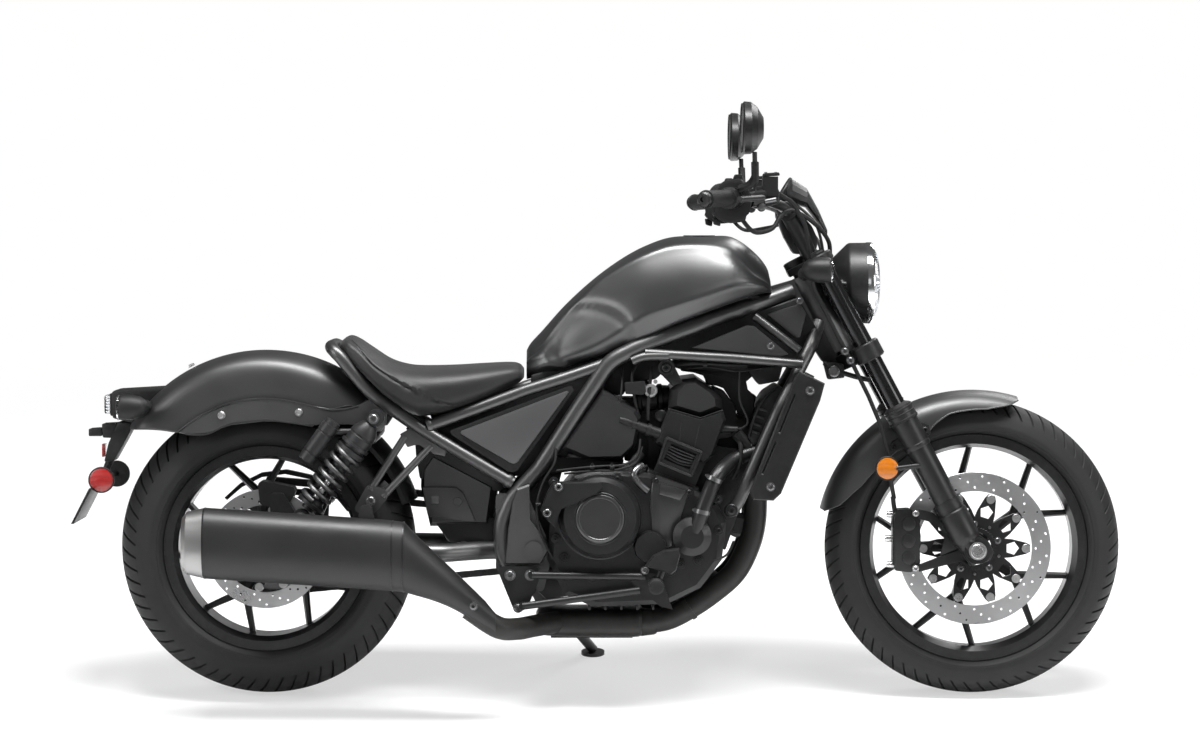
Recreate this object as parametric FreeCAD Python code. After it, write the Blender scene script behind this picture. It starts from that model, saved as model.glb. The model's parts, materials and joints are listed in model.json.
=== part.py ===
# Cruiser motorcycle with two wheels in line, leaning on its side stand.
# Built upright first: X forward from the rear axle, Y to the left, Z up from the ground.
# Every finished piece is then leaned to the left about the ground line, as the machine parks.
import FreeCAD
import Part
import math
import os

Vector = FreeCAD.Vector

# Chassis
WHEELBASE = 1520.0
TRAIL = 110.0
RAKE = 28.0
LEAN = 10.0
FORK_OFFSET = 45.0
CLEARANCE = 0.3
FIT = 0.05

# Side view tables are in steps: the wheelbase is this many steps long, and the axles lie this high
WHEELBASE_SHARES = 1520.0
AXLE_SHARE = 318.0
STEP = WHEELBASE / WHEELBASE_SHARES

# Tyres and wheels
TYRE_RADIUS = 318.0
FRONT_TYRE_WIDTH = 130.0
REAR_TYRE_WIDTH = 180.0
FRONT_CROWN = 70.0
REAR_CROWN = 97.0
FRONT_RIM_RADIUS = 243.0
REAR_RIM_RADIUS = 219.0
FRONT_RIM_WIDTH = 96.0
REAR_RIM_WIDTH = 142.0
RIM_WALL = 7.0
RIM_WELL = 24.0
RIM_BAND = 28.0
HUB_RADIUS = 34.0
FRONT_HUB_WIDTH = 96.0
REAR_HUB_WIDTH = 124.0
SPOKE_FORK_RADIUS = 110.0
SPOKE_THICK = 26.0
ARM_WIDTH = 28.0
BRANCH_WIDTH = 17.0
ARM_COUNT = 5
FRONT_ARM_ANGLE = 37.0
REAR_ARM_ANGLE = 26.0
BRANCH_SPREAD = 18.0

# Brakes and drive
FRONT_DISC_RADIUS = 164.0
FRONT_DISC_INNER = 122.0
REAR_DISC_RADIUS = 128.0
REAR_DISC_INNER = 92.0
DISC_THICK = 5.0
CARRIER_THICK = 6.0
BUTTON_RADIUS = 7.5
DISC_Y = 62.0
REAR_DISC_Y = 76.0
SPROCKET_RADIUS = 104.0
SPROCKET_THICK = 8.0
CHAIN_Y = 104.0
CHAIN_WIDTH = 22.0
CHAIN_HEIGHT = 17.0
FRONT_SPROCKET_RADIUS = 42.0

# Shares used by the helpers
RUN_SHARE = 0.45
FLAT = 1e-6

nodes = {}


# Point from side view steps and a real distance to the left
def at(x, z, y=0.0):
    return Vector(x * STEP, y, REAR_AXLE_Z + (z - AXLE_SHARE) * STEP)


# Point in the steering frame: forward of the steering axis, left, and up along it
def steer(forward, y, up):
    return STEER_FOOT + STEER_FORWARD * forward + STEER_UP * up + Vector(0, y, 0)


def mirrored(shape):
    return shape.mirror(Vector(0, 0, 0), Vector(0, 1, 0))


# Corners of an open or closed run of points, each rounded by a tangent arc
def rounded_edges(points, bend, closed=False):
    count = len(points)
    corners = range(count) if closed else range(1, count - 1)
    arcs = {}
    for i in corners:
        corner = points[i]
        back = points[i - 1] - corner
        ahead = points[(i + 1) % count] - corner
        half = back.getAngle(ahead) / 2
        if half > math.pi / 2 - FLAT or bend <= 0:
            continue
        reach = min(bend / math.tan(half), RUN_SHARE * min(back.Length, ahead.Length))
        back.normalize()
        ahead.normalize()
        middle = back + ahead
        middle.normalize()
        radius = reach * math.tan(half)
        arcs[i] = (
            corner + back * reach,
            corner + middle * (radius / math.sin(half) - radius),
            corner + ahead * reach,
        )
    edges = []
    here = arcs[0][2] if closed and 0 in arcs else points[0]
    order = list(range(1, count)) + ([0] if closed else [])
    for i in order:
        if i in arcs:
            start, middle, end = arcs[i]
            edges.append(Part.LineSegment(here, start).toShape())
            edges.append(Part.Arc(start, middle, end).toShape())
            here = end
        else:
            edges.append(Part.LineSegment(here, points[i]).toShape())
            here = points[i]
    return edges


def path(points, bend):
    return Part.Wire(rounded_edges(points, bend))


# Round bar or pipe along straight runs joined by tangent arcs
def tube(points, radius, bend, bore=0.0):
    spine = path(points, bend)
    direction = points[1] - points[0]
    solids = []
    for size in (radius, bore):
        if size > 0:
            ring = Part.Wire(Part.makeCircle(size, points[0], direction))
            solids.append(spine.makePipeShell([ring], True, False))
    return solids[0].cut(solids[1]) if bore > 0 else solids[0]


# Plate from a side view outline, between two distances to the left
def plate(outline, low_y, high_y, bend=0.0):
    points = [at(x, z, low_y) for x, z in outline]
    face = Part.Face(Part.Wire(rounded_edges(points, bend, closed=True)))
    return face.extrude(Vector(0, high_y - low_y, 0))


# Plate whose two faces are drawn in round their middle, so its rims are chamfered
def slab(outline, low_y, high_y, edge):
    middle_x = sum(x for x, z in outline) / len(outline)
    middle_z = sum(z for x, z in outline) / len(outline)
    reach = max(math.hypot(x - middle_x, z - middle_z) for x, z in outline) * STEP
    drawn = 1 - edge / reach
    wires = []
    for y, share in ((low_y, drawn), (low_y + edge, 1), (high_y - edge, 1), (high_y, drawn)):
        points = [
            at(middle_x + (x - middle_x) * share, middle_z + (z - middle_z) * share, y) for x, z in outline
        ]
        wires.append(Part.makePolygon(points + [points[0]]))
    return Part.makeLoft(wires, True, True)


# Closed ring of straight sides across the machine, for a plain soft form
def facet_ring(x, low, high, half_width, fullness, waist_share=0.5):
    middle = low + (high - low) * waist_share
    points = []
    for i in range(RING_POINTS):
        angle = 2 * math.pi * i / RING_POINTS
        c, s = math.cos(angle), math.sin(angle)
        rise = (high - middle) if s >= 0 else (middle - low)
        points.append(at(x, middle + rise * math.copysign(abs(s) ** fullness, s),
                         half_width * math.copysign(abs(c) ** fullness, c)))
    return Part.makePolygon(points + [points[0]])


def ruled(rings):
    return Part.makeLoft(rings, True, True)


# Solid of revolution from (along, out) pairs about an axis through a point
def lathe(profile, centre, axis, turn=360.0):
    along = Vector(axis)
    along.normalize()
    side = along.cross(Vector(0, 0, 1))
    if side.Length < FLAT:
        side = Vector(1, 0, 0)
    side.normalize()
    points = [centre + along * a + side * r for a, r in profile]
    face = Part.Face(Part.makePolygon(points + [points[0]]))
    return face.revolve(centre, along, turn)


# Ring of flat sides from (along, out) pairs about a wheel's axis
def turned(profile, hub, count):
    rings = []
    for i in range(count):
        angle = 2 * math.pi * i / count
        ahead, rise = math.cos(angle), math.sin(angle)
        rings.append([hub + Vector(out * ahead, along, out * rise) for along, out in profile])
    faces = []
    for i, here in enumerate(rings):
        there = rings[(i + 1) % count]
        for j in range(len(profile)):
            k = (j + 1) % len(profile)
            faces.append(Part.Face(Part.makePolygon([here[j], there[j], there[k], here[k], here[j]])))
    solid = Part.Solid(Part.Shell(faces))
    if solid.Volume < 0:
        solid.reverse()
    return solid


def rod(start, end, radius):
    return Part.makeCylinder(radius, (end - start).Length, start, end - start)


def cross_rod(x, z, low_y, high_y, radius):
    return rod(at(x, z, low_y), at(x, z, high_y), radius)


def block(low, high):
    size = high - low
    return Part.makeBox(size.x, size.y, size.z, low)


# Closed smooth ring across the machine at one side view place
def ring(x, low, high, half_width, fullness, waist_share=0.5):
    middle = low + (high - low) * waist_share
    points = []
    for i in range(RING_POINTS):
        angle = 2 * math.pi * i / RING_POINTS
        c, s = math.cos(angle), math.sin(angle)
        y = half_width * math.copysign(abs(c) ** fullness, c)
        rise = (high - middle) if s >= 0 else (middle - low)
        z = middle + rise * math.copysign(abs(s) ** fullness, s)
        points.append(at(x, z, y))
    curve = Part.BSplineCurve()
    curve.interpolate(points, PeriodicFlag=True)
    return Part.Wire(curve.toShape())


RING_POINTS = 16


def loft(rings):
    return Part.makeLoft(rings, True, False)


def join(shapes):
    whole = shapes[0]
    for shape in shapes[1:]:
        whole = whole.fuse(shape)
    return whole.removeSplitter()


def without(shape, tools):
    for tool in tools:
        shape = shape.cut(tool)
    return shape


def keep(name, *shapes):
    nodes[name] = list(shapes)


def pair(shape):
    return [shape, mirrored(shape)]

REAR_AXLE_Z = TYRE_RADIUS - REAR_CROWN + REAR_CROWN / math.cos(math.radians(LEAN))
FRONT_AXLE_Z = TYRE_RADIUS - FRONT_CROWN + FRONT_CROWN / math.cos(math.radians(LEAN))
REAR_HUB = Vector(0, 0, REAR_AXLE_Z)
FRONT_HUB = Vector(WHEELBASE, 0, FRONT_AXLE_Z)
STEER_UP = Vector(-math.sin(math.radians(RAKE)), 0, math.cos(math.radians(RAKE)))
STEER_FORWARD = Vector(math.cos(math.radians(RAKE)), 0, math.sin(math.radians(RAKE)))
STEER_GROUND = Vector(WHEELBASE + TRAIL, 0, 0)
AXLE_UP = (FRONT_HUB - STEER_GROUND).dot(STEER_UP)
STEER_FOOT = STEER_GROUND + STEER_UP * AXLE_UP
ACROSS = Vector(0, 1, 0)


# Tyre as a hollow carcass with a round crown, seated on the rim; its crown turns about one centre
def tyre(hub, width, crown, rim_radius, rim_width):
    half = width / 2
    crown_centre = TYRE_RADIUS - crown
    shoulder = math.degrees(math.asin(min(half / crown, 1.0) * TYRE_SHOULDER_SHARE))
    half_angles = [LEAN, (LEAN + shoulder) / 2, shoulder]
    angles = [-angle for angle in reversed(half_angles)] + [0] + half_angles
    outer = []
    for angle in angles:
        turn = math.radians(angle)
        outer.append((crown * math.sin(turn), crown_centre + crown * math.cos(turn)))
    bead = rim_width / 2 - RIM_WALL - CLEARANCE
    seat = rim_radius - RIM_FLANGE + CLEARANCE
    waist = (outer[-1][1] + rim_radius) / 2
    lip = rim_radius + CLEARANCE * 2
    profile = [(-half, waist)] + outer + [
        (half, waist), (bead, lip), (bead, seat), (bead - TYRE_WALL, seat), (0, TYRE_RADIUS - TYRE_WALL),
        (TYRE_WALL - bead, seat), (-bead, seat), (-bead, lip),
    ]
    return turned(profile, hub, TYRE_SIDES)


TYRE_SIDES = 64
TYRE_SHOULDER_SHARE = 0.86
TYRE_WALL = 14.0
RIM_FLANGE = 12.0


# Cast wheel: rim with flanges and a well, hub, and arms that fork into two branches
def cast_wheel(hub, rim_radius, rim_width, hub_width, arm_angle, inner_radius, bore):
    half = rim_width / 2
    flange_in = half - RIM_WALL
    seat = rim_radius - RIM_FLANGE
    well = rim_radius - RIM_WELL
    profile = [
        (-half, rim_radius), (-flange_in, rim_radius), (-flange_in, seat), (-flange_in + RIM_WELL, well),
        (flange_in - RIM_WELL, well), (flange_in, seat), (flange_in, rim_radius), (half, rim_radius),
        (half, seat - RIM_WALL), (half - RIM_WELL, inner_radius), (RIM_WELL - half, inner_radius),
        (-half, seat - RIM_WALL),
    ]
    pieces = [lathe(profile, hub, ACROSS)]
    barrel = hub_width / 2
    waist = HUB_RADIUS * HUB_WAIST_SHARE
    flare = barrel * HUB_FLARE_SHARE
    pieces.append(lathe([
        (-barrel, 0), (-barrel, HUB_RADIUS), (-flare, HUB_RADIUS), (-flare / 2, waist),
        (flare / 2, waist), (flare, HUB_RADIUS), (barrel, HUB_RADIUS), (barrel, 0),
    ], hub, ACROSS))
    for i in range(ARM_COUNT):
        centre = arm_angle + 360 / ARM_COUNT * i
        knee = polar(hub, centre, SPOKE_FORK_RADIUS)
        root = polar(hub, centre, HUB_RADIUS / 2)
        pieces.append(arm(root, knee, ARM_WIDTH, ARM_WIDTH * ARM_TAPER_SHARE, SPOKE_THICK))
        for side in (-1, 1):
            foot = polar(hub, centre + side * BRANCH_SPREAD, inner_radius + RIM_WALL)
            pieces.append(arm(knee, foot, BRANCH_WIDTH, BRANCH_WIDTH * BRANCH_TAPER_SHARE, SPOKE_THICK))
        boss = SPOKE_THICK * KNEE_SHARE / 2
        pieces.append(rod(knee - ACROSS * boss, knee + ACROSS * boss, ARM_WIDTH * ARM_TAPER_SHARE / 2))
    wheel = join(pieces)
    return wheel.cut(rod(hub - ACROSS * hub_width, hub + ACROSS * hub_width, bore))


ARM_TAPER_SHARE = 0.75
BRANCH_TAPER_SHARE = 0.7
KNEE_SHARE = 0.96
HUB_WAIST_SHARE = 0.8
HUB_FLARE_SHARE = 0.6


def polar(hub, degrees, radius):
    angle = math.radians(degrees)
    return hub + Vector(radius * math.cos(angle), 0, radius * math.sin(angle))


# Tapered arm in the plane of a wheel, thickest along its middle line
def arm(start, end, start_width, end_width, thick):
    along = end - start
    along.normalize()
    across = along.cross(ACROSS)
    wires = []
    for point, width in ((start, start_width), (end, end_width)):
        edge = thick * ARM_EDGE_SHARE / 2
        corners = [
            point - across * width / 2 - ACROSS * edge,
            point - across * (width / 2 * ARM_FLAT_SHARE) - ACROSS * thick / 2,
            point + across * (width / 2 * ARM_FLAT_SHARE) - ACROSS * thick / 2,
            point + across * width / 2 - ACROSS * edge,
            point + across * width / 2 + ACROSS * edge,
            point + across * (width / 2 * ARM_FLAT_SHARE) + ACROSS * thick / 2,
            point - across * (width / 2 * ARM_FLAT_SHARE) + ACROSS * thick / 2,
            point - across * width / 2 + ACROSS * edge,
        ]
        wires.append(Part.makePolygon(corners + [corners[0]]))
    return Part.makeLoft(wires, True, True)


ARM_EDGE_SHARE = 0.5
ARM_FLAT_SHARE = 0.45


# Brake disc ring with drilled holes, its carrier star, and the buttons that join them
def brake_disc(hub, y, outer, inner, hub_radius, first_angle):
    half = DISC_THICK / 2
    centre = hub + ACROSS * y
    ring_part = lathe([(-half, inner), (-half, outer), (half, outer), (half, inner)], centre, ACROSS)
    for i in range(DISC_HOLE_COUNT):
        row_share = DISC_ROW_SHARES[i % len(DISC_ROW_SHARES)]
        spot = polar(centre, 360 / DISC_HOLE_COUNT * i, inner + (outer - inner) * row_share)
        ring_part = ring_part.cut(rod(spot - ACROSS * DISC_THICK, spot + ACROSS * DISC_THICK, DISC_HOLE))
    pieces = [ring_part]
    star = []
    for i in range(BUTTON_COUNT * 2):
        share = 1.0 if i % 2 == 0 else CARRIER_VALLEY_SHARE
        star.append(polar(centre - ACROSS * half, first_angle + 180 / BUTTON_COUNT * i, inner * share))
    carrier = Part.Face(Part.makePolygon(star + [star[0]])).extrude(ACROSS * DISC_THICK)
    pieces.append(carrier)
    for i in range(BUTTON_COUNT):
        spot = polar(centre, first_angle + 360 / BUTTON_COUNT * i, inner)
        pieces.append(rod(spot - ACROSS * CARRIER_THICK, spot + ACROSS * CARRIER_THICK, BUTTON_RADIUS))
    whole = join(pieces)
    return whole.cut(rod(centre - ACROSS * outer, centre + ACROSS * outer, hub_radius))


DISC_HOLE_COUNT = 40
DISC_ROW_SHARES = [0.22, 0.5, 0.78]
DISC_HOLE = 3.0
BUTTON_COUNT = 10
CARRIER_VALLEY_SHARE = 0.84

# Frame of round tube
FRAME_Y = 115.0
FRAME_TUBE = 17.5
FRAME_BEND = 90.0
DOWN_TUBE = 14.0
DOWN_Y = 128.0
STRUT_TUBE = 10.0
HEAD_TUBE = 33.0
HEAD_BORE = 24.0
HEAD_LOW = 508.0
HEAD_HIGH = 690.0
LOOP_TUBE = 14.0
LOOP_Y = 112.0
LOOP_BEND = 60.0
NECK_Y = 26.0
PIVOT_SHARES = (572, 316)
MAIN_TUBE_SHARES = [
    (1128, 868, 0.2), (1040, 838, 0.52), (928, 800, 0.86), (800, 753, 1.0), (736, 721, 1.0), (662, 609, 1.0),
    (587, 492, 1.0), (528, 428, 1.0), (505, 375, 1.0), (508, 300, 1.0), (570, 236, 1.0),
]
DOWN_TUBE_SHARES = [(1186, 800, 0.24), (1167, 752, 0.6), (1097, 620, 1.0), (1012, 427, 1.0), (994, 399, 1.0)]
BRACE_SHARES = [(812, 739, 0.98), (1000, 728, 1.0), (1146, 716, 1.0)]
SEAT_RAIL_SHARES = [(716, 690), (545, 651), (353, 590)]
LOOP_SHARES = [(540, 455), (353, 562), (290, 602), (226, 641), (175, 690), (157, 752)]


def frame_pieces():
    head = rod(steer(0, 0, HEAD_LOW), steer(0, 0, HEAD_HIGH), HEAD_TUBE)
    gusset = plate(GUSSET_SHARES, -NECK_Y, NECK_Y)
    bore = rod(steer(0, 0, HEAD_LOW - HEAD_TUBE), steer(0, 0, HEAD_HIGH + HEAD_TUBE), HEAD_BORE)
    main = tube([at(x, z, -FRAME_Y * share) for x, z, share in MAIN_TUBE_SHARES], FRAME_TUBE, FRAME_BEND)
    down = tube([at(x, z, -DOWN_Y * share) for x, z, share in DOWN_TUBE_SHARES], DOWN_TUBE, FRAME_BEND)
    brace = tube([at(x, z, -DOWN_Y * share) for x, z, share in BRACE_SHARES], STRUT_TUBE, FRAME_BEND)
    crosses = [
        cross_rod(*HIGH_CROSS_SHARES, -FRAME_Y, FRAME_Y, FRAME_TUBE * THIN_SHARE),
        cross_rod(*PIVOT_SHARES, -FRAME_Y, FRAME_Y, STRUT_TUBE),
        cross_rod(*PIVOT_SHARES, -FRAME_Y - FRAME_TUBE, -PIVOT_INNER, PIVOT_BOSS),
        cross_rod(*PIVOT_SHARES, PIVOT_INNER, FRAME_Y + FRAME_TUBE, PIVOT_BOSS),
        cross_rod(*LOW_CROSS_SHARES, -FRAME_Y, FRAME_Y, FRAME_TUBE * THIN_SHARE),
    ]
    plates = [
        plate(PIVOT_PLATE_SHARES, -FRAME_Y - PLATE_THICK, -FRAME_Y + PLATE_THICK, STRUT_TUBE),
    ]
    keep("frame_head", join([head, gusset]).cut(bore))
    sides = join([main, mirrored(main)] + crosses + plates + [mirrored(p) for p in plates])
    keep("frame_main", without(sides, nodes["frame_head"] + [bore]))
    downs = join([down, brace])
    fitted = without(downs, nodes["frame_head"] + nodes["frame_main"])
    keep("frame_down", *pair(fitted))
    rail = tube([at(x, z, -LOOP_Y) for x, z in SEAT_RAIL_SHARES], LOOP_TUBE, LOOP_BEND)
    side = [at(x, z, -LOOP_Y) for x, z in LOOP_SHARES]
    back = [at(*LOOP_BACK_SHARES, -LOOP_Y * BACK_SHARE), at(*LOOP_BACK_SHARES, LOOP_Y * BACK_SHARE)]
    other = [Vector(p.x, -p.y, p.z) for p in reversed(side)]
    loop = tube(side + back + other, LOOP_TUBE, LOOP_BEND)
    loop_cross = cross_rod(*LOOP_CROSS_SHARES, -LOOP_Y, LOOP_Y, STRUT_TUBE)
    keep("seat_loop", without(join([loop, rail, mirrored(rail), loop_cross]), nodes["frame_main"]))


THIN_SHARE = 0.8
GUSSET_SHARES = [(1140, 895), (1040, 866), (1040, 806), (1100, 800), (1190, 770)]
HIGH_CROSS_SHARES = (736, 721)
LOW_CROSS_SHARES = (570, 236)
LOOP_BACK_SHARES = (151, 776)
LOOP_CROSS_SHARES = (353, 576)
BACK_SHARE = 0.62
PIVOT_BOSS = 26.0
PIVOT_INNER = 88.0
PLATE_THICK = 6.0
PIVOT_PLATE_SHARES = [(494, 440), (560, 440), (600, 350), (612, 300), (596, 232), (540, 222), (494, 280)]

# Tank and seat
# Place, spine height, then half width share and height of the upper crease, the lower crease and the hem
TANK_SHARES = [
    (558, 742, 0.20, 724, 0.28, 702, 0.24, 680), (590, 782, 0.37, 756, 0.5, 711, 0.39, 690),
    (640, 838, 0.47, 818, 0.64, 728, 0.55, 704), (700, 893, 0.55, 881, 0.78, 751, 0.68, 723),
    (760, 937, 0.62, 922, 0.89, 786, 0.76, 747), (813, 966, 0.66, 949, 0.97, 822, 0.8, 771),
    (870, 985, 0.68, 967, 1.0, 841, 0.83, 797), (945, 987, 0.68, 970, 1.0, 864, 0.83, 826),
    (992, 987, 0.64, 961, 0.97, 880, 0.8, 843), (1020, 975, 0.59, 940, 0.93, 886, 0.77, 853),
    (1046, 955, 0.53, 910, 0.86, 886, 0.72, 862), (1066, 934, 0.46, 894, 0.74, 882, 0.64, 866),
    (1083, 892, 0.32, 878, 0.5, 872, 0.47, 868),
]
TANK_HALF_WIDTH = 155.0
TANK_CROWN_SHARES = (0.6, 0.25)
CAP_RADIUS = 34.0
CAP_HEIGHT = 7.0
CAP_POCKET = 28.0
CAP_SHARES = (930, 982)
SEAT_RING_SHARES = [
    (146, 738, 766, 0.58), (176, 712, 776, 0.78), (214, 694, 748, 0.9), (262, 660, 716, 1.0),
    (330, 616, 703, 1.0), (400, 640, 706, 0.96), (470, 664, 711, 0.8), (544, 690, 712, 0.5),
]
SEAT_HALF_WIDTH = 146.0
SEAT_FULLNESS = 0.7
SEAT_WAIST_SHARE = 0.35


def tank_pieces():
    wires = []
    for x, top, upper_share, upper, lower_share, lower, hem_share, hem in TANK_SHARES:
        crown_share, drop_share = TANK_CROWN_SHARES
        half = [
            (upper_share * crown_share, top - (top - upper) * drop_share), (upper_share, upper),
            (lower_share, lower), (hem_share, hem),
        ]
        right = [at(x, z, -TANK_HALF_WIDTH * share) for share, z in half]
        left = [at(x, z, TANK_HALF_WIDTH * share) for share, z in reversed(half)]
        wires.append(Part.makePolygon([at(x, top)] + right + left + [at(x, top)]))
    tank = Part.makeLoft(wires, True, True)
    seat_point = at(*CAP_SHARES)
    pocket = rod(seat_point, seat_point + Vector(0, 0, CAP_POCKET), CAP_RADIUS + CLEARANCE)
    frame = nodes["frame_main"] + nodes["frame_head"] + nodes["frame_down"]
    keep("fuel_tank", without(tank.cut(pocket), frame))
    low = seat_point + Vector(0, 0, CLEARANCE)
    keep("tank_cap", rod(low, seat_point + Vector(0, 0, CAP_HEIGHT), CAP_RADIUS))


def seat_pieces():
    rings = [
        facet_ring(x, low, high, SEAT_HALF_WIDTH * share, SEAT_FULLNESS, SEAT_WAIST_SHARE)
        for x, low, high, share in SEAT_RING_SHARES
    ]
    keep("seat", without(ruled(rings), nodes["fuel_tank"] + nodes["seat_loop"] + nodes["frame_main"]))


# Fenders: a curved sheet turned about its own centre
FENDER_SHEET = 2.5
REAR_FENDER_CENTRE_SHARES = (-5, 397)
REAR_FENDER_RADIUS = 345.0
REAR_FENDER_HALF = 106.0
REAR_FENDER_DROP = 60.0
REAR_FENDER_FROM = 48.0
REAR_FENDER_TO = 150.0
FRONT_FENDER_RADIUS = 338.0
FRONT_FENDER_HALF = 80.0
FRONT_FENDER_DROP = 42.0
FRONT_FENDER_FROM = 73.0
FRONT_FENDER_TO = 166.0


# Curved sheet over a wheel, its section a crown with two drops
def fender(centre, radius, half, drop, first, last):
    def spot(y, out):
        return centre + Vector(out, y, 0)

    def crown_edges(shrink):
        outer = radius - shrink
        side = half - shrink
        shoulder = outer - half * FENDER_CROWN_SHARE
        return [
            spot(-side, radius - drop), spot(-side, shoulder), spot(0, outer), spot(side, shoulder),
            spot(side, radius - drop),
        ]

    outside = crown_edges(0)
    inside = crown_edges(FENDER_SHEET)
    edges = [
        Part.LineSegment(outside[0], outside[1]).toShape(),
        Part.Arc(outside[1], outside[2], outside[3]).toShape(),
        Part.LineSegment(outside[3], outside[4]).toShape(),
        Part.LineSegment(outside[4], inside[4]).toShape(),
        Part.LineSegment(inside[4], inside[3]).toShape(),
        Part.Arc(inside[3], inside[2], inside[1]).toShape(),
        Part.LineSegment(inside[1], inside[0]).toShape(),
        Part.LineSegment(inside[0], outside[0]).toShape(),
    ]
    face = Part.Face(Part.Wire(edges))
    face.rotate(centre, ACROSS, -first)
    return face.revolve(centre, -ACROSS, last - first)


FENDER_CROWN_SHARE = 0.22


def fender_pieces():
    centre = at(*REAR_FENDER_CENTRE_SHARES)
    rear = fender(centre, REAR_FENDER_RADIUS, REAR_FENDER_HALF, REAR_FENDER_DROP, REAR_FENDER_FROM,
                  REAR_FENDER_TO)
    keep("rear_fender", rear)
    inner = fender(REAR_HUB, INNER_FENDER_RADIUS, INNER_FENDER_HALF, INNER_FENDER_DROP, INNER_FENDER_FROM,
                   INNER_FENDER_TO)
    keep("inner_fender", inner)
    stay = plate(STAY_SHARES, -REAR_FENDER_HALF - STAY_THICK, -REAR_FENDER_HALF, STAY_BEND)
    keep("fender_stays", *pair(without(stay, nodes["seat_loop"])))


INNER_FENDER_RADIUS = 338.0
INNER_FENDER_HALF = 96.0
INNER_FENDER_DROP = 30.0
INNER_FENDER_FROM = 18.0
INNER_FENDER_TO = 44.0
STAY_THICK = 8.0
STAY_BEND = 12.0
STAY_SHARES = [
    (300, 612), (262, 660), (120, 655), (-60, 640), (-120, 600), (-116, 586),
    (-40, 606), (130, 622), (240, 590),
]

# Rear end
LAMP_HALF = 46.0
SIGNAL_RADIUS = 27.0
SIGNAL_LENGTH = 62.0
SIGNAL_STEM = 8.0
REAR_SIGNAL_Y = 150.0
REAR_POD_SHARES = (-205, 640)
REAR_STEM_SHARES = [(-222, 636), (-250, 632)]
FRONT_SIGNAL_Y = 175.0
LAMP_SHARES = [(-345, 646), (-312, 668), (-228, 664), (-226, 640), (-272, 592), (-336, 592)]
PLATE_ARM_SHARES = [(-306, 594), (-280, 594), (-336, 520), (-398, 464), (-410, 476), (-352, 532)]
PLATE_SHARES = [(-392, 520), (-386, 520), (-424, 372), (-430, 372)]
PLATE_HALF = 90.0
ARM_HALF = 30.0


def tail_pieces():
    lamp = plate(LAMP_SHARES, -LAMP_HALF, LAMP_HALF, STAY_BEND)
    centre = at(*REAR_FENDER_CENTRE_SHARES)
    reach = ACROSS * REAR_SIGNAL_Y
    inside = rod(centre - reach, centre + reach, REAR_FENDER_RADIUS + CLEARANCE)
    keep("tail_lamp", lamp.cut(inside))
    arm_plate = plate(PLATE_ARM_SHARES, -ARM_HALF, ARM_HALF)
    number_plate = plate(PLATE_SHARES, -PLATE_HALF, PLATE_HALF)
    keep("plate_bracket", without(join([arm_plate, number_plate]), nodes["tail_lamp"] + nodes["rear_fender"]))
    pod = signal(at(*REAR_POD_SHARES, -REAR_SIGNAL_Y), Vector(-1, 0, 0))
    stem = rod(at(*REAR_STEM_SHARES[0], -REAR_SIGNAL_Y), at(*REAR_STEM_SHARES[1], -LAMP_HALF), SIGNAL_STEM)
    keep("rear_signals", *pair(without(join([pod, stem]), nodes["tail_lamp"] + nodes["rear_fender"])))


# Bullet shaped turn signal, its lens facing along one direction
def signal(back, facing):
    profile = [(SIGNAL_LENGTH * along, SIGNAL_RADIUS * out) for along, out in SIGNAL_SHARES]
    return lathe(profile, back, facing)


SIGNAL_SHARES = [(0, 0), (0.04, 0.5), (0.25, 0.86), (0.6, 1.0), (0.9, 1.0), (1.0, 0.6), (1.04, 0)]

# Swingarm and rear suspension
ARM_Y = 134.0
ARM_TUBE = 20.0
AXLE_RADIUS = 12.0
AXLE_NUT = 19.0
NUT_THICK = 14.0
SHOCK_Y = 152.0
SHOCK_TOP_SHARES = (241, 603)
SHOCK_FOOT_SHARES = (82, 392)
SPRING_RADIUS = 30.0
SPRING_TURNS = 9
SHOCK_BODY = 22.0
SHOCK_ROD = 9.0
SHOCK_EYE = 18.0
SHOCK_EYE_HALF = 14.0
RESERVOIR_RADIUS = 19.0
RESERVOIR_SHARES = [(152, 596), (92, 512)]


def swingarm_pieces():
    bar = tube([at(x, z, -ARM_Y * share) for x, z, share in ARM_PATH_SHARES], ARM_TUBE, FRAME_BEND)
    lug = plate(ARM_LUG_SHARES, -ARM_Y - ARM_LUG_HALF, -ARM_Y + ARM_LUG_HALF, STAY_BEND)
    shock_lug = plate(SHOCK_LUG_SHARES, SHOCK_EYE_HALF - SHOCK_Y, -ARM_Y + ARM_LUG_HALF, STAY_BEND)
    cross = cross_rod(*ARM_CROSS_SHARES, -ARM_Y * ARM_CROSS_SHARE, ARM_Y * ARM_CROSS_SHARE, ARM_TUBE)
    pivot = cross_rod(*PIVOT_SHARES, CLEARANCE - PIVOT_INNER, PIVOT_INNER - CLEARANCE, PIVOT_BOSS)
    shaft_half = ARM_Y + ARM_LUG_HALF
    axle = rod(REAR_HUB - ACROSS * (shaft_half + NUT_THICK), REAR_HUB + ACROSS * (shaft_half + NUT_THICK),
               AXLE_RADIUS)
    nut = rod(REAR_HUB - ACROSS * (shaft_half + NUT_THICK), REAR_HUB - ACROSS * shaft_half, AXLE_NUT)
    spacer_in = REAR_HUB_WIDTH / 2 + SPACER_GAP
    spacer = rod(REAR_HUB - ACROSS * shaft_half, REAR_HUB - ACROSS * spacer_in, AXLE_NUT)
    eye = cross_rod(*SHOCK_FOOT_SHARES, -SHOCK_Y - SHOCK_EYE_HALF, -ARM_Y, AXLE_RADIUS / 2)
    sides = [bar, lug, shock_lug, nut, eye]
    sides = sides + [mirrored(s) for s in sides]
    arm_solid = join(sides + [cross, pivot, axle, spacer])
    keep("swingarm", without(arm_solid, nodes["frame_main"]))


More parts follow.
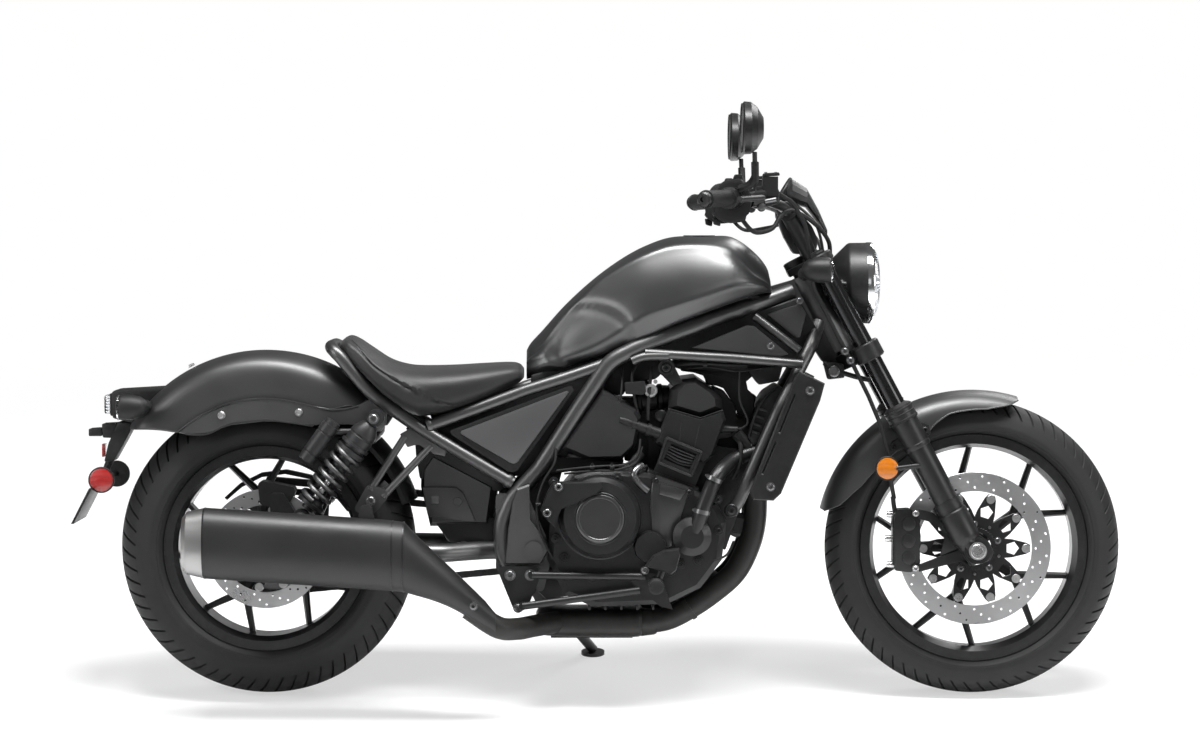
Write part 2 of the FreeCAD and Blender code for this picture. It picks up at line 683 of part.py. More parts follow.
ARM_LUG_HALF = 13.0
ARM_PATH_SHARES = [(566, 316, 0.46), (470, 315, 0.56), (370, 313, 1.0), (180, 316, 1.0), (0, 318, 1.0)]
ARM_CROSS_SHARES = (424, 314)
ARM_CROSS_SHARE = 0.66
ARM_LUG_SHARES = [(40, 296), (60, 340), (-10, 346), (-34, 330), (-34, 304), (-10, 290)]
SHOCK_LUG_SHARES = [(30, 330), (110, 330), (100, 396), (82, 408), (64, 400)]
SPACER_GAP = 1.0


# Coil-over damper with its oil cylinder beside it
def shock_pieces():
    foot = at(*SHOCK_FOOT_SHARES, -SHOCK_Y)
    top = at(*SHOCK_TOP_SHARES, -SHOCK_Y)
    along = top - foot
    length = along.Length
    seat_low, coil_from, coil_to, seat_high, body_top = [length * share for share in SHOCK_SHARES]
    pitch = (coil_to - coil_from) / SPRING_TURNS
    profile = [(0, 0), (0, SHOCK_ROD), (seat_low, SHOCK_ROD)]
    profile += [(seat_low, SPRING_RADIUS), (coil_from, SPRING_RADIUS)]
    for i in range(SPRING_TURNS):
        start = coil_from + pitch * i
        rise, crest, fall = [start + pitch * share for share in COIL_SHARES]
        profile += [(start, SHOCK_BODY), (rise, SPRING_RADIUS), (crest, SPRING_RADIUS), (fall, SHOCK_BODY)]
    profile += [
        (coil_to, SHOCK_BODY), (coil_to, SPRING_RADIUS), (seat_high, SPRING_RADIUS),
        (seat_high, SHOCK_BODY), (body_top, SHOCK_BODY), (length, SHOCK_ROD), (length, 0),
    ]
    body = lathe(profile, foot, along)
    eyes = [
        rod(spot - ACROSS * SHOCK_EYE_HALF, spot + ACROSS * SHOCK_EYE_HALF, SHOCK_EYE) for spot in (foot, top)
    ]
    low = at(*RESERVOIR_SHARES[1], -SHOCK_Y - RESERVOIR_OUT)
    high = at(*RESERVOIR_SHARES[0], -SHOCK_Y - RESERVOIR_OUT)
    cylinder = rod(low, high, RESERVOIR_RADIUS)
    branch = high - (high - low) * BRIDGE_SHARE
    bridge = rod(branch, branch + Vector(BRIDGE_REACH, BRIDGE_OUT, 0), SHOCK_ROD)
    whole = join([body, cylinder, bridge] + eyes)
    top_bolt = cross_rod(*SHOCK_TOP_SHARES, -SHOCK_Y - SHOCK_EYE_HALF, -LOOP_Y, AXLE_RADIUS / 2)
    fitted = without(whole, nodes["swingarm"] + nodes["seat_loop"] + nodes["fender_stays"])
    keep("shocks", *pair(join([fitted, without(top_bolt, nodes["seat_loop"] + nodes["fender_stays"])])))


RESERVOIR_OUT = 6.0
SHOCK_SHARES = (0.16, 0.19, 0.68, 0.73, 0.93)
COIL_SHARES = (0.25, 0.65, 0.9)
BRIDGE_SHARE = 0.3
BRIDGE_REACH = 60.0
BRIDGE_OUT = 12.0

# Engine: crankcase, forward leaning cylinders, covers
CASE_HALF = 150.0
CASE_EDGE = 14.0
CASE_BEND = 26.0
CASE_SHARES = [
    (604, 300), (612, 420), (660, 478), (716, 492), (822, 484), (905, 455), (965, 420), (985, 380),
    (975, 300), (930, 240), (860, 206), (700, 200), (640, 226),
]
CYLINDER_HALF = 126.0
CYLINDER_SHARES = [(829, 486), (917, 452), (940, 506), (852, 540)]
FLANGE_SHARES = [(820, 492), (926, 452), (922, 440), (816, 480)]
FLANGE_HALF = 134.0
HEAD_HALF = 132.0
HEAD_EDGE = 8.0
HEAD_SHARES = [(834, 549), (852, 536), (938, 503), (956, 520), (984, 598), (978, 616), (930, 600), (861, 620)]
COVER_HALF = 124.0
COVER_EDGE = 20.0
COVER_SHARES = [
    (861, 620), (930, 600), (978, 618), (976, 640), (964, 656), (920, 686), (888, 682), (865, 662),
]
VENT_SHARES = [(857, 560), (932, 529), (910, 478), (840, 507)]
VENT_INNER_SHARES = [(867, 548), (922, 525), (906, 492), (851, 514)]
VENT_OUT = 12.0
VENT_SLAT_SHARES = (0.2, 0.5, 0.8)
VENT_SLAT = 3.0
CLUTCH_RADIUS = 89.0
CLUTCH_CAP = 52.0
CLUTCH_OUT = 42.0
DISC_COVER_RADIUS = 35.0
PUMP_RADIUS = 41.0
HOSE_RADIUS = 16.0


def engine_pieces():
    case = slab(CASE_SHARES, -CASE_HALF, CASE_HALF, CASE_EDGE)
    chassis = nodes["frame_main"] + nodes["frame_down"] + nodes["swingarm"]
    keep("crankcase", without(case, chassis))
    barrel = plate(CYLINDER_SHARES, -CYLINDER_HALF, CYLINDER_HALF)
    flange = plate(FLANGE_SHARES, -FLANGE_HALF, FLANGE_HALF)
    vent = plate(VENT_SHARES, -HEAD_HALF - VENT_OUT, -CYLINDER_HALF)
    vent = vent.cut(plate(VENT_INNER_SHARES, -HEAD_HALF - VENT_OUT, -CYLINDER_HALF))
    slats = []
    for share in VENT_SLAT_SHARES:
        slat_y = -HEAD_HALF - VENT_SLAT * THIN_SHARE
        start = at(*blend_share(VENT_INNER_SHARES[0], VENT_INNER_SHARES[3], share), slat_y)
        end = at(*blend_share(VENT_INNER_SHARES[1], VENT_INNER_SHARES[2], share), slat_y)
        reach = (end - start) * VENT_REACH_SHARE
        slats.append(rod(start - reach, end + reach, VENT_SLAT))
    keep("cylinders", without(join([barrel, flange]), nodes["crankcase"]))
    head = slab(HEAD_SHARES, -HEAD_HALF, HEAD_HALF, HEAD_EDGE)
    head = join([head, vent] + slats)
    keep("cylinder_head", without(head, nodes["cylinders"] + chassis))
    cover = slab(COVER_SHARES, -COVER_HALF, COVER_HALF, COVER_EDGE)
    keep("head_cover", without(cover, nodes["cylinder_head"] + chassis))


VENT_REACH_SHARE = 0.04


def blend_share(first, second, share):
    return (first[0] + (second[0] - first[0]) * share, first[1] + (second[1] - first[1]) * share)


CLUTCH_GUARD_SHARES = [(617, 468), (718, 470), (722, 458), (712, 446), (634, 412), (627, 394), (620, 372),
                       (599, 396), (590, 409), (605, 448)]
CLUTCH_GUARD_BOLT_SHARES = [(629, 458), (603, 403)]
PUMP_RIB_COUNT = 6
PUMP_RIB = 2.5
PUMP_RIB_SHARE = 0.92
CLUTCH_SHARES = (716, 393)
SIDE_DISC_SHARES = (822, 329)
GUARD_OUT_SHARE = 1.15
SMALL_EDGE = 4.0


def cover_pieces():
    big = at(*CLUTCH_SHARES, -CASE_HALF)
    rim = [(CLUTCH_OUT * along, CLUTCH_RADIUS * out) for along, out in CLUTCH_RIM_SHARES]
    groove = [(CLUTCH_OUT * along, CLUTCH_CAP * out) for along, out in CLUTCH_GROOVE_SHARES]
    clutch = lathe([(0, 0)] + rim + groove + [(CLUTCH_OUT, 0)], big, -ACROSS)
    guard_y = -CASE_HALF - CLUTCH_OUT * GUARD_OUT_SHARE
    guard = slab(CLUTCH_GUARD_SHARES, guard_y, -CASE_HALF, SMALL_EDGE)
    bolts = [
        cross_rod(x, z, guard_y - SMALL_EDGE, -CASE_HALF, BRACKET_TUBE) for x, z in CLUTCH_GUARD_BOLT_SHARES
    ]
    keep("clutch_cover", without(join([clutch, guard] + bolts), nodes["crankcase"]))
    left = at(*LEFT_COVER_SHARES, CASE_HALF)
    face = [(CLUTCH_OUT * along, CLUTCH_RADIUS * out) for along, out in GENERATOR_SHARES]
    generator = lathe(face, left, ACROSS)
    sprocket_cover = plate(SPROCKET_COVER_SHARES, CASE_HALF, CASE_HALF + SMALL_OUT, STAY_BEND)
    covers = [join([generator, sprocket_cover])]
    small = [(SMALL_OUT * along, DISC_COVER_RADIUS * out) for along, out in SMALL_COVER_SHARES]
    keep("engine_covers", lathe(small, at(*SIDE_DISC_SHARES, -CASE_HALF), -ACROSS), *covers)
    face = [(SMALL_OUT * along, PUMP_RADIUS * out) for along, out in PUMP_FACE_SHARES]
    pump = lathe(face, at(*PUMP_SHARES, -CASE_HALF), -ACROSS)
    ribs = []
    for i in range(PUMP_RIB_COUNT):
        middle = at(*PUMP_SHARES, -CASE_HALF - SMALL_OUT)
        end = polar(middle, 360 / PUMP_RIB_COUNT * i, PUMP_RADIUS * PUMP_RIB_SHARE)
        ribs.append(rod(middle, end, PUMP_RIB))
    route = [at(x, z, -CASE_HALF - HOSE_OUT * share) for x, z, share in HOSE_SHARES]
    hose = tube(route, HOSE_RADIUS, FRAME_BEND)
    engine = nodes["crankcase"] + nodes["cylinders"]
    keep("water_pump", without(join([pump, hose] + ribs), engine + nodes["frame_down"]))


# Along the cover and out from its middle, as shares of its depth and radius
CLUTCH_RIM_SHARES = [(0, 1.0), (0.7, 0.96), (1.0, 0.86)]
CLUTCH_GROOVE_SHARES = [(1.0, 1.08), (0.86, 1.0), (1.0, 0.9)]
GENERATOR_SHARES = [(0, 0), (0, 1.0), (0.5, 0.96), (0.8, 0.8), (0.8, 0)]
SMALL_COVER_SHARES = [(0, 0), (0, 1.0), (1.0, 0.9), (1.0, 0)]
PUMP_FACE_SHARES = [(0, 0), (0, 1.0), (1.0, 1.0), (1.4, 0.6), (1.4, 0)]
LEFT_COVER_SHARES = (806, 376)
SPROCKET_COVER_SHARES = [(620, 306), (640, 400), (724, 420), (752, 370), (744, 306), (690, 292)]
SMALL_OUT = 22.0
PUMP_SHARES = (911, 352)
HOSE_OUT = 40.0
HOSE_SHARES = [(918, 362, 0.4), (932, 407, 0.6), (960, 480, 0.4), (1010, 520, -1.4), (1100, 534, -1.4)]

# Exhaust
HEADER_RADIUS = 21.0
HEADER_BEND = 70.0
LINK_RADIUS = 24.0
HEADER_Y = 45.0
BOX_HALF = 60.0
BOX_NEAR = 90.0
SILENCER_Y = 228.0
SILENCER_HALF = 56.0
HEADER_SHARES = [
    (975, 586), (1036, 566), (1050, 470), (1068, 340), (1014, 240), (929, 182), (843, 168), (796, 168),
]
BOX_SHARES = [(805, 204), (805, 138), (620, 136), (584, 146), (584, 206)]
LINK_SHARES = [(640, 160, 0.3), (570, 166, 0.7), (510, 172, 0.96), (440, 214, 1.0)]
# Place, low edge, high edge and half width share
SILENCER_SHARES = [(-112, 269, 418, 1.0), (264, 244, 393, 1.0), (305, 241, 388, 0.98)]
CONE_SHARES = [(305, 241, 388, 0.98), (345, 229, 346, 0.9), (400, 209, 294, 0.74), (450, 180, 246, 0.56),
               (497, 152, 200, 0.4)]
SILENCER_CAP_SHARES = [(-160, 290, 398, 0.74), (-150, 278, 410, 0.92), (-112, 269, 418, 1.0)]
OUTLET_RADIUS = 34.0
OUTLET_SHARES = (-160, 344)
OUTLET_DEPTH = 26.0


def exhaust_pieces():
    header = tube([at(x, z, -HEADER_Y) for x, z in HEADER_SHARES], HEADER_RADIUS, HEADER_BEND)
    headers = [header, mirrored(header)]
    box = plate(BOX_SHARES, -BOX_NEAR, BOX_HALF, CASE_BEND)
    link = tube([at(x, z, -SILENCER_Y * share) for x, z, share in LINK_SHARES], LINK_RADIUS, HEADER_BEND)
    keep("exhaust_pipes", without(join(headers + [box, link]), nodes["crankcase"] + nodes["cylinders"]
                                  + nodes["cylinder_head"] + nodes["frame_main"]))
    body = join([
        ruled([silencer_ring(*entry) for entry in SILENCER_SHARES]),
        loft([silencer_ring(*entry) for entry in CONE_SHARES]),
    ])
    lug = plate(SILENCER_LUG_SHARES, -SILENCER_Y - PLATE_THICK, -SILENCER_Y + PLATE_THICK, STRUT_TUBE)
    keep("silencer", without(join([body, lug]), nodes["exhaust_pipes"]))
    hanger = plate(HANGER_PLATE_SHARES, -HANGER_Y - PLATE_THICK, -HANGER_Y + PLATE_THICK, STRUT_TUBE)
    bolt = cross_rod(*HANGER_BOLT_SHARES, -SILENCER_Y, -HANGER_Y, BRACKET_TUBE)
    struts = [
        rod(at(*foot, -HANGER_Y), at(*top, -LOOP_Y), BRACKET_TUBE) for foot, top in HANGER_STRUT_SHARES
    ]
    keep("frame_brackets", without(join([hanger, bolt] + struts), nodes["silencer"] + nodes["seat_loop"]
                                    + nodes["fender_stays"] + nodes["shocks"]))
    cover = slab(PIVOT_COVER_SHARES, -FRAME_Y - PIVOT_COVER_OUT, -FRAME_Y - PLATE_THICK, SMALL_EDGE)
    boss_y = -FRAME_Y - PIVOT_COVER_OUT - SMALL_EDGE
    boss = cross_rod(*PIVOT_BOSS_SHARES, boss_y, -FRAME_Y - PLATE_THICK, PIVOT_CAP)
    cover = without(join([cover, boss]), nodes["crankcase"] + nodes["frame_main"] + nodes["swingarm"])
    keep("frame_brackets", *nodes["frame_brackets"], *pair(cover))
    outlet = at(*OUTLET_SHARES, -SILENCER_Y)
    mouth = rod(outlet, outlet + Vector(OUTLET_DEPTH, 0, 0), OUTLET_RADIUS)
    keep("silencer_cap", ruled([silencer_ring(*entry) for entry in SILENCER_CAP_SHARES]).cut(mouth))


def silencer_ring(x, low, high, share):
    middle = ring(x, low, high, SILENCER_HALF * share, SILENCER_FULLNESS)
    middle.translate(-ACROSS * SILENCER_Y)
    return middle


SILENCER_FULLNESS = 0.85
PIVOT_COVER_SHARES = [
    (540, 452), (566, 461), (568, 386), (603, 340), (605, 316), (590, 290), (514, 290),
    (521, 368), (530, 424),
]
PIVOT_COVER_OUT = 27.0
PIVOT_BOSS_SHARES = (575, 320)
PIVOT_CAP = 20.0
HANGER_Y = 142.0
SILENCER_LUG_SHARES = [(205, 380), (245, 380), (236, 424), (214, 424)]
HANGER_PLATE_SHARES = [(190, 402), (236, 398), (264, 430), (262, 452), (222, 460)]
HANGER_BOLT_SHARES = (225, 412)
HANGER_STRUT_SHARES = [((228, 448), (300, 560)), ((254, 434), (356, 540))]

# Radiator with its shroud, and the covers between the tubes
RADIATOR_HALF = 160.0
RADIATOR_SHARES = [(1068, 452), (1096, 446), (1168, 640), (1140, 660)]
SHROUD_SHARES = [
    (1140, 699), (1187, 676), (1178, 642), (1096, 446), (1081, 432), (1041, 434), (1035, 449), (1130, 691),
]
SHROUD_Y = 190.0
SHROUD_THICK = 12.0
SHROUD_SLOT_SHARES = [
    [(1118, 600), (1150, 606), (1136, 572), (1104, 566)],
    [(1082, 512), (1112, 514), (1098, 480), (1068, 478)],
]
INLET_SHARES = [(720, 664), (629, 535), (686, 511), (763, 513), (792, 541), (804, 602), (794, 620)]
INLET_HALF = 132.0
INLET_EDGE = 16.0
SIDE_COVER_SHARES = [(351, 558), (626, 676), (552, 477), (539, 469)]
SIDE_COVER_Y = 138.0
SIDE_COVER_THICK = 8.0
SIDE_COVER_EDGE = 3.0
BORDER_SHARES = [(330, 566), (640, 694), (566, 476), (544, 452)]
BORDER_THICK = 3.0
PANEL_EDGE = 4.0
BATTERY_SHARES = [(333, 494), (355, 525), (496, 451), (484, 366), (352, 366), (332, 450)]
BATTERY_HALF = 84.0
PANEL_OUT = 10.0
HIGH_PANEL_Y = 68.0
LOW_PANEL_SHARES = [(911, 751), (1028, 799), (1044, 797), (1117, 737), (1098, 733)]
HIGH_PANEL_SHARES = [(1073, 820), (1144, 843), (1157, 822), (1144, 771), (1133, 771)]


def cover_panels():
    core = plate(RADIATOR_SHARES, -RADIATOR_HALF, RADIATOR_HALF)
    keep("radiator", without(core, nodes["frame_down"] + nodes["exhaust_pipes"] + nodes["water_pump"]))
    side = plate(SHROUD_SHARES, -SHROUD_Y, -SHROUD_Y + SHROUD_THICK, STAY_BEND)
    rim = plate(SHROUD_SHARES, -SHROUD_Y + SHROUD_THICK, -RADIATOR_HALF, STAY_BEND)
    rim = rim.cut(plate(RADIATOR_SHARES, -SHROUD_Y, 0))
    for slot in SHROUD_SLOT_SHARES:
        side = side.cut(plate(slot, -SHROUD_Y - SHROUD_THICK, SHROUD_THICK - RADIATOR_HALF, SHOCK_ROD))
    keep("radiator_shroud", *pair(without(side.fuse(rim), nodes["frame_down"] + nodes["radiator"])))
    chassis = nodes["frame_main"] + nodes["seat_loop"] + nodes["frame_down"]
    inlet = slab(INLET_SHARES, -INLET_HALF, INLET_HALF, INLET_EDGE)
    engine = nodes["crankcase"] + nodes["cylinders"] + nodes["cylinder_head"]
    keep("inlet_cover", without(inlet, chassis + engine))
    cover = slab(SIDE_COVER_SHARES, -SIDE_COVER_Y, -SIDE_COVER_Y + SIDE_COVER_THICK, SIDE_COVER_EDGE)
    keep("side_covers", *pair(without(cover, chassis)))
    battery = slab(BATTERY_SHARES, -BATTERY_HALF, BATTERY_HALF, INLET_EDGE)
    keep("battery_box", without(battery, chassis + nodes["inner_fender"]))
    border_y = -SIDE_COVER_Y + SIDE_COVER_THICK
    panels = [
        slab(LOW_PANEL_SHARES, -FRAME_Y - PANEL_OUT, -FRAME_Y + PANEL_OUT, PANEL_EDGE),
        slab(HIGH_PANEL_SHARES, -HIGH_PANEL_Y - PANEL_OUT, -HIGH_PANEL_Y + PANEL_OUT, PANEL_EDGE),
        plate(BORDER_SHARES, border_y, border_y + BORDER_THICK),
    ]
    fitted = [without(panel, chassis + nodes["fuel_tank"]) for panel in panels]
    keep("frame_panels", *[solid for panel in fitted for solid in pair(panel)])


# Roller chain as one loop with its links in outline
CHAIN_GUARD_SHARES = [(-20, 446), (-14, 460), (210, 442), (400, 421), (440, 411), (440, 405)]
GUARD_TAB_SHARES = [(96, 326), (116, 326), (124, 442), (88, 442)]
GUARD_IN = 8.0
GUARD_OUT = 18.0
GUARD_TAB = 4.0


def chain_pieces():
    rear = Vector(0, CHAIN_Y, REAR_AXLE_Z)
    front = at(*FRONT_SPROCKET_SHARES, CHAIN_Y)
    gap = front - rear
    lean = math.atan2(gap.z, gap.x)
    spread = math.asin((SPROCKET_RADIUS - FRONT_SPROCKET_RADIUS) / gap.Length)

    def loop(grow):
        big = SPROCKET_RADIUS + grow
        small = FRONT_SPROCKET_RADIUS + grow
        top = lean + math.pi / 2 - spread
        low = lean - math.pi / 2 + spread
        low_y = -CHAIN_WIDTH / 2

        def on(centre, radius, angle):
            return centre + Vector(radius * math.cos(angle), low_y, radius * math.sin(angle))

        edges = [
            Part.LineSegment(on(rear, big, top), on(front, small, top)).toShape(),
            Part.Arc(on(front, small, top), on(front, small, lean), on(front, small, low)).toShape(),
            Part.LineSegment(on(front, small, low), on(rear, big, low)).toShape(),
            Part.Arc(on(rear, big, low), on(rear, big, lean + math.pi), on(rear, big, top)).toShape(),
        ]
        return Part.Face(Part.Wire(edges)).extrude(ACROSS * CHAIN_WIDTH)

    band = loop(CHAIN_HEIGHT).cut(loop(CHAIN_GAP))
    keep("drive_chain", without(band, nodes["crankcase"] + nodes["frame_main"] + nodes["swingarm"]))
    guard = plate(CHAIN_GUARD_SHARES, CHAIN_Y - GUARD_IN, CHAIN_Y + GUARD_OUT)
    tab = plate(GUARD_TAB_SHARES, CHAIN_Y + GUARD_OUT - GUARD_TAB, CHAIN_Y + GUARD_OUT)
    keep("chain_guard", without(join([guard, tab]), nodes["swingarm"]))


FRONT_SPROCKET_SHARES = (660, 318)
CHAIN_GAP = 1.0

# Rider's foot controls
PEG_RADIUS = 15.0
PEG_OUT = 96.0
PEG_Y = 168.0
PEG_SHARES = (834, 254)
BRACKET_SHARES = [(495, 286), (586, 286), (586, 255), (564, 203), (551, 190), (532, 195)]
HIGH_ROD_SHARES = [(572, 270), (812, 267)]
LOW_ROD_SHARES = [(552, 204), (800, 238)]
TOE_PLATE_SHARES = [(781, 256), (812, 276), (844, 270), (870, 197), (844, 204)]
BRACKET_Y = 138.0
BRACKET_TUBE = 8.0


def foot_pieces():
    bracket = plate(BRACKET_SHARES, -BRACKET_Y - PLATE_THICK, -BRACKET_Y, STRUT_TUBE)
    high = foot_rod(HIGH_ROD_SHARES)
    low = foot_rod(LOW_ROD_SHARES)
    toe_plate = plate(TOE_PLATE_SHARES, -PEG_Y - PLATE_THICK / 2, -PEG_Y + PLATE_THICK / 2)
    peg = cross_rod(*PEG_SHARES, -PEG_Y - PEG_OUT, -PEG_Y, PEG_RADIUS)
    mount = cross_rod(*LOW_CROSS_SHARES, -BRACKET_Y, -FRAME_Y, STRUT_TUBE)
    far = join([bracket, high, toe_plate, peg, mount])
    solids = nodes["frame_main"] + nodes["swingarm"] + nodes["crankcase"] + nodes["exhaust_pipes"]
    keep("rider_pegs", without(join([far, low]), solids), mirrored(without(far, solids)))
    pedal = tube([at(x, z, -PEDAL_Y) for x, z in PEDAL_SHARES], BRACKET_TUBE, FRAME_BEND)
    pad = slab(PEDAL_PAD_SHARES, -PEDAL_Y - PEDAL_PAD_OUT, -PEDAL_Y + BRACKET_TUBE, PANEL_EDGE)
    lever = tube([at(x, z, PEDAL_Y) for x, z in LEVER_SHARES], BRACKET_TUBE, FRAME_BEND)
    toe = cross_rod(*LEVER_SHARES[-1], PEDAL_Y, PEDAL_Y + TOE_REACH, PEG_RADIUS * THIN_SHARE)
    pegs = nodes["rider_pegs"]
    keep("foot_levers", without(join([pedal, pad]), pegs), without(join([lever, toe]), pegs))


# Rod beside the foot bracket with the short spacer at its rear end
def foot_rod(shares):
    bar = rod(at(*shares[0], -PEG_Y), at(*shares[1], -PEG_Y), BRACKET_TUBE)
    return join([bar, cross_rod(*shares[0], -PEG_Y, -BRACKET_Y, BRACKET_TUBE)])


PEDAL_Y = 198.0
PEDAL_PAD_OUT = 36.0
TOE_REACH = 54.0
PEDAL_SHARES = [(838, 262), (846, 280), (856, 304)]
PEDAL_PAD_SHARES = [(811, 294), (828, 316), (852, 327), (883, 331), (885, 320), (876, 286), (867, 279)]
LEVER_SHARES = [(838, 264), (872, 270), (916, 292)]


def brake_pieces():
    outline = [polar(REAR_HUB, angle, radius) for angle, radius in CALIPER_OUTLINE]
    shares = [(p.x / STEP, AXLE_SHARE + (p.z - REAR_AXLE_Z) / STEP) for p in outline]
    body = plate(shares, -REAR_DISC_Y - CALIPER_HALF, -REAR_DISC_Y + CALIPER_HALF, STRUT_TUBE)
    slot = rod(REAR_HUB - ACROSS * (REAR_DISC_Y - DISC_GAP), REAR_HUB - ACROSS * (REAR_DISC_Y + DISC_GAP),
               REAR_DISC_RADIUS + CALIPER_SLOT)
    hanger = plate(HANGER_SHARES, -ARM_Y + ARM_TUBE * THIN_SHARE, -REAR_DISC_Y - DISC_GAP, STRUT_TUBE)
    body = join([body, hanger]).cut(slot)
    keep("rear_caliper", without(body, nodes["swingarm"]))


CALIPER_OUTLINE = [(62, 96), (96, 96), (96, 150), (62, 150)]
CALIPER_HALF = 24.0
CALIPER_SLOT = 6.0
DISC_GAP = 6.0
HANGER_SHARES = [(20, 330), (60, 330), (66, 400), (40, 440), (10, 440)]

# Fork and clamps
FORK_Y = 105.0
STANCHION_RADIUS = 20.5
SLIDER_RADIUS = 28.0
COLLAR_RADIUS = 32.0
SLIDER_TOP = 348.0
FORK_TOP = 716.0
LOW_CLAMP = 484.0
LOW_CLAMP_THICK = 38.0
TOP_CLAMP = 706.0
TOP_CLAMP_THICK = 20.0
CLAMP_WALL = 11.0
STEM_RADIUS = 15.0
BOSS_RADIUS = 24.0
FRONT_AXLE_RADIUS = 10.0


def fork_pieces():
    clamps = []
    for height, thick in ((LOW_CLAMP, LOW_CLAMP_THICK), (TOP_CLAMP, TOP_CLAMP_THICK)):
        low = height - thick / 2
        legs = [rod(steer(FORK_OFFSET, side * FORK_Y, low), steer(FORK_OFFSET, side * FORK_Y, low + thick),
                    STANCHION_RADIUS + CLAMP_WALL) for side in (-1, 1)]
        foot = low + WEB_INSET
        web = Part.Face(Part.makePolygon([
            steer(-BOSS_RADIUS, -BOSS_RADIUS, foot), steer(FORK_OFFSET, -FORK_Y, foot),
            steer(FORK_OFFSET + WEB_AHEAD, -FORK_Y, foot), steer(FORK_OFFSET + WEB_AHEAD, FORK_Y, foot),
            steer(FORK_OFFSET, FORK_Y, foot), steer(-BOSS_RADIUS, BOSS_RADIUS, foot),
            steer(-BOSS_RADIUS, -BOSS_RADIUS, foot),
        ])).extrude(STEER_UP * (thick - WEB_INSET * 2))
        clamps.append(join(legs + [web]))
    stem = rod(steer(0, 0, LOW_CLAMP), steer(0, 0, TOP_CLAMP), STEM_RADIUS)
    nut = rod(steer(0, 0, TOP_CLAMP), steer(0, 0, TOP_CLAMP + TOP_CLAMP_THICK), BOSS_RADIUS)
    bores = [
        rod(steer(FORK_OFFSET, side * FORK_Y, 0), steer(FORK_OFFSET, side * FORK_Y, FORK_TOP + COLLAR_RADIUS),
            STANCHION_RADIUS + FIT) for side in (-1, 1)
    ]
    keep("fork_clamps", without(join(clamps + [stem, nut]), bores))
    low = steer(FORK_OFFSET, -FORK_Y, SLIDER_TOP - COLLAR_RADIUS)
    stanchion = rod(low, steer(FORK_OFFSET, -FORK_Y, FORK_TOP), STANCHION_RADIUS)
    keep("fork_tubes", *pair(stanchion))
    slider = lathe([
        (-SLIDER_FOOT, 0), (-SLIDER_FOOT, STANCHION_RADIUS),
        (SLIDER_FOOT, SLIDER_RADIUS * SLIDER_WAIST_SHARE),
        (SLIDER_TOP - COLLAR_RADIUS, SLIDER_RADIUS), (SLIDER_TOP - COLLAR_RADIUS, COLLAR_RADIUS),
        (SLIDER_TOP, COLLAR_RADIUS), (SLIDER_TOP, 0),
    ], steer(FORK_OFFSET, -FORK_Y, 0), STEER_UP)
    lug_middle = FRONT_HUB - ACROSS * FORK_Y
    lug = rod(lug_middle - ACROSS * LUG_HALF, lug_middle + ACROSS * LUG_HALF, SLIDER_RADIUS)
    slider = join([slider, lug]).cut(stanchion)
    reach = ACROSS * (FORK_Y + LUG_HALF * 2)
    axle_bore = rod(FRONT_HUB - reach, FRONT_HUB + reach, FRONT_AXLE_RADIUS + FIT)
    keep("fork_sliders", *pair(slider.cut(axle_bore)))
    ends = FORK_Y + LUG_HALF + AXLE_END
    shaft = rod(FRONT_HUB - ACROSS * ends, FRONT_HUB + ACROSS * ends, FRONT_AXLE_RADIUS)
    nuts = [
        rod(FRONT_HUB + ACROSS * (side * (FORK_Y + LUG_HALF)), FRONT_HUB + ACROSS * (side * ends), AXLE_NUT)
        for side in (-1, 1)
    ]
    spacers = [
        rod(FRONT_HUB + ACROSS * (side * (FRONT_HUB_WIDTH / 2 + SPACER_GAP)),
            FRONT_HUB + ACROSS * (side * (FORK_Y - LUG_HALF)), AXLE_NUT) for side in (-1, 1)
    ]
    keep("front_axle", without(join([shaft] + nuts + spacers), nodes["fork_sliders"]))


SLIDER_FOOT = 24.0
WEB_AHEAD = 12.0
WEB_INSET = 2.0
SLIDER_WAIST_SHARE = 0.9
LUG_HALF = 22.0
AXLE_END = 8.0

# Headlamp, signals and cowl
LAMP_Z_SHARE = 886
LAMP_RADIUS = 88.0
LAMP_FRONT_SHARE = 1320
HEADLAMP_SHARES = [
    (0, 0), (0, 0.44), (0.02, 0.5), (0.32, 0.98), (0.36, 1.0), (0.72, 1.0), (0.84, 0.9),
    (0.95, 0.55), (1.0, 0),
]
HEADLAMP_LENGTH = 94.0
COWL_HALF = 62.0


def lamp_pieces():
    back = at(LAMP_FRONT_SHARE, LAMP_Z_SHARE) - Vector(HEADLAMP_LENGTH, 0, 0)
    profile = [(HEADLAMP_LENGTH * along, LAMP_RADIUS * out) for along, out in HEADLAMP_SHARES]
    shell = lathe(profile, back, Vector(1, 0, 0))
    ear = plate(EAR_SHARES, -EAR_Y - EAR_THICK / 2, -EAR_Y + EAR_THICK / 2, STRUT_TUBE)
    bolt = cross_rod(*EAR_BOLT_SHARES, -EAR_Y, -LAMP_RADIUS * EAR_BOLT_SHARE, BRACKET_TUBE)
    keep("headlamp", shell)
    holder = without(join([ear, bolt]), nodes["headlamp"] + nodes["fork_tubes"])
    keep("fork_clamps", *nodes["fork_clamps"], *pair(holder))
    pod = signal(at(*FRONT_POD_SHARES, -FRONT_SIGNAL_Y), Vector(1, 0, 0))
    stem_out = at(*FRONT_STEM_SHARES[0], -FRONT_SIGNAL_Y)
    stem_in = at(*FRONT_STEM_SHARES[1], -FORK_Y - STANCHION_RADIUS)
    stem = rod(stem_out, stem_in, SIGNAL_STEM)
    keep("front_signals", *pair(without(join([pod, stem]), nodes["fork_clamps"] + nodes["fork_tubes"])))


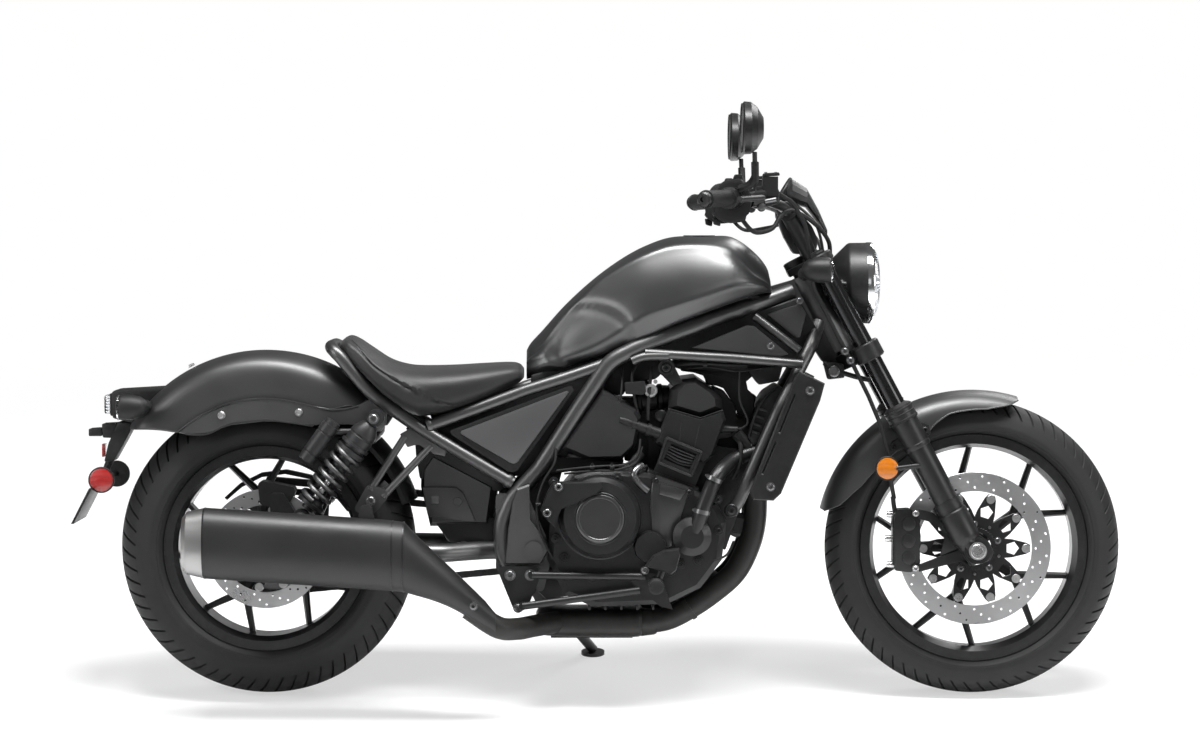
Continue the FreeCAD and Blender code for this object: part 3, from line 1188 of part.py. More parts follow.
FRONT_POD_SHARES = (1141, 916)
FRONT_STEM_SHARES = [(1165, 912), (1190, 905)]
EAR_Y = 98.0
EAR_BOLT_SHARES = (1262, 886)
EAR_BOLT_SHARE = 0.9
EAR_THICK = 6.0
EAR_SHARES = [(1188, 926), (1200, 860), (1222, 846), (1276, 866), (1282, 894), (1228, 930)]
# Place, low edge, high edge and half width share of the instrument cowl's rings
COWL_RING_SHARES = [
    (1117, 1070, 1090, 0.7), (1128, 1058, 1112, 0.96), (1160, 1048, 1091, 1.0), (1186, 1014, 1044, 0.8),
    (1205, 990, 1002, 0.4),
]

# Handlebar and its controls
BAR_RADIUS = 11.0
GRIP_RADIUS = 17.0
BAR_BEND = 60.0
GRIP_IN = (991, 1067)
GRIP_OUT = (931, 1063)
GRIP_IN_Y = 290.0
GRIP_OUT_Y = 417.0
BAR_SHARES = [(1116, 1041, 0.0), (1116, 1041, 0.2), (1098, 1052, 0.36), (1040, 1070, 0.56)]
RISER_RADIUS = 16.0
RISER_Y = 32.0


def bar_pieces():
    half = [at(x, z, -GRIP_OUT_Y * share) for x, z, share in BAR_SHARES[1:]]
    half += [at(*GRIP_IN, -GRIP_IN_Y), at(*GRIP_OUT, -GRIP_OUT_Y)]
    whole = [Vector(p.x, -p.y, p.z) for p in reversed(half)] + half
    bar = tube(whole, BAR_RADIUS, BAR_BEND)
    foot = steer(FORK_OFFSET * THIN_SHARE, -RISER_Y, TOP_CLAMP)
    head = at(*BAR_SHARES[0][:2], -RISER_Y)
    up = (head - foot).normalize()
    ahead = up.cross(ACROSS) * RISER_RADIUS * THIN_SHARE
    across = ACROSS * RISER_RADIUS
    corners = [foot - ahead - across, foot + ahead - across, foot + ahead + across, foot - ahead + across]
    riser = Part.Face(Part.makePolygon(corners + [foot - ahead - across]))
    riser = riser.extrude(up * ((head - foot).Length + RISER_RADIUS * THIN_SHARE))
    bore = cross_rod(*BAR_SHARES[0][:2], -FORK_Y, FORK_Y, BAR_RADIUS + FIT)
    riser = riser.cut(bore)
    keep("fork_clamps", join([nodes["fork_clamps"][0], riser, mirrored(riser)]), *nodes["fork_clamps"][1:])
    keep("handlebar", bar)
    grip_in = at(*GRIP_IN, -GRIP_IN_Y)
    grip_out = at(*GRIP_OUT, -GRIP_OUT_Y)
    along = (grip_out - grip_in).normalize()
    grip = rod(grip_in, grip_out, GRIP_RADIUS)
    weight = rod(grip_out, grip_out + along * BAR_END_LENGTH, GRIP_RADIUS * WEIGHT_SHARE)
    keep("grips", *pair(without(join([grip, weight]), nodes["handlebar"])))
    housing = rod(grip_in - along * HOUSING_LENGTH, grip_in - along * CLEARANCE, HOUSING_RADIUS)
    cylinder_from = at(*CYLINDER_END_SHARES, -CYLINDER_END_Y)
    low = cylinder_from - Vector(OIL_TANK_HALF_X, OIL_TANK_HALF_Y, OIL_TANK_DROP)
    high = cylinder_from + Vector(OIL_TANK_HALF_X, OIL_TANK_HALF_Y, OIL_TANK_RISE)
    oil_tank = block(low, high)
    grip_side = grip_in - along * HOUSING_LENGTH / 2
    body = rod(cylinder_from, grip_side + Vector(BODY_AHEAD, 0, 0), HAND_CYLINDER_RADIUS)
    lever = tube([
        grip_side + Vector(LEVER_ROOT, 0, 0), grip_in + Vector(LEVER_KNEE, -LEVER_KNEE_OUT, 0),
        grip_out + Vector(LEVER_TIP, LEVER_TIP_IN, 0),
    ], LEVER_RADIUS, BAR_BEND)
    link = rod(grip_side, grip_side + Vector(LEVER_ROOT, 0, 0), BRACKET_TUBE)
    controls = join([housing, oil_tank, body, lever, link])
    keep("bar_controls", *pair(without(controls, nodes["handlebar"] + nodes["grips"])))
    route = [grip_side + Vector(0, 0, MIRROR_ROOT)] + [at(*entry) for entry in MIRROR_STEM_SHARES]
    stem = tube(route, MIRROR_STEM, BAR_BEND)
    middle = at(*MIRROR_SHARES, -MIRROR_Y)
    rings = []
    for along, share in MIRROR_RING_SHARES:
        centre = middle + Vector(MIRROR_THICK * along, 0, 0)
        reach = Vector(0, MIRROR_WIDTH / 2 * share, 0)
        rise = Vector(0, 0, MIRROR_HEIGHT / 2 * share)
        rings.append(Part.Wire(Part.Ellipse(centre + reach, centre + rise, centre).toShape()))
    oval = ruled(rings)
    mirror_solid = join([oval, stem])
    keep("mirrors", *pair(without(mirror_solid, nodes["bar_controls"] + nodes["handlebar"])))


CYLINDER_END_SHARES = (1072, 1078)
CYLINDER_END_Y = 217.0
OIL_TANK_HALF_X = 16.0
OIL_TANK_HALF_Y = 22.0
OIL_TANK_DROP = 6.0
OIL_TANK_RISE = 34.0
BODY_AHEAD = 20.0
HAND_CYLINDER_RADIUS = 10.5
LEVER_ROOT = 35.0
LEVER_KNEE = 66.0
LEVER_KNEE_OUT = 20.0
LEVER_TIP = 70.0
LEVER_TIP_IN = 10.0
LEVER_RADIUS = 6.5
MIRROR_ROOT = 10.0
MIRROR_STEM = 5.0
MIRROR_STEM_SHARES = [(1036, 1108, -330), (1034, 1160, -345)]
WEIGHT_SHARE = 0.9
BAR_END_LENGTH = 14.0
HOUSING_LENGTH = 44.0
HOUSING_RADIUS = 22.0
MIRROR_THICK = 43.0
MIRROR_SHARES = (1030, 1210)
MIRROR_Y = 350.0
MIRROR_RING_SHARES = [(-0.5, 0.93), (-0.42, 1.0), (-0.1, 0.98), (0.2, 0.8), (0.5, 0.4)]
MIRROR_WIDTH = 150.0
MIRROR_HEIGHT = 109.0


def front_trim():
    cowl = ruled([
        facet_ring(x, low, high, COWL_HALF * share, SEAT_FULLNESS) for x, low, high, share in COWL_RING_SHARES
    ])
    keep("meter_cowl", without(cowl, nodes["fork_clamps"] + nodes["handlebar"]))
    front = fender(FRONT_HUB, FRONT_FENDER_RADIUS, FRONT_FENDER_HALF, FRONT_FENDER_DROP, FRONT_FENDER_FROM,
                   FRONT_FENDER_TO)
    keep("front_fender", without(front, nodes["fork_sliders"] + nodes["fork_tubes"]))
    caliper = plate(CALIPER_SHARES, -DISC_Y - CALIPER_HALF, -DISC_Y + CALIPER_HALF, STRUT_TUBE)
    hanger = plate(BRACKET_Y_SHARES, -FORK_Y - SLIDER_RADIUS * HANGER_SHARE, -DISC_Y - DISC_GAP, STRUT_TUBE)
    slot = rod(FRONT_HUB - ACROSS * (DISC_Y - DISC_GAP), FRONT_HUB - ACROSS * (DISC_Y + DISC_GAP),
               FRONT_DISC_RADIUS + CALIPER_SLOT)
    body = join([caliper, hanger]).cut(slot)
    keep("front_caliper", without(body, nodes["fork_sliders"] + nodes["front_axle"]))
    face_y = -FORK_Y - SLIDER_RADIUS
    half = REFLECTOR_THICK / 2
    disc = cross_rod(*REFLECTOR_SHARES, face_y - half, face_y + half, REFLECTOR_RADIUS)
    stem = rod(at(*REFLECTOR_SHARES, face_y), at(*REFLECTOR_FOOT_SHARES, -FORK_Y), REFLECTOR_STEM)
    keep("fork_reflectors", *pair(without(join([disc, stem]), nodes["fork_sliders"])))


REFLECTOR_SHARES = (1322, 494)
REFLECTOR_FOOT_SHARES = (1420, 494)
REFLECTOR_RADIUS = 25.0
REFLECTOR_THICK = 8.0
REFLECTOR_STEM = 5.0

HANGER_SHARE = 0.6

# Front brake hose: from the hand cylinder down behind the right fork leg to the caliper
HOSE_PIPE = 4.5
HOSE_BEND = 60.0
HOSE_TOP_SHARES = [(1088, 1078, -216), (1122, 1058, -196), (1150, 1010, -160)]
# Ahead of the steering axis, across and up along it
HOSE_STEER_SHARES = [
    (6, -124, 660), (4, -118, 560), (4, -118, 470), (2, -116, 400), (-4, -114, 330), (-20, -108, 262),
    (-40, -96, 214), (-50, -78, 178),
]


def hose_pieces():
    points = [at(x, z, y) for x, z, y in HOSE_TOP_SHARES] + [steer(*entry) for entry in HOSE_STEER_SHARES]
    hose = tube(points, HOSE_PIPE, HOSE_BEND)
    solids = nodes["bar_controls"] + nodes["front_caliper"] + nodes["fork_sliders"]
    keep("brake_hose", without(hose, solids).Solids[0])


CALIPER_SHARES = [(1339, 406), (1372, 406), (1380, 350), (1376, 299), (1348, 299), (1332, 350)]
BRACKET_Y_SHARES = [(1372, 396), (1440, 380), (1500, 350), (1512, 300), (1420, 330), (1374, 310)]

# Side stand
STAND_PIVOT_SHARES = (604, 180)
STAND_Y = 130.0
STAND_FOOT = (96.0, 150.0)
STAND_RADIUS = 11.0


def ground_height(y):
    return y * math.tan(math.radians(LEAN))


def stand_pieces():
    pivot = at(*STAND_PIVOT_SHARES, STAND_Y)
    foot_y = STAND_Y + STAND_FOOT[1]
    pad_centre = Vector(pivot.x + STAND_FOOT[0], foot_y, ground_height(foot_y))
    ground_up = Vector(0, -math.sin(math.radians(LEAN)), math.cos(math.radians(LEAN)))
    leg = rod(pivot + STAND_AXIS * STAND_EYE, pad_centre + ground_up * STAND_RADIUS, STAND_RADIUS)
    pad = Part.makeCylinder(PAD_RADIUS, PAD_THICK, pad_centre, ground_up)
    eye = rod(pivot - STAND_AXIS * STAND_EYE, pivot + STAND_AXIS * STAND_EYE, STAND_EYE_RADIUS)
    keep("side_stand", join([leg, pad, eye]))
    boss = rod(pivot - STAND_AXIS * (STAND_EYE + CLEARANCE), pivot - STAND_AXIS * STAND_BOSS, STAND_RADIUS)
    hanger = plate(STAND_PLATE_SHARES, STAND_PLATE_Y - PLATE_THICK, STAND_PLATE_Y + PLATE_THICK, STRUT_TUBE)
    solids = nodes["crankcase"] + nodes["frame_main"] + nodes["rider_pegs"]
    keep("frame_brackets", *nodes["frame_brackets"], without(join([boss, hanger]), solids))


PAD_THICK = 7.0
PAD_RADIUS = 26.0
STAND_EYE = 12.0
STAND_EYE_RADIUS = 17.6
STAND_BOSS = 31.2
STAND_PLATE_Y = 104.0
STAND_PLATE_SHARES = [(552, 232), (596, 238), (622, 178), (604, 158), (584, 164)]
STAND_AXIS = Vector(0.16, 0.86, 0.48).normalize()


def wheel_pieces():
    front = cast_wheel(FRONT_HUB, FRONT_RIM_RADIUS, FRONT_RIM_WIDTH, FRONT_HUB_WIDTH, FRONT_ARM_ANGLE,
                       FRONT_RIM_RADIUS - RIM_BAND, FRONT_AXLE_RADIUS + FIT)
    keep("front_wheel_rim", front)
    rear = cast_wheel(REAR_HUB, REAR_RIM_RADIUS, REAR_RIM_WIDTH, REAR_HUB_WIDTH, REAR_ARM_ANGLE,
                      REAR_RIM_RADIUS - RIM_BAND, AXLE_RADIUS + FIT)
    keep("rear_wheel_rim", rear)
    keep("front_tyre", tyre(FRONT_HUB, FRONT_TYRE_WIDTH, FRONT_CROWN, FRONT_RIM_RADIUS, FRONT_RIM_WIDTH))
    keep("rear_tyre", tyre(REAR_HUB, REAR_TYRE_WIDTH, REAR_CROWN, REAR_RIM_RADIUS, REAR_RIM_WIDTH))
    disc = brake_disc(FRONT_HUB, -DISC_Y, FRONT_DISC_RADIUS, FRONT_DISC_INNER, HUB_RADIUS, 0)
    keep("front_disc", without(disc, nodes["front_wheel_rim"]))
    disc = brake_disc(REAR_HUB, -REAR_DISC_Y, REAR_DISC_RADIUS, REAR_DISC_INNER, HUB_RADIUS, 0)
    keep("rear_disc", without(disc, nodes["rear_wheel_rim"]))
    centre = Vector(0, CHAIN_Y - SPROCKET_THICK / 2, REAR_AXLE_Z)
    sprocket = rod(centre, centre + ACROSS * SPROCKET_THICK, SPROCKET_RADIUS - CHAIN_GAP)
    carrier = rod(Vector(0, REAR_HUB_WIDTH / 2, REAR_AXLE_Z), centre, SPROCKET_RADIUS * THIN_SHARE)
    bore = rod(REAR_HUB, REAR_HUB + ACROSS * CHAIN_Y * 2, AXLE_RADIUS + FIT)
    keep("rear_sprocket", join([sprocket, carrier]).cut(bore).cut(nodes["rear_wheel_rim"][0]))


# Lean every piece, then bring the middle of the footprint to the origin
def lean_and_export():
    lean = FreeCAD.Rotation(Vector(1, 0, 0), -LEAN)
    turn = FreeCAD.Placement(Vector(0, 0, 0), lean)
    leaned = {}
    for name, solids in nodes.items():
        shape = Part.Compound([piece for solid in solids for piece in solid.Solids])
        leaned[name] = shape.transformed(turn.toMatrix(), True)
    whole = FreeCAD.BoundBox()
    for shape in leaned.values():
        whole.add(shape.optimalBoundingBox(False, False))
    shift = Vector(-whole.Center.x, -whole.Center.y, 0)
    os.makedirs("parts", exist_ok=True)
    for name, shape in leaned.items():
        shape.translate(shift)
        export = shape.Solids[0] if len(shape.Solids) == 1 else shape
        export.exportStep("parts/" + name + ".step")

    def row(label, point, axis):
        spot = turn.multVec(point) + shift
        way = lean.multVec(axis)
        print(label, [round(v / 1000, 6) for v in spot], [round(v, 6) for v in way])

    extents = (whole.XLength, whole.YLength, whole.ZLength)
    print("lowest", round(whole.ZMin, 3), "size", [round(v, 1) for v in extents])
    row("rear_axle", REAR_HUB, ACROSS)
    row("front_axle", FRONT_HUB, ACROSS)
    row("steering", steer(0, 0, HEAD_LOW), STEER_UP)
    row("stand", at(*STAND_PIVOT_SHARES, STAND_Y), STAND_AXIS)
    hinge = at(CAP_SHARES[0], CAP_SHARES[1]) + Vector(CAP_RADIUS, 0, CAP_HEIGHT)
    row("cap_hinge", hinge, ACROSS)
    for name, side in (("grip_right", 1), ("grip_left", -1)):
        inner = at(*GRIP_IN, -side * GRIP_IN_Y)
        outer = at(*GRIP_OUT, -side * GRIP_OUT_Y)
        row(name, (inner + outer) / 2, (outer - inner).normalize())
    length = (at(*GRIP_OUT, GRIP_OUT_Y) - at(*GRIP_IN, GRIP_IN_Y)).Length
    print("grip_len", [round(length, 3)], [0])


frame_pieces()
tank_pieces()
seat_pieces()
fender_pieces()
tail_pieces()
swingarm_pieces()
shock_pieces()
engine_pieces()
cover_pieces()
exhaust_pieces()
cover_panels()
chain_pieces()
foot_pieces()
brake_pieces()
fork_pieces()
lamp_pieces()
bar_pieces()
front_trim()
hose_pieces()
wheel_pieces()
stand_pieces()
lean_and_export()
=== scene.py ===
import json
import math

import bmesh
import bpy
from mathutils import Matrix, Vector


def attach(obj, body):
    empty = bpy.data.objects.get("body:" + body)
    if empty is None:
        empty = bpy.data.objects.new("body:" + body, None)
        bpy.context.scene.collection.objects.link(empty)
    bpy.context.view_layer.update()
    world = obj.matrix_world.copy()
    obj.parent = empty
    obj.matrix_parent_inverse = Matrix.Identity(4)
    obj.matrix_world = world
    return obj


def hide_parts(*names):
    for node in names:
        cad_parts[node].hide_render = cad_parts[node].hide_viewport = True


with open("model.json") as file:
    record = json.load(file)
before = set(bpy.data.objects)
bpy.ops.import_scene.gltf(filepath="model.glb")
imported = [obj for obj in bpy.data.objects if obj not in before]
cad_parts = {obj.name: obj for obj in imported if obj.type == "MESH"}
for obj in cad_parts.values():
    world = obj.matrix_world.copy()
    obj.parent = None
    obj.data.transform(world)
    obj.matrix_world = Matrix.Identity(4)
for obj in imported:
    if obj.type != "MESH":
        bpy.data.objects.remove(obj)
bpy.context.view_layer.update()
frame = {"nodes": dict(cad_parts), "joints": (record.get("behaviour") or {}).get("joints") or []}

scene = bpy.context.scene

# The machine's own upright frame: x forward from the rear axle, y left, z up, in metres
joints = {j["name"]: j for j in frame["joints"]}
rearSpin = joints["rear_wheel_spin"]
frontSpin = joints["front_wheel_spin"]
acrossAxis = Vector(rearSpin["axis"]).normalized()
leanAngle = math.atan2(-acrossAxis.z, acrossAxis.y)
leanTurn = Matrix.Rotation(-leanAngle, 4, "X")
axleHeight = 0.3195
frontAxleHeight = 0.3191
wheelBase = frontSpin["pos_m"][0] - rearSpin["pos_m"][0]
uprightShift = Vector(rearSpin["pos_m"]) - leanTurn @ Vector((0, 0, axleHeight))
fromUpright = Matrix.Translation(uprightShift) @ leanTurn
toUpright = fromUpright.inverted()
print("frame loaded, lean", round(math.degrees(leanAngle), 2), "degrees")


# Measured places were taken with the rear axle at 318 mm
photoLift = (axleHeight - 0.318) * 1000


# Point from side-view millimetres, in the upright metres that the mesh helpers use
def place(x, z, y=0.0):
    return Vector((x, y, z + photoLift)) / 1000


# Steering axis in upright millimetres: forward of the axis, left, up along it
rakeAngle = math.radians(28)
steerFoot = Vector((1.47349, 0, 0.29435))
steerUp = Vector((-math.sin(rakeAngle), 0, math.cos(rakeAngle)))
steerAhead = Vector((math.cos(rakeAngle), 0, math.sin(rakeAngle)))


def steerPoint(ahead, y, up):
    return steerFoot + steerAhead * (ahead / 1000) + steerUp * (up / 1000) + Vector((0, y / 1000, 0))


acrossWay = Vector((0, 1, 0))
forward = Vector((1, 0, 0))


# Mesh helpers: all of them take points in upright metres and turn them into the scene
def makePiece(name, bm, angle=35):
    bmesh.ops.recalc_face_normals(bm, faces=bm.faces)
    mesh = bpy.data.meshes.new(name)
    bm.to_mesh(mesh)
    bm.free()
    mesh.transform(fromUpright)
    mesh.shade_smooth()
    mesh.set_sharp_from_angle(angle=math.radians(angle))
    piece = bpy.data.objects.new(name, mesh)
    scene.collection.objects.link(piece)
    return piece


def finishPiece(piece, body, material, replaces=None):
    piece.data.materials.clear()
    piece.data.materials.append(material)
    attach(piece, body)
    if replaces:
        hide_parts(*replaces)
    return piece


def frameAlong(direction):
    along = direction.normalized()
    side = along.cross(Vector((0, 0, 1)))
    if side.length < 1e-4:
        side = Vector((1, 0, 0))
    side.normalize()
    return along, side, side.cross(along)


# Round ring of points about a place, its radius in millimetres
def roundRing(bm, centre, side, up, radius, turns):
    return [bm.verts.new(centre + (side * math.cos(t) + up * math.sin(t)) * (radius / 1000)) for t in turns]


def evenTurns(count):
    return [math.tau * i / count for i in range(count)]


# Turned form from (along, out) pairs in millimetres
def addLathe(bm, profile, centre, direction, segments=48):
    along, side, up = frameAlong(direction)
    rings = []
    for a, r in profile:
        base = centre + along * (a / 1000)
        rings.append(roundRing(bm, base, side, up, r, evenTurns(segments)) if r > 0 else [bm.verts.new(base)])
    for first, second in zip(rings, rings[1:]):
        for i in range(segments):
            j = (i + 1) % segments
            if len(first) == 1 and len(second) == 1:
                continue
            if len(first) == 1:
                bm.faces.new((first[0], second[i], second[j]))
            elif len(second) == 1:
                bm.faces.new((first[i], second[0], first[j]))
            else:
                bm.faces.new((first[i], second[i], second[j], first[j]))


# Round bar or hose through points, smoothed along a curve
def addTube(bm, points, radius, segments=12, steps=8):
    route = smoothRoute(points, steps)
    along, side, up = frameAlong(route[1] - route[0])
    rings = []
    for i, point in enumerate(route):
        ahead = route[min(i + 1, len(route) - 1)] - route[max(i - 1, 0)]
        ahead.normalize()
        side = (side - ahead * side.dot(ahead)).normalized()
        up = side.cross(ahead)
        rings.append(roundRing(bm, point, side, up, radius, evenTurns(segments)))
    bridgeRings(bm, rings)


# Closed skin over rings that have the same count, capped at both ends
def bridgeRings(bm, rings):
    for first, second in zip(rings, rings[1:]):
        for i in range(len(first)):
            j = (i + 1) % len(first)
            bm.faces.new((first[i], first[j], second[j], second[i]))
    bm.faces.new(rings[0][::-1])
    bm.faces.new(rings[-1])


def smoothRoute(points, steps):
    if len(points) < 3 or steps < 2:
        return points
    route = []
    for i in range(len(points) - 1):
        p0 = points[max(i - 1, 0)]
        p1, p2 = points[i], points[i + 1]
        p3 = points[min(i + 2, len(points) - 1)]
        for k in range(steps):
            t = k / steps
            route.append(0.5 * ((2 * p1) + (p2 - p0) * t + (2 * p0 - 5 * p1 + 4 * p2 - p3) * t * t
                + (3 * p1 - p0 - 3 * p2 + p3) * t ** 3))
    route.append(points[-1])
    return route


# Prism from corner points along a way, with a small bevel on its rims
def addPrism(bm, corners, way, bevel=0.0):
    near = [bm.verts.new(p) for p in corners]
    far = [bm.verts.new(p + way) for p in corners]
    faces = [bm.faces.new(near), bm.faces.new(far[::-1])]
    for i in range(len(corners)):
        j = (i + 1) % len(corners)
        faces.append(bm.faces.new((near[i], far[i], far[j], near[j])))
    if bevel > 0:
        edges = list({e for f in faces for e in f.edges})
        bmesh.ops.bevel(bm, geom=edges, offset=bevel / 1000, segments=2, affect="EDGES", profile=0.6)


# Plate from a side outline in upright millimetres
def addPlate(bm, outline, lowY, highY, bevel=0.0):
    addPrism(bm, [place(x, z, lowY) for x, z in outline], Vector((0, (highY - lowY) / 1000, 0)), bevel)


# The same plate on both sides of the machine
def addPlates(bm, outline, nearY, farY, bevel=0.0):
    for side in (-1, 1):
        addPlate(bm, outline, side * nearY, side * farY, bevel)


# Tube through (x, z, y) points in upright millimetres, mirrored for the side 1
def addRun(bm, points, radius, segments=12, steps=8, side=1):
    addTube(bm, [place(x, z, side * y) for x, z, y in points], radius, segments, steps)


# Turned form on the near side, from its middle in side view and its depth
def sideLathe(bm, profile, x, z, y, segments=24):
    addLathe(bm, profile, place(x, z, y), -acrossWay, segments)


# Socket headed bolt on the near side
def sideBolt(bm, x, z, y, radius, height, washer=True):
    addBolt(bm, place(x, z, y), -acrossWay, radius, height, washer, True)


# Hex headed bolt, its head standing out along a direction
def addBolt(bm, centre, direction, radius=6.0, height=5.0, washer=True, socket=False):
    along, side, up = frameAlong(direction)
    if washer:
        addLathe(bm, [(0, 0), (0, radius * 1.35), (height * 0.25, radius * 1.35), (height * 0.25, 0)], centre, along,
            20)
    sides = 24 if socket else 6
    start = centre + along * (height * 0.2 / 1000)
    rings = []
    for a, r in ((0, radius), (height * 0.8, radius), (height, radius * 0.82)):
        rings.append(roundRing(bm, start + along * (a / 1000), side, up, r, evenTurns(sides)))
    if socket:
        hexTurns = [math.tau * (k // 4) / 6 for k in range(sides)]
        for a, r in ((height, radius * 0.5), (height * 0.4, radius * 0.45)):
            rings.append(roundRing(bm, start + along * (a / 1000), side, up, r, hexTurns))
    for first, second in zip(rings, rings[1:]):
        for i in range(sides):
            j = (i + 1) % sides
            try:
                bm.faces.new((first[i], second[i], second[j], first[j]))
            except ValueError:
                pass
    bm.faces.new(rings[0])
    if not socket:
        bm.faces.new(rings[-1][::-1])


# Flat plate in side view from closed outlines, the first one its rim and the rest its holes
def addCutPlate(bm, outlines, middleY, thick, bevel=0.3):
    curve = bpy.data.curves.new("cutPlate", "CURVE")
    curve.dimensions = "2D"
    curve.fill_mode = "BOTH"
    curve.extrude = (thick / 2 - bevel) / 1000
    curve.bevel_depth = bevel / 1000
    curve.bevel_resolution = 0
    for outline in outlines:
        spline = curve.splines.new("POLY")
        spline.points.add(len(outline) - 1)
        for point, (x, z) in zip(spline.points, outline):
            point.co = (x / 1000, z / 1000, 0, 1)
        spline.use_cyclic_u = True
    holder = bpy.data.objects.new("cutPlate", curve)
    scene.collection.objects.link(holder)
    bpy.context.view_layer.update()
    mesh = bpy.data.meshes.new_from_object(holder.evaluated_get(bpy.context.evaluated_depsgraph_get()))
    mesh.transform(Matrix(((1, 0, 0, 0), (0, 0, 1, middleY / 1000), (0, 1, 0, photoLift / 1000), (0, 0, 0, 1))))
    bm.from_mesh(mesh)
    bpy.data.objects.remove(holder)
    bpy.data.curves.remove(curve)
    bpy.data.meshes.remove(mesh)


def circle(x, z, radius, count=24, turn=0.0):
    return [(x + radius * math.cos(turn + math.tau * i / count), z + radius * math.sin(turn + math.tau * i / count))
        for i in range(count)]


# Point round a wheel's middle in side view, from degrees and a radius in millimetres
def around(centre, degrees, radius):
    return (centre[0] + radius * math.cos(math.radians(degrees)), centre[1] + radius * math.sin(math.radians(degrees)))


def lathePiece(name, profile, centre, direction, material, body, replaced=None, segments=64, angle=35):
    return builtPiece(name, lambda bm: addLathe(bm, profile, centre, direction, segments), material, body,
        replaced, angle)


# One piece from a routine that fills its mesh
def builtPiece(name, fill, material, body, replaced=None, angle=35):
    bm = bmesh.new()
    fill(bm)
    piece = makePiece(name, bm, angle=angle)
    return finishPiece(piece, body, finishes[material], replaced)


# The same as a mark above the routine, which gives the piece its name
def built(material, body, slot, *replaced, angle=35):
    return lambda fill: builtPiece(fill.__name__, fill, material, body, replaced, angle)


# The same for a routine that is run for the right side, -1, and for the left, 1
def mirrored(*values, **named):
    def build(fill):
        def both(bm):
            for side in (-1, 1):
                fill(bm, side)

        both.__name__ = fill.__name__
        return built(*values, **named)(both)

    return build


# Shader helpers: a small kit for node links
class Nodes:
    def __init__(self, tree):
        self.tree = tree

    def add(self, kind, **values):
        node = self.tree.nodes.new(kind)
        for key, value in values.items():
            if key.startswith("in_"):
                node.inputs[key[3:].replace("_", " ")].default_value = value
            else:
                setattr(node, key, value)
        return node

    def group(self, tree, **values):
        node = self.add("ShaderNodeGroup", node_tree=tree)
        for key, value in values.items():
            node.inputs[key.replace("_", " ")].default_value = value
        return node

    def link(self, source, target):
        self.tree.links.new(source, target)

    def noise(self, detail, roughness, scale=5.0):
        node = self.add("ShaderNodeTexNoise", in_Scale=scale, in_Detail=detail, in_Roughness=roughness)
        self.link(self.add("ShaderNodeTexCoord").outputs["Object"], node.inputs["Vector"])
        return node

    def bump(self, height, strength, distance, shader):
        node = self.add("ShaderNodeBump", in_Strength=strength, in_Distance=distance)
        self.link(height, node.inputs["Height"])
        self.link(node.outputs["Normal"], shader.inputs["Normal"])

    def math(self, operation, first, second=None, clamp=False):
        node = self.add("ShaderNodeMath", operation=operation, use_clamp=clamp)
        for index, value in enumerate((first, second)):
            if value is None:
                continue
            if isinstance(value, (int, float)):
                node.inputs[index].default_value = value
            else:
                self.link(value, node.inputs[index])
        return node.outputs[0]

    def ramp(self, source, low, high, fromMin=0.0, fromMax=1.0):
        node = self.add("ShaderNodeMapRange", in_From_Min=fromMin, in_From_Max=fromMax, in_To_Min=low, in_To_Max=high)
        self.link(source, node.inputs["Value"])
        return node.outputs["Result"]

    def mix(self, factor, first, second):
        node = self.add("ShaderNodeMix", data_type="RGBA")
        self.link(factor, node.inputs[0])
        for index, value in ((6, first), (7, second)):
            if isinstance(value, tuple):
                node.inputs[index].default_value = value + (1.0,) if len(value) == 3 else value
            else:
                self.link(value, node.inputs[index])
        return node.outputs[2]


def newGroup(name, inputs, outputs):
    tree = bpy.data.node_groups.new(name, "ShaderNodeTree")
    for label, kind, value in inputs:
        socket = tree.interface.new_socket(name=label, in_out="INPUT", socket_type=kind)
        socket.default_value = value
    for label, kind in outputs:
        tree.interface.new_socket(name=label, in_out="OUTPUT", socket_type=kind)
    kit = Nodes(tree)
    return tree, kit, tree.nodes.new("NodeGroupInput"), tree.nodes.new("NodeGroupOutput")


# Worn, brighter mask along edges that stand proud
def edgeWearGroup():
    tree, kit, start, end = newGroup("edgeWear", [("Amount", "NodeSocketFloat", 0.5),
        ("Scale", "NodeSocketFloat", 60.0)], [("Mask", "NodeSocketFloat")])
    geometry = kit.add("ShaderNodeNewGeometry")
    proud = kit.ramp(geometry.outputs["Pointiness"], 0.0, 1.0, 0.52, 0.60)
    noise = kit.noise(6.0, 0.65)
    kit.link(start.outputs["Scale"], noise.inputs["Scale"])
    broken = kit.ramp(noise.outputs["Fac"], 0.0, 1.0, 0.4, 0.6)
    kit.link(kit.math("MULTIPLY", kit.math("MULTIPLY", proud, broken), start.outputs["Amount"], True),
        end.inputs["Mask"])
    return tree


# Fine grain: a height for bump and a slow cloudy value for colour and gloss
def grainGroup():
    tree, kit, start, end = newGroup(
        "fineGrain", [("Scale", "NodeSocketFloat", 400.0), ("Cloud Scale", "NodeSocketFloat", 6.0)],
        [("Height", "NodeSocketFloat"), ("Cloud", "NodeSocketFloat")])
    for detail, roughness, socket, result in ((3.0, 0.55, "Scale", "Height"), (4.0, 0.5, "Cloud Scale", "Cloud")):
        noise = kit.noise(detail, roughness)
        kit.link(start.outputs[socket], noise.inputs["Scale"])
        kit.link(noise.outputs["Fac"], end.inputs[result])
    return tree


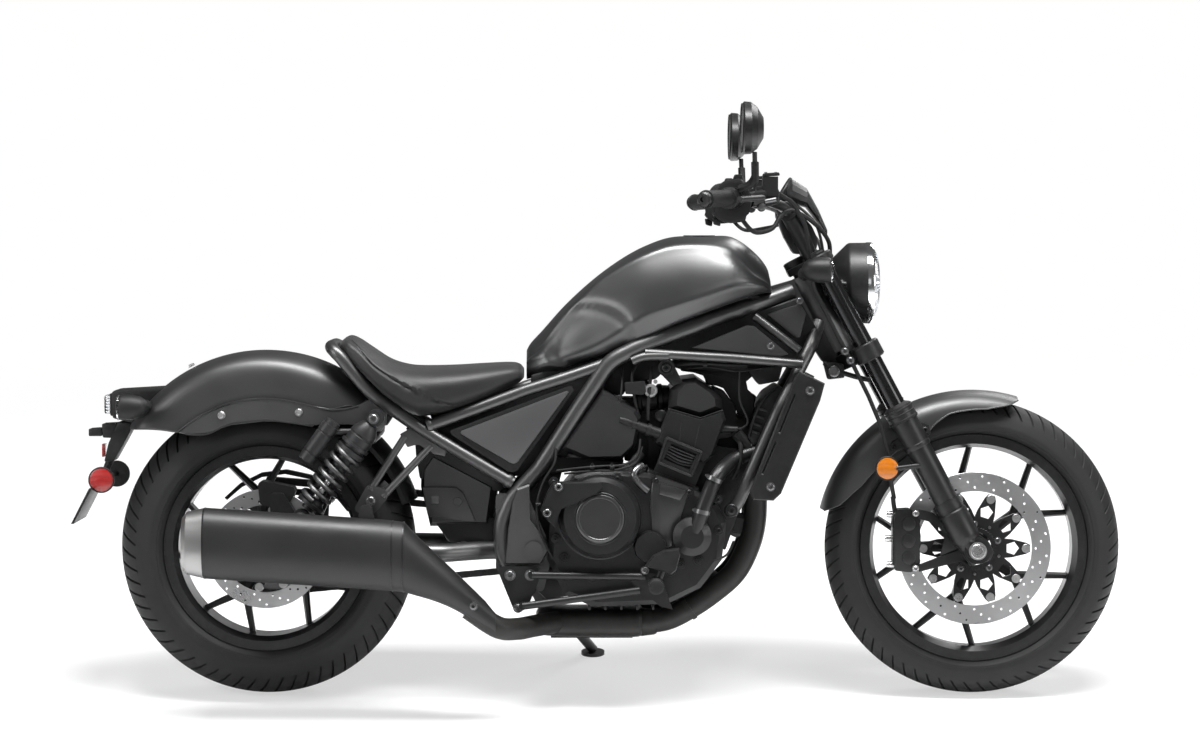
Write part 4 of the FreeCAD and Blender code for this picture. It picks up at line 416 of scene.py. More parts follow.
# Thin road dust that lies low on the machine, broken up by noise
def dustGroup():
    tree, kit, start, end = newGroup("roadDust", [("Amount", "NodeSocketFloat", 0.3), ("Top", "NodeSocketFloat", 0.6)],
        [("Mask", "NodeSocketFloat")])
    geometry = kit.add("ShaderNodeNewGeometry")
    split = kit.add("ShaderNodeSeparateXYZ")
    kit.link(geometry.outputs["Position"], split.inputs[0])
    low = kit.add("ShaderNodeMapRange", in_From_Min=0.0, in_To_Min=1.0, in_To_Max=0.0)
    kit.link(split.outputs["Z"], low.inputs["Value"])
    kit.link(start.outputs["Top"], low.inputs["From Max"])
    noise = kit.noise(8.0, 0.7, 35.0)
    broken = kit.ramp(noise.outputs["Fac"], 0.0, 1.0, 0.42, 0.75)
    kit.link(kit.math("MULTIPLY", kit.math("MULTIPLY", low.outputs["Result"], broken), start.outputs["Amount"], True),
        end.inputs["Mask"])
    return tree


edgeWear = edgeWearGroup()
fineGrain = grainGroup()
roadDust = dustGroup()


def setInputs(node, values):
    for label, value in values.items():
        node.inputs[label].default_value = value


def newMaterial(name):
    material = bpy.data.materials.new(name)
    material.use_nodes = True
    return material, Nodes(material.node_tree), material.node_tree.nodes["Principled BSDF"]


# One finish from its values: colour, gloss, grain, worn edges and dust
finishForm = {
    "wornColor": (0.12, 0.12, 0.122), "dustColor": (0.24, 0.22, 0.2), "cloudGloss": 0.07, "dustGloss": 0.4,
    "grainDepth": 0.0006,
}


def finish(name, color, roughness, metallic, grain, grainScale, cloud, wear, dust, coat, coatRoughness, sheen,
        specular):
    material, kit, shader = newMaterial(name)
    grainNode = kit.group(fineGrain, Scale=grainScale, Cloud_Scale=7.0)
    dark = tuple(c * (1 - cloud) for c in color)
    pale = tuple(min(1.0, c * (1 + cloud)) for c in color)
    base = kit.mix(grainNode.outputs["Cloud"], dark, pale)
    base = kit.mix(kit.group(edgeWear, Amount=wear, Scale=90.0).outputs["Mask"], base, finishForm["wornColor"])
    dustNode = kit.group(roadDust, Amount=dust)
    base = kit.mix(dustNode.outputs["Mask"], base, finishForm["dustColor"])
    kit.link(base, shader.inputs["Base Color"])
    step = finishForm["cloudGloss"]
    rough = kit.ramp(grainNode.outputs["Cloud"], max(0.02, roughness - step), min(1.0, roughness + step), 0.3, 0.7)
    dusty = kit.math("MULTIPLY", dustNode.outputs["Mask"], finishForm["dustGloss"])
    kit.link(kit.math("ADD", rough, dusty, True), shader.inputs["Roughness"])
    setInputs(shader, {"Metallic": metallic, "Specular IOR Level": specular})
    if coat > 0:
        setInputs(shader, {"Coat Weight": coat, "Coat Roughness": coatRoughness})
    if sheen > 0:
        setInputs(shader, {"Sheen Weight": sheen, "Sheen Roughness": 0.5})
    if grain > 0:
        kit.bump(grainNode.outputs["Height"], grain, finishForm["grainDepth"], shader)
    return material


# Columns: color, roughness, metallic, grain, grainScale, cloud, wear, dust, coat, coatRoughness,
# sheen, specular
finishTable = {
    "tankPaint": ((0.015, 0.0153, 0.016), 0.36, 0.3, 0.05, 2500, 0.03, 0, 0, 0.5, 0.32, 0, 0.9),
    "fenderPaint": ((0.0085, 0.0085, 0.0089), 0.46, 0.1, 0.04, 2500, 0.03, 0, 0, 0.2, 0.44, 0, 0.8),
    "coverPaint": ((0.075, 0.075, 0.077), 0.38, 0.4, 0.05, 2500, 0.03, 0, 0, 0.15, 0.35, 0, 0.45),
    "frameGloss": ((0.0042, 0.0042, 0.0045), 0.42, 0, 0.05, 500, 0.06, 0.04, 0.02, 0.5, 0.4, 0, 0.9),
    "satinBlack": ((0.0065, 0.0065, 0.0068), 0.4, 0, 0.08, 700, 0.06, 0.04, 0.02, 0, 0.1, 0, 0.35),
    "castBlack": ((0.0075, 0.0075, 0.0079), 0.38, 0.1, 0.25, 900, 0.06, 0.04, 0.02, 0, 0.1, 0, 0.4),
    "coverBlack": ((0.0095, 0.0095, 0.0098), 0.34, 0.15, 0.12, 900, 0.06, 0.04, 0.02, 0.4, 0.3, 0, 0.7),
    "wheelBlack": ((0.005, 0.005, 0.0054), 0.36, 0, 0.08, 800, 0.06, 0.04, 0.02, 0.15, 0.3, 0, 0.35),
    "silencerSatin": ((0.034, 0.034, 0.0345), 0.44, 0.7, 0.08, 900, 0.06, 0.04, 0.02, 0, 0.1, 0, 0.4),
    "endCap": ((0.3, 0.298, 0.295), 0.36, 0.95, 0.15, 900, 0.06, 0.04, 0.02, 0, 0.1, 0, 0.35),
    "pipeBlack": ((0.012, 0.0115, 0.011), 0.46, 0.3, 0.15, 600, 0.06, 0.04, 0.05, 0, 0.1, 0, 0.4),
    "alloy": ((0.42, 0.42, 0.42), 0.35, 0.9, 0.2, 900, 0.06, 0.04, 0.02, 0, 0.1, 0, 0.35),
    "darkAlloy": ((0.025, 0.025, 0.026), 0.42, 0.5, 0.2, 900, 0.06, 0.04, 0.02, 0, 0.1, 0, 0.35),
    "hardChrome": ((0.03, 0.03, 0.031), 0.16, 0.8, 0.02, 400, 0.06, 0, 0, 0, 0.1, 0, 0.35),
    "discSteel": ((0.46, 0.46, 0.465), 0.32, 0.95, 0.25, 1600, 0.06, 0, 0, 0, 0.1, 0, 0.35),
    "boltSteel": ((0.16, 0.16, 0.163), 0.32, 0.9, 0.1, 400, 0.06, 0, 0.02, 0, 0.1, 0, 0.35),
    "boltBlack": ((0.03, 0.03, 0.031), 0.34, 0.7, 0.1, 400, 0.06, 0, 0.02, 0, 0.1, 0, 0.35),
    "zincSteel": ((0.5, 0.5, 0.5), 0.3, 0.95, 0.1, 400, 0.06, 0, 0, 0, 0.1, 0, 0.35),
    "plastic": ((0.0062, 0.0062, 0.0065), 0.5, 0, 0.35, 1500, 0.06, 0.04, 0.02, 0, 0.1, 0, 0.3),
    "rubber": ((0.007, 0.007, 0.007), 0.6, 0, 0.2, 1200, 0.06, 0, 0.02, 0, 0.1, 0, 0.28),
    "tyreRubber": ((0.0085, 0.0085, 0.0087), 0.62, 0, 0.2, 900, 0.06, 0.02, 0.02, 0, 0.1, 0, 0.3),
    "seatVinyl": ((0.0095, 0.0095, 0.0097), 0.5, 0, 0.6, 1100, 0.06, 0, 0, 0, 0.1, 0.08, 0.35),
    "lampChrome": ((0.8, 0.81, 0.82), 0.12, 1, 0, 400, 0.06, 0, 0, 0, 0.1, 0, 0.35),
    "mirrorGlass": ((0.75, 0.77, 0.8), 0.04, 1, 0, 400, 0.02, 0, 0, 0, 0.1, 0, 0.35),
}
finishes = {name: finish(name, *values) for name, values in finishTable.items()}


# Clear lens that lets what is behind show through
def lens(name, color, roughness=0.04):
    material, kit, shader = newMaterial(name)
    grainNode = kit.group(fineGrain, Scale=300.0)
    kit.link(kit.mix(grainNode.outputs["Cloud"], tuple(c * 0.92 for c in color), color), shader.inputs["Base Color"])
    setInputs(shader, {"Metallic": 0.0, "Transmission Weight": 1.0, "IOR": 1.49})
    kit.link(kit.ramp(grainNode.outputs["Cloud"], roughness, roughness + 0.04), shader.inputs["Roughness"])
    kit.bump(grainNode.outputs["Height"], 0.08, 0.0004, shader)
    return material


# Moulded reflector plastic with a fine prism grid
def prismLens(name, color, cells=520.0):
    material, kit, shader = newMaterial(name)
    coords = kit.add("ShaderNodeTexCoord")
    cell = kit.add("ShaderNodeTexVoronoi", in_Scale=cells, in_Randomness=0.1)
    kit.link(coords.outputs["Object"], cell.inputs["Vector"])
    kit.link(kit.mix(cell.outputs["Distance"], color, tuple(c * 0.45 for c in color)), shader.inputs["Base Color"])
    kit.link(kit.ramp(cell.outputs["Distance"], 0.12, 0.25), shader.inputs["Roughness"])
    shader.inputs["Coat Weight"].default_value = 0.8
    kit.bump(cell.outputs["Distance"], 0.6, 0.0008, shader)
    return material


finishes["clearLens"] = lens("clearLens", (0.95, 0.96, 0.97))
finishes["amber"] = prismLens("amber", (0.6, 0.17, 0.004))
finishes["red"] = prismLens("red", (0.38, 0.009, 0.007))
print("finishes ready:", len(finishes))


# Place of a camera or light that looks from one point at another
def facing(stand, target):
    stand, target = Vector(stand), Vector(target)
    return Matrix.Translation(stand) @ (target - stand).to_track_quat("-Z", "Y").to_matrix().to_4x4()


# Camera at the photo's angle, given in the machine's upright frame
cameraData = bpy.data.cameras.new("mainCamera")
cameraData.sensor_width = 36.0
cameraData.lens = 104.2
cameraData.clip_end = 60.0
camera = bpy.data.objects.new("mainCamera", cameraData)
scene.collection.objects.link(camera)
camera.matrix_world = fromUpright @ facing((0.716, -7.5, 1.002), (0.716, 0.0, 0.705))
scene.camera = camera
scene.view_settings.view_transform = "Standard"

# Soft studio: a broad overhead panel, side fill, a low rim and an even pale surround
lightPlan = [
    ("overheadPanel", (0.3, -0.6, 4.0), (0.35, 0.0, 0.5), (3.4, 0.9), 380.0),
    ("frontFill", (-0.5, -5.2, 2.3), (0.1, 0.0, 0.5), (3.2, 1.4), 9.0),
    ("rearStrip", (2.2, 2.6, 2.6), (0.4, 0.0, 0.6), (2.4, 1.0), 60.0),
    ("tailStrip", (-2.8, -1.6, 1.7), (-0.4, 0.0, 0.5), (1.4, 1.4), 40.0),
    ("noseStrip", (3.4, -2.0, 1.6), (1.0, 0.0, 0.6), (1.4, 1.4), 42.0),
]
for name, stand, target, size, power in lightPlan:
    light = bpy.data.lights.new(name, "AREA")
    light.shape = "RECTANGLE"
    light.size, light.size_y = size
    light.energy = power
    lightObject = bpy.data.objects.new(name, light)
    lightObject.matrix_world = facing(stand, target)
    scene.collection.objects.link(lightObject)

world = bpy.data.worlds.new("studio")
scene.world = world
world.use_nodes = True
kit = Nodes(world.node_tree)
background = world.node_tree.nodes["Background"]
rays = kit.add("ShaderNodeLightPath")
background.inputs["Color"].default_value = (1.0, 1.0, 1.0, 1.0)
seen = kit.math("MAXIMUM", rays.outputs["Is Camera Ray"], rays.outputs["Is Transmission Ray"], True)
kit.link(kit.ramp(seen, 0.11, 1.0), background.inputs["Strength"])

# Pale floor that turns to the white of the surround away from the machine
bpy.ops.mesh.primitive_plane_add(size=40, location=(0, 0, 0))
floor = bpy.context.object
floor.name = "studioFloor"
floorMaterial, kit, shader = newMaterial("floorPaint")
setInputs(shader, {"Base Color": (0.93, 0.93, 0.935, 1.0), "Roughness": 0.75, "Specular IOR Level": 0.2})
glow = kit.add("ShaderNodeEmission", in_Color=(1.0, 1.0, 1.0, 1.0))
geometry = kit.add("ShaderNodeNewGeometry")
distance = kit.add("ShaderNodeVectorMath", operation="LENGTH")
kit.link(geometry.outputs["Position"], distance.inputs[0])
fade = kit.add("ShaderNodeMapRange", interpolation_type="SMOOTHSTEP", in_From_Min=1.1, in_From_Max=3.6)
kit.link(distance.outputs["Value"], fade.inputs["Value"])
blendShader = kit.add("ShaderNodeMixShader")
rays = kit.add("ShaderNodeLightPath")
kit.link(kit.math("MULTIPLY", kit.ramp(fade.outputs["Result"], 0.55, 1.0), rays.outputs["Is Camera Ray"], True),
    blendShader.inputs[0])
kit.link(shader.outputs[0], blendShader.inputs[1])
kit.link(glow.outputs[0], blendShader.inputs[2])
kit.link(blendShader.outputs[0], floorMaterial.node_tree.nodes["Material Output"].inputs["Surface"])
floor.data.materials.append(floorMaterial)
print("camera, lights and floor ready")


# Every CAD node takes a finish
nodeFinish = {
    "frameGloss": "frame_head frame_main frame_down seat_loop swingarm frame_brackets side_stand fender_stays",
    "tankPaint": "fuel_tank",
    "fenderPaint": "rear_fender front_fender frame_panels battery_box meter_cowl",
    "satinBlack": "fork_clamps handlebar bar_controls mirrors cylinders cylinder_head headlamp "
    "radiator_shroud chain_guard front_caliper rear_caliper fork_sliders foot_levers rider_pegs",
    "coverPaint": "side_covers",
    "castBlack": "crankcase clutch_cover engine_covers water_pump",
    "coverBlack": "head_cover inlet_cover",
    "wheelBlack": "front_wheel_rim rear_wheel_rim",
    "pipeBlack": "exhaust_pipes",
    "silencerSatin": "silencer",
    "endCap": "silencer_cap",
    "alloy": "front_axle rear_sprocket",
    "darkAlloy": "shocks tank_cap drive_chain",
    "hardChrome": "fork_tubes",
    "discSteel": "front_disc rear_disc",
    "plastic": "inner_fender radiator plate_bracket tail_lamp front_signals rear_signals",
    "rubber": "grips brake_hose fork_reflectors",
    "tyreRubber": "front_tyre rear_tyre",
    "seatVinyl": "seat",
}
for key, names in nodeFinish.items():
    for name in names.split():
        node = frame["nodes"][name]
        node.data.materials.clear()
        node.data.materials.append(finishes[key])
print("node finishes set")


rearHub = Vector((0, 0, axleHeight))
frontHub = Vector((wheelBase, 0, frontAxleHeight))


# Tyres' outer radius, and the place of a groove's lip and wall as shares of a pitch with its run over the tread
tyreOut = 318
grooveForm = {"lip": 0.1, "wall": 0.076, "from": 0.14, "to": 0.97, "bend": 1.35}


# Side profile of a tyre from bead to bead as (across, out, tread place from -1 to 1 or None)
def tyreProfile(width, crown, rimRadius, rimWidth, rows=13):
    half = width / 2
    crownCentre = tyreOut - crown
    shoulderAngle = math.asin(min(half / crown, 1) * 0.86)
    shoulder = crown * math.sin(shoulderAngle)
    shoulderOut = crownCentre + crown * math.cos(shoulderAngle)
    bead = rimWidth / 2 - 7.6
    seat = rimRadius - 12
    side = [(bead - 12, seat + 1.5), (bead, seat + 1.2), (bead + 4, rimRadius + 1), (bead + 6, rimRadius + 3)]
    waistOut = (shoulderOut + rimRadius) / 2
    waist = [(half - 6, rimRadius + 9), (half - 3.4, rimRadius + 13), (half - 3.2, rimRadius + 14.4),
        (half - 1.6, rimRadius + 15.2), (half - 0.6, waistOut - 4), (half - 0.2, waistOut), (half - 1.4, waistOut + 4),
        ((half + shoulder) / 2 - 0.3, (waistOut + shoulderOut) / 2 + 2)]
    low = [(y, r, None) for y, r in side + waist]
    tread = []
    for i in range(rows * 2 + 1):
        place = i / rows - 1
        angle = shoulderAngle * place
        tread.append((crown * math.sin(angle), crownCentre + crown * math.cos(angle), place))
    return [(-y, r, None) for y, r, _ in low] + tread + low[::-1]


# Tyre with swept grooves cut into its tread, both halves half a pitch apart
def makeTyre(name, hub, profile, pitches, grooves, sweep, depth, body, replaced):
    bm = bmesh.new()
    columns = []
    lip, wall = grooveForm["lip"], grooveForm["wall"]
    for share, side in grooves:
        columns += [(share - lip, 0), (share - wall, side), (share + wall, side), (share + lip, 0)]
    shares = sorted(columns + [(s, 0) for s in (0.05, 0.44, 0.56, 0.94)])
    rings = []
    for y, r, place in profile:
        ring = []
        for pitch in range(pitches):
            for share, side in shares:
                cut = 0.0
                shift = sweep
                if place is not None:
                    shift = sweep * abs(place) ** grooveForm["bend"]
                    if side * place > 0 and grooveForm["from"] < abs(place) < grooveForm["to"]:
                        cut = depth
                turn = math.tau * (pitch + share + shift) / pitches
                out = (r - cut) / 1000
                ring.append(bm.verts.new(hub + Vector((math.cos(turn) * out, y / 1000, math.sin(turn) * out))))
        rings.append(ring)
    count = len(rings[0])
    for first, second in zip(rings, rings[1:] + rings[:1]):
        for i in range(count):
            j = (i + 1) % count
            bm.faces.new((first[i], second[i], second[j], first[j]))
    tyre = makePiece(name, bm, angle=42)
    finishPiece(tyre, body, finishes["tyreRubber"], [replaced])
    return tyre


makeTyre("frontTreadTyre", frontHub, tyreProfile(130, 70, 243, 96), 66, [(0.25, 1), (0.75, -1)], -1, 5.5,
    "front_wheel", "front_tyre")
makeTyre("rearTreadTyre", rearHub, tyreProfile(180, 97, 219, 142, 16), 62, [(0.25, 1), (0.75, -1)], 1, 6, "rear_wheel",
    "rear_tyre")
print("tyres ready")


# Rounded closed ring round one place of a lofted form, from its half width and low and high edges
def sectionRing(bm, x, low, high, half, fullness, waist, count, tuck=None):
    middle = low + (high - low) * waist
    ring = []
    for i in range(count):
        angle = math.tau * i / count
        c, s = math.cos(angle), math.sin(angle)
        y = half * math.copysign(abs(c) ** fullness, c)
        z = middle + ((high - middle) if s >= 0 else (middle - low)) * math.copysign(abs(s) ** fullness, s)
        if tuck:
            y, z = tuck(angle, y, z)
        ring.append(bm.verts.new((x / 1000, y / 1000, z / 1000)))
    return ring


# Values between the rows of a table, along a smooth curve
def smoothTable(table, x):
    for i in range(len(table) - 1):
        first, second = table[i], table[i + 1]
        if first[0] <= x <= second[0]:
            before = table[max(i - 1, 0)]
            after = table[min(i + 2, len(table) - 1)]
            run = second[0] - first[0]
            t = (x - first[0]) / run
            out = []
            for a0, a, b, b1 in zip(before[1:], first[1:], second[1:], after[1:]):
                slopeA = (b - a0) / max(second[0] - before[0], 1) * run
                slopeB = (b1 - a) / max(after[0] - first[0], 1) * run
                out.append((2 * t ** 3 - 3 * t * t + 1) * a + (t ** 3 - 2 * t * t + t) * slopeA
                    + (3 * t * t - 2 * t ** 3) * b + (t ** 3 - t * t) * slopeB)
            return out
    return list(table[-1][1:])


# Seat: moulded cushion with a crowned top and a sewn seam that runs down its side
seatTable = [
    (160, 748, 762, 88), (176, 722, 773, 110), (196, 700, 766, 124), (220, 678, 750, 134), (262, 640, 723, 143),
    (300, 613, 711, 145), (331, 601, 708, 145), (400, 612, 709, 139), (470, 637, 713, 124), (525, 663, 715, 102),
    (543, 673, 711, 90), (551, 681, 702, 80),
]
seatSeam = [(180, 768), (204, 746), (233, 714), (277, 684), (331, 655), (397, 628), (430, 622)]
seatShape = {
    "from": 160, "to": 551, "steps": 120, "count": 96, "fullness": 0.66, "waist": 0.42, "endRun": 12, "endShare": 0.86,
    "seamFrom": 168, "seamTo": 420, "seamDepth": 0.032, "seamWide": 2.6, "welt": 0.012, "weltUp": 7, "weltWide": 4,
}
seatBm = bmesh.new()
seatRings = []
for step in range(seatShape["steps"] + 1):
    x = seatShape["from"] + (seatShape["to"] - seatShape["from"]) * step / seatShape["steps"]
    low, high, half = smoothTable(seatTable, x)
    nearEnd = min(x - seatShape["from"], seatShape["to"] - x)
    ends = min(1, nearEnd / seatShape["endRun"] + seatShape["endShare"])
    seamZ = smoothTable(seatSeam, max(x, seatSeam[0][0]))[0]
    seamHold = max(0, min(1, (x - seatShape["seamFrom"]) / 12, (seatShape["seamTo"] - x) / 30))

    def tuck(angle, y, z, seamZ=seamZ, seamHold=seamHold):
        gap = z - photoLift - seamZ
        y *= 1 - seatShape["seamDepth"] * seamHold * math.exp(-(gap / seatShape["seamWide"]) ** 2)
        y *= 1 + seatShape["welt"] * seamHold * math.exp(-((gap - seatShape["weltUp"]) / seatShape["weltWide"]) ** 2)
        return y, z

    seatRings.append(sectionRing(seatBm, x, low + photoLift, high + photoLift, half * ends, seatShape["fullness"],
        seatShape["waist"], seatShape["count"], tuck))
bridgeRings(seatBm, seatRings)
seatPiece = makePiece("seatCushion", seatBm, angle=60)
finishPiece(seatPiece, "root", finishes["seatVinyl"], ["seat"])


# Point on the seat's side at a height
def seatSide(x, z):
    low, high, half = smoothTable(seatTable, x)
    middle = low + (high - low) * seatShape["waist"]
    reach = (high - middle) if z >= middle else (middle - low)
    s = min(0.98, abs(z - middle) / reach) ** (1 / seatShape["fullness"])
    return half * math.sqrt(1 - s * s) ** seatShape["fullness"]


# Stitches along the seat's side seam
stitchBm = bmesh.new()
for side in (-1, 1):
    places = []
    for step in range(70):
        x = 186 + 220 * step / 69
        z = smoothTable(seatSeam, x)[0] + 3.4
        places.append(place(x, z, side * (seatSide(x, z) + 0.5)))
    for first, second in zip(places, places[1:]):
        middle = (first + second) / 2
        reach = (second - first) * 0.31
        addTube(stitchBm, [middle - reach, middle + reach], 0.6, 6, 1)
stitchPiece = makePiece("seatStitches", stitchBm)
finishPiece(stitchPiece, "root", finishes["rubber"])
print("seat ready")


# Headlamp: glass dome over a bright reflector bowl, held by a bright rim
lampCentre = Vector((1255, 0, 886 + photoLift)) / 1000


lathePiece("headlampShell", [
    (-42, 0), (-42, 47), (-40.5, 51), (-7, 83.6), (-4, 85.6), (0, 86.6), (34, 87), (34.6, 84), (0, 83),
    (-8, 78), (-37, 48), (-38, 0),
], lampCentre, forward, "satinBlack", "steering", ["headlamp"])
lathePiece("headlampRim", [
    (34, 84), (34, 87.4), (36, 88), (45, 88), (48, 86.6), (49.4, 83), (48.6, 80.6), (45, 80), (36, 80.4), (34, 82),
], lampCentre, forward, "lampChrome", "steering")
lathePiece("headlampBowl", [
    (42, 80), (36, 76), (22, 64), (10, 48), (2, 30), (-2, 14), (-2, 0), (-4, 0), (-4, 15), (0, 32), (8, 50), (20, 66),
    (34, 78), (42, 81),
], lampCentre, forward, "lampChrome", "steering")
lathePiece("headlampBulbShield", [
    (4, 0), (4, 10), (26, 12), (31, 10.5), (33, 6), (33.6, 0),
], lampCentre, forward, "lampChrome", "steering", segments=32)
lathePiece("headlampGlass", [
    (42, 80.2), (46, 78.6), (52, 74), (58, 62), (62, 44), (64, 22), (64.5, 0), (61.5, 0), (61, 22), (59, 44), (55, 61),
    (49.5, 72), (43, 77), (40, 79),
], lampCentre, forward, "clearLens", "steering")
print("headlamp ready")


# Round reflectors: a prism disc in a black cup
def reflector(name, centre, direction, radius, material, body):
    lathePiece(name + "Cup", [
        (0, 0), (0, radius + 1.6), (5, radius + 1.6), (6, radius + 0.6), (6, radius - 1.2), (4, radius - 1.6), (4, 0),
    ], centre, direction, "plastic", body, segments=48)
    lathePiece(name, [
        (3.8, 0), (3.8, radius - 1.8), (6, radius - 1.8), (6.8, radius - 3.5), (7.4, 0),
    ], centre, direction, material, body, segments=48)


# Fuel tank: x, spine height, then across and height of the upper crease, the lower crease and the hem
tankTable = [
    (558, 742, 30, 724, 42, 702, 36,
        680), (566, 756, 42, 734, 56, 705, 46, 682), (590, 782, 56, 756, 76, 711, 60, 690),
    (640, 838, 72, 818, 98, 728, 84,
        704), (700, 893, 84, 881, 118, 751, 104, 723), (760, 937, 94, 922, 136, 786, 116, 747),
    (813, 966, 101, 949, 147, 822, 122,
        771), (870, 985, 104, 967, 152, 841, 126, 797), (945, 987, 104, 970, 152, 864, 126, 826),
    (992, 987, 98, 961, 148, 880, 122,
        843), (1020, 975, 90, 940, 141, 886, 117, 853), (1046, 955, 81, 910, 130, 886, 110, 862),
    (1066, 934, 70, 894, 112, 882, 98,
        866), (1078, 914, 58, 884, 92, 876, 84, 867), (1083, 892, 48, 878, 76, 872, 72, 868),
]


def softCorner(points, radius):
    out = [points[0]]
    for before, corner, after in zip(points, points[1:], points[2:]):
        toBefore, toAfter = before - corner, after - corner
        reach = min(radius, toBefore.length * 0.45, toAfter.length * 0.45)
        start = corner + toBefore.normalized() * reach
        end = corner + toAfter.normalized() * reach
        for share in (0, 0.25, 0.5, 0.75, 1):
            out.append((1 - share) ** 2 * start + 2 * share * (1 - share) * corner + share ** 2 * end)
    out.append(points[-1])
    return out


def tankSection(x):
    top, yA, zA, yB, zB, yC, zC = smoothTable(tankTable, x)
    shoulder = [Vector((0, top, 0))]
    for share in (0.25, 0.5, 0.75):
        shoulder.append(Vector((yA * share, top - (top - zA) * share ** 2.6, 0)))
    corners = [Vector((y, z, 0)) for y, z in ((yA, zA), (yB, zB), (yC, zC), (yC * 0.4, zC - 1))]
    return shoulder[:-1] + softCorner(shoulder[-1:] + corners, tankShape["corner"])


# Points added on each run of the section, so every ring has the same count; the scoop is the knee's hollow
tankShape = {"steps": 110, "runParts": {3: 2, 8: 8, 13: 4, 18: 4}, "sideRun": 8, "sideSwell": 5, "corner": 11}
scoop = {"x": 690, "z": 768, "halfX": 112, "halfZ": 84, "flat": 0.45, "depth": 12}
tankBm = bmesh.new()
tankRings = []
for step in range(tankShape["steps"] + 1):
    x = tankTable[0][0] + (tankTable[-1][0] - tankTable[0][0]) * step / tankShape["steps"]
    half = tankSection(x)
    dense = []
    for index, (first, second) in enumerate(zip(half, half[1:])):
        parts = tankShape["runParts"].get(index, 1)
        for k in range(parts):
            share = k / parts
            p = first.lerp(second, share)
            if index == tankShape["sideRun"]:
                way = (second - first).normalized()
                p = p + Vector((-way.y, way.x, 0)) * tankShape["sideSwell"] * math.sin(math.pi * share)
            dense.append(p)
    dense.append(half[-1])
    ring = []
    for p in dense:
        y, z = p.x, p.y
        d = ((x - scoop["x"]) / scoop["halfX"]) ** 2 + ((z - scoop["z"]) / scoop["halfZ"]) ** 2
        fade = min(1, max(0, (d - scoop["flat"]) / (1 - scoop["flat"])))
        inward = scoop["depth"] * (1 - fade ** 2 * (3 - 2 * fade)) * min(1, max(0, (y - 60) / 30))
        ring.append((y - inward, z))
    left = [tankBm.verts.new((x / 1000, -y / 1000, (z + photoLift) / 1000)) for y, z in ring]
    right = [tankBm.verts.new((x / 1000, y / 1000, (z + photoLift) / 1000)) for y, z in reversed(ring[1:])]
    tankRings.append(left + right)
bridgeRings(tankBm, tankRings)
tankPiece = makePiece("tankShell", tankBm, angle=28)
finishPiece(tankPiece, "root", finishes["tankPaint"], ["fuel_tank"])
print("tank ready")


# Floating brake disc: drilled steel ring, black lattice carrier, silver buttons and hub bolts
frontDisc = {
    "y": -62, "thick": 5, "outer": 163.5, "inner": 123.5, "buttons": 110.5, "tip": 119, "valley": 66,
    "holeRows": (0.2, 0.5, 0.8), "holes": 60, "holeRadius": 2.9, "hub": 37, "boltCircle": 52, "cutOut": 15.5,
    "cutCircle": 81, "turn": 0, "straight": True,
}
rearDisc = {
    "y": -76, "thick": 5, "outer": 127.5, "inner": 94, "buttons": 84, "tip": 91, "valley": 56,
    "holeRows": (0.22, 0.5, 0.78), "holes": 48, "holeRadius": 2.8, "hub": 36, "boltCircle": 47, "cutOut": 9,
    "cutCircle": 66, "turn": 8, "straight": False,
}


def buildDisc(label, values, hub, body, replaced):
    middle = (hub.x * 1000, hub.z * 1000 - photoLift)
    y = values["y"]

    def ring(bm):
        outlines = [circle(*middle, values["outer"], 128), circle(*middle, values["inner"], 128)]
        for i in range(values["holes"]):
            row = values["holeRows"][i % 3]
            radius = values["inner"] + (values["outer"] - values["inner"]) * row
            outlines.append(circle(*around(middle, 360 / values["holes"] * i + values["turn"], radius),
                values["holeRadius"], 12))
        addCutPlate(bm, outlines, y, values["thick"], 0.4)

    def carrier(bm):
        star = []
        cuts = []
        steps = [(values["valley"] + 14, 19), (values["buttons"], 11.5), (values["tip"], 7)]
        for i in range(10):
            centre = 36 * i + values["turn"]
            side = math.radians(centre + 90)
            if values["straight"]:
                for way, arm in ((-1, steps), (1, steps[::-1])):
                    for out, half in arm:
                        x, z = around(middle, centre, out)
                        star.append((x + way * half * math.cos(side), z + way * half * math.sin(side)))
                star.append(around(middle, centre + 18, values["valley"]))
            else:
                for turn, out in ((-13, values["valley"] + 6), (-6, values["buttons"]), (-3, values["tip"]),
                        (3, values["tip"]), (6, values["buttons"]), (13, values["valley"] + 6)):
                    star.append(around(middle, centre + turn, out))
            cuts.append(circle(*around(middle, centre, values["cutCircle"]), values["cutOut"], 5,
                math.radians(centre)))
        outlines = [star, circle(*middle, values["hub"], 48)] + cuts
        addCutPlate(bm, outlines, y, values["thick"] + 1.5, 0.6)

    def buttons(bm):
        for i in range(10):
            x, z = around(middle, 36 * i + values["turn"], values["buttons"])
            sideLathe(bm, [(-5.5, 4.2), (-5.5, 8.6), (-4.6, 9.4), (4.6, 9.4), (5.5, 8.6), (5.5, 4.2), (4.2, 3.8),
                (4.2, 0)], x, z, y)

    def bolts(bm):
        for i in range(5):
            x, z = around(middle, 72 * i + 19, values["boltCircle"])
            sideBolt(bm, x, z, y - 3.2, 6, 4)
            x, z = around(middle, 72 * i + 54.5, values["boltCircle"] + 3)
            sideLathe(bm, [(0, 0), (0, 3.4), (2.2, 3), (2.6, 0)], x, z, y - 3.2, 16)

    def toneRing(bm):
        outlines = [[around(middle, 360 / 96 * i, 47.0 if i % 2 else 43.6) for i in range(96)],
            circle(*middle, 36.5, 48)]
        addCutPlate(bm, outlines, y - 5.4, 2, 0.3)

    for name, fill, material, slot in (
            ("DiscRing", ring, "discSteel", "disc_steel"), ("DiscCarrier", carrier, "wheelBlack", "black_metal"),
            ("DiscButtons", buttons, "zincSteel", "disc_steel"), ("DiscBolts", bolts, "boltSteel", "disc_steel"),
            ("ToneRing", toneRing, "boltBlack", "black_metal")):
        builtPiece(label + name, fill, material, body, [replaced])


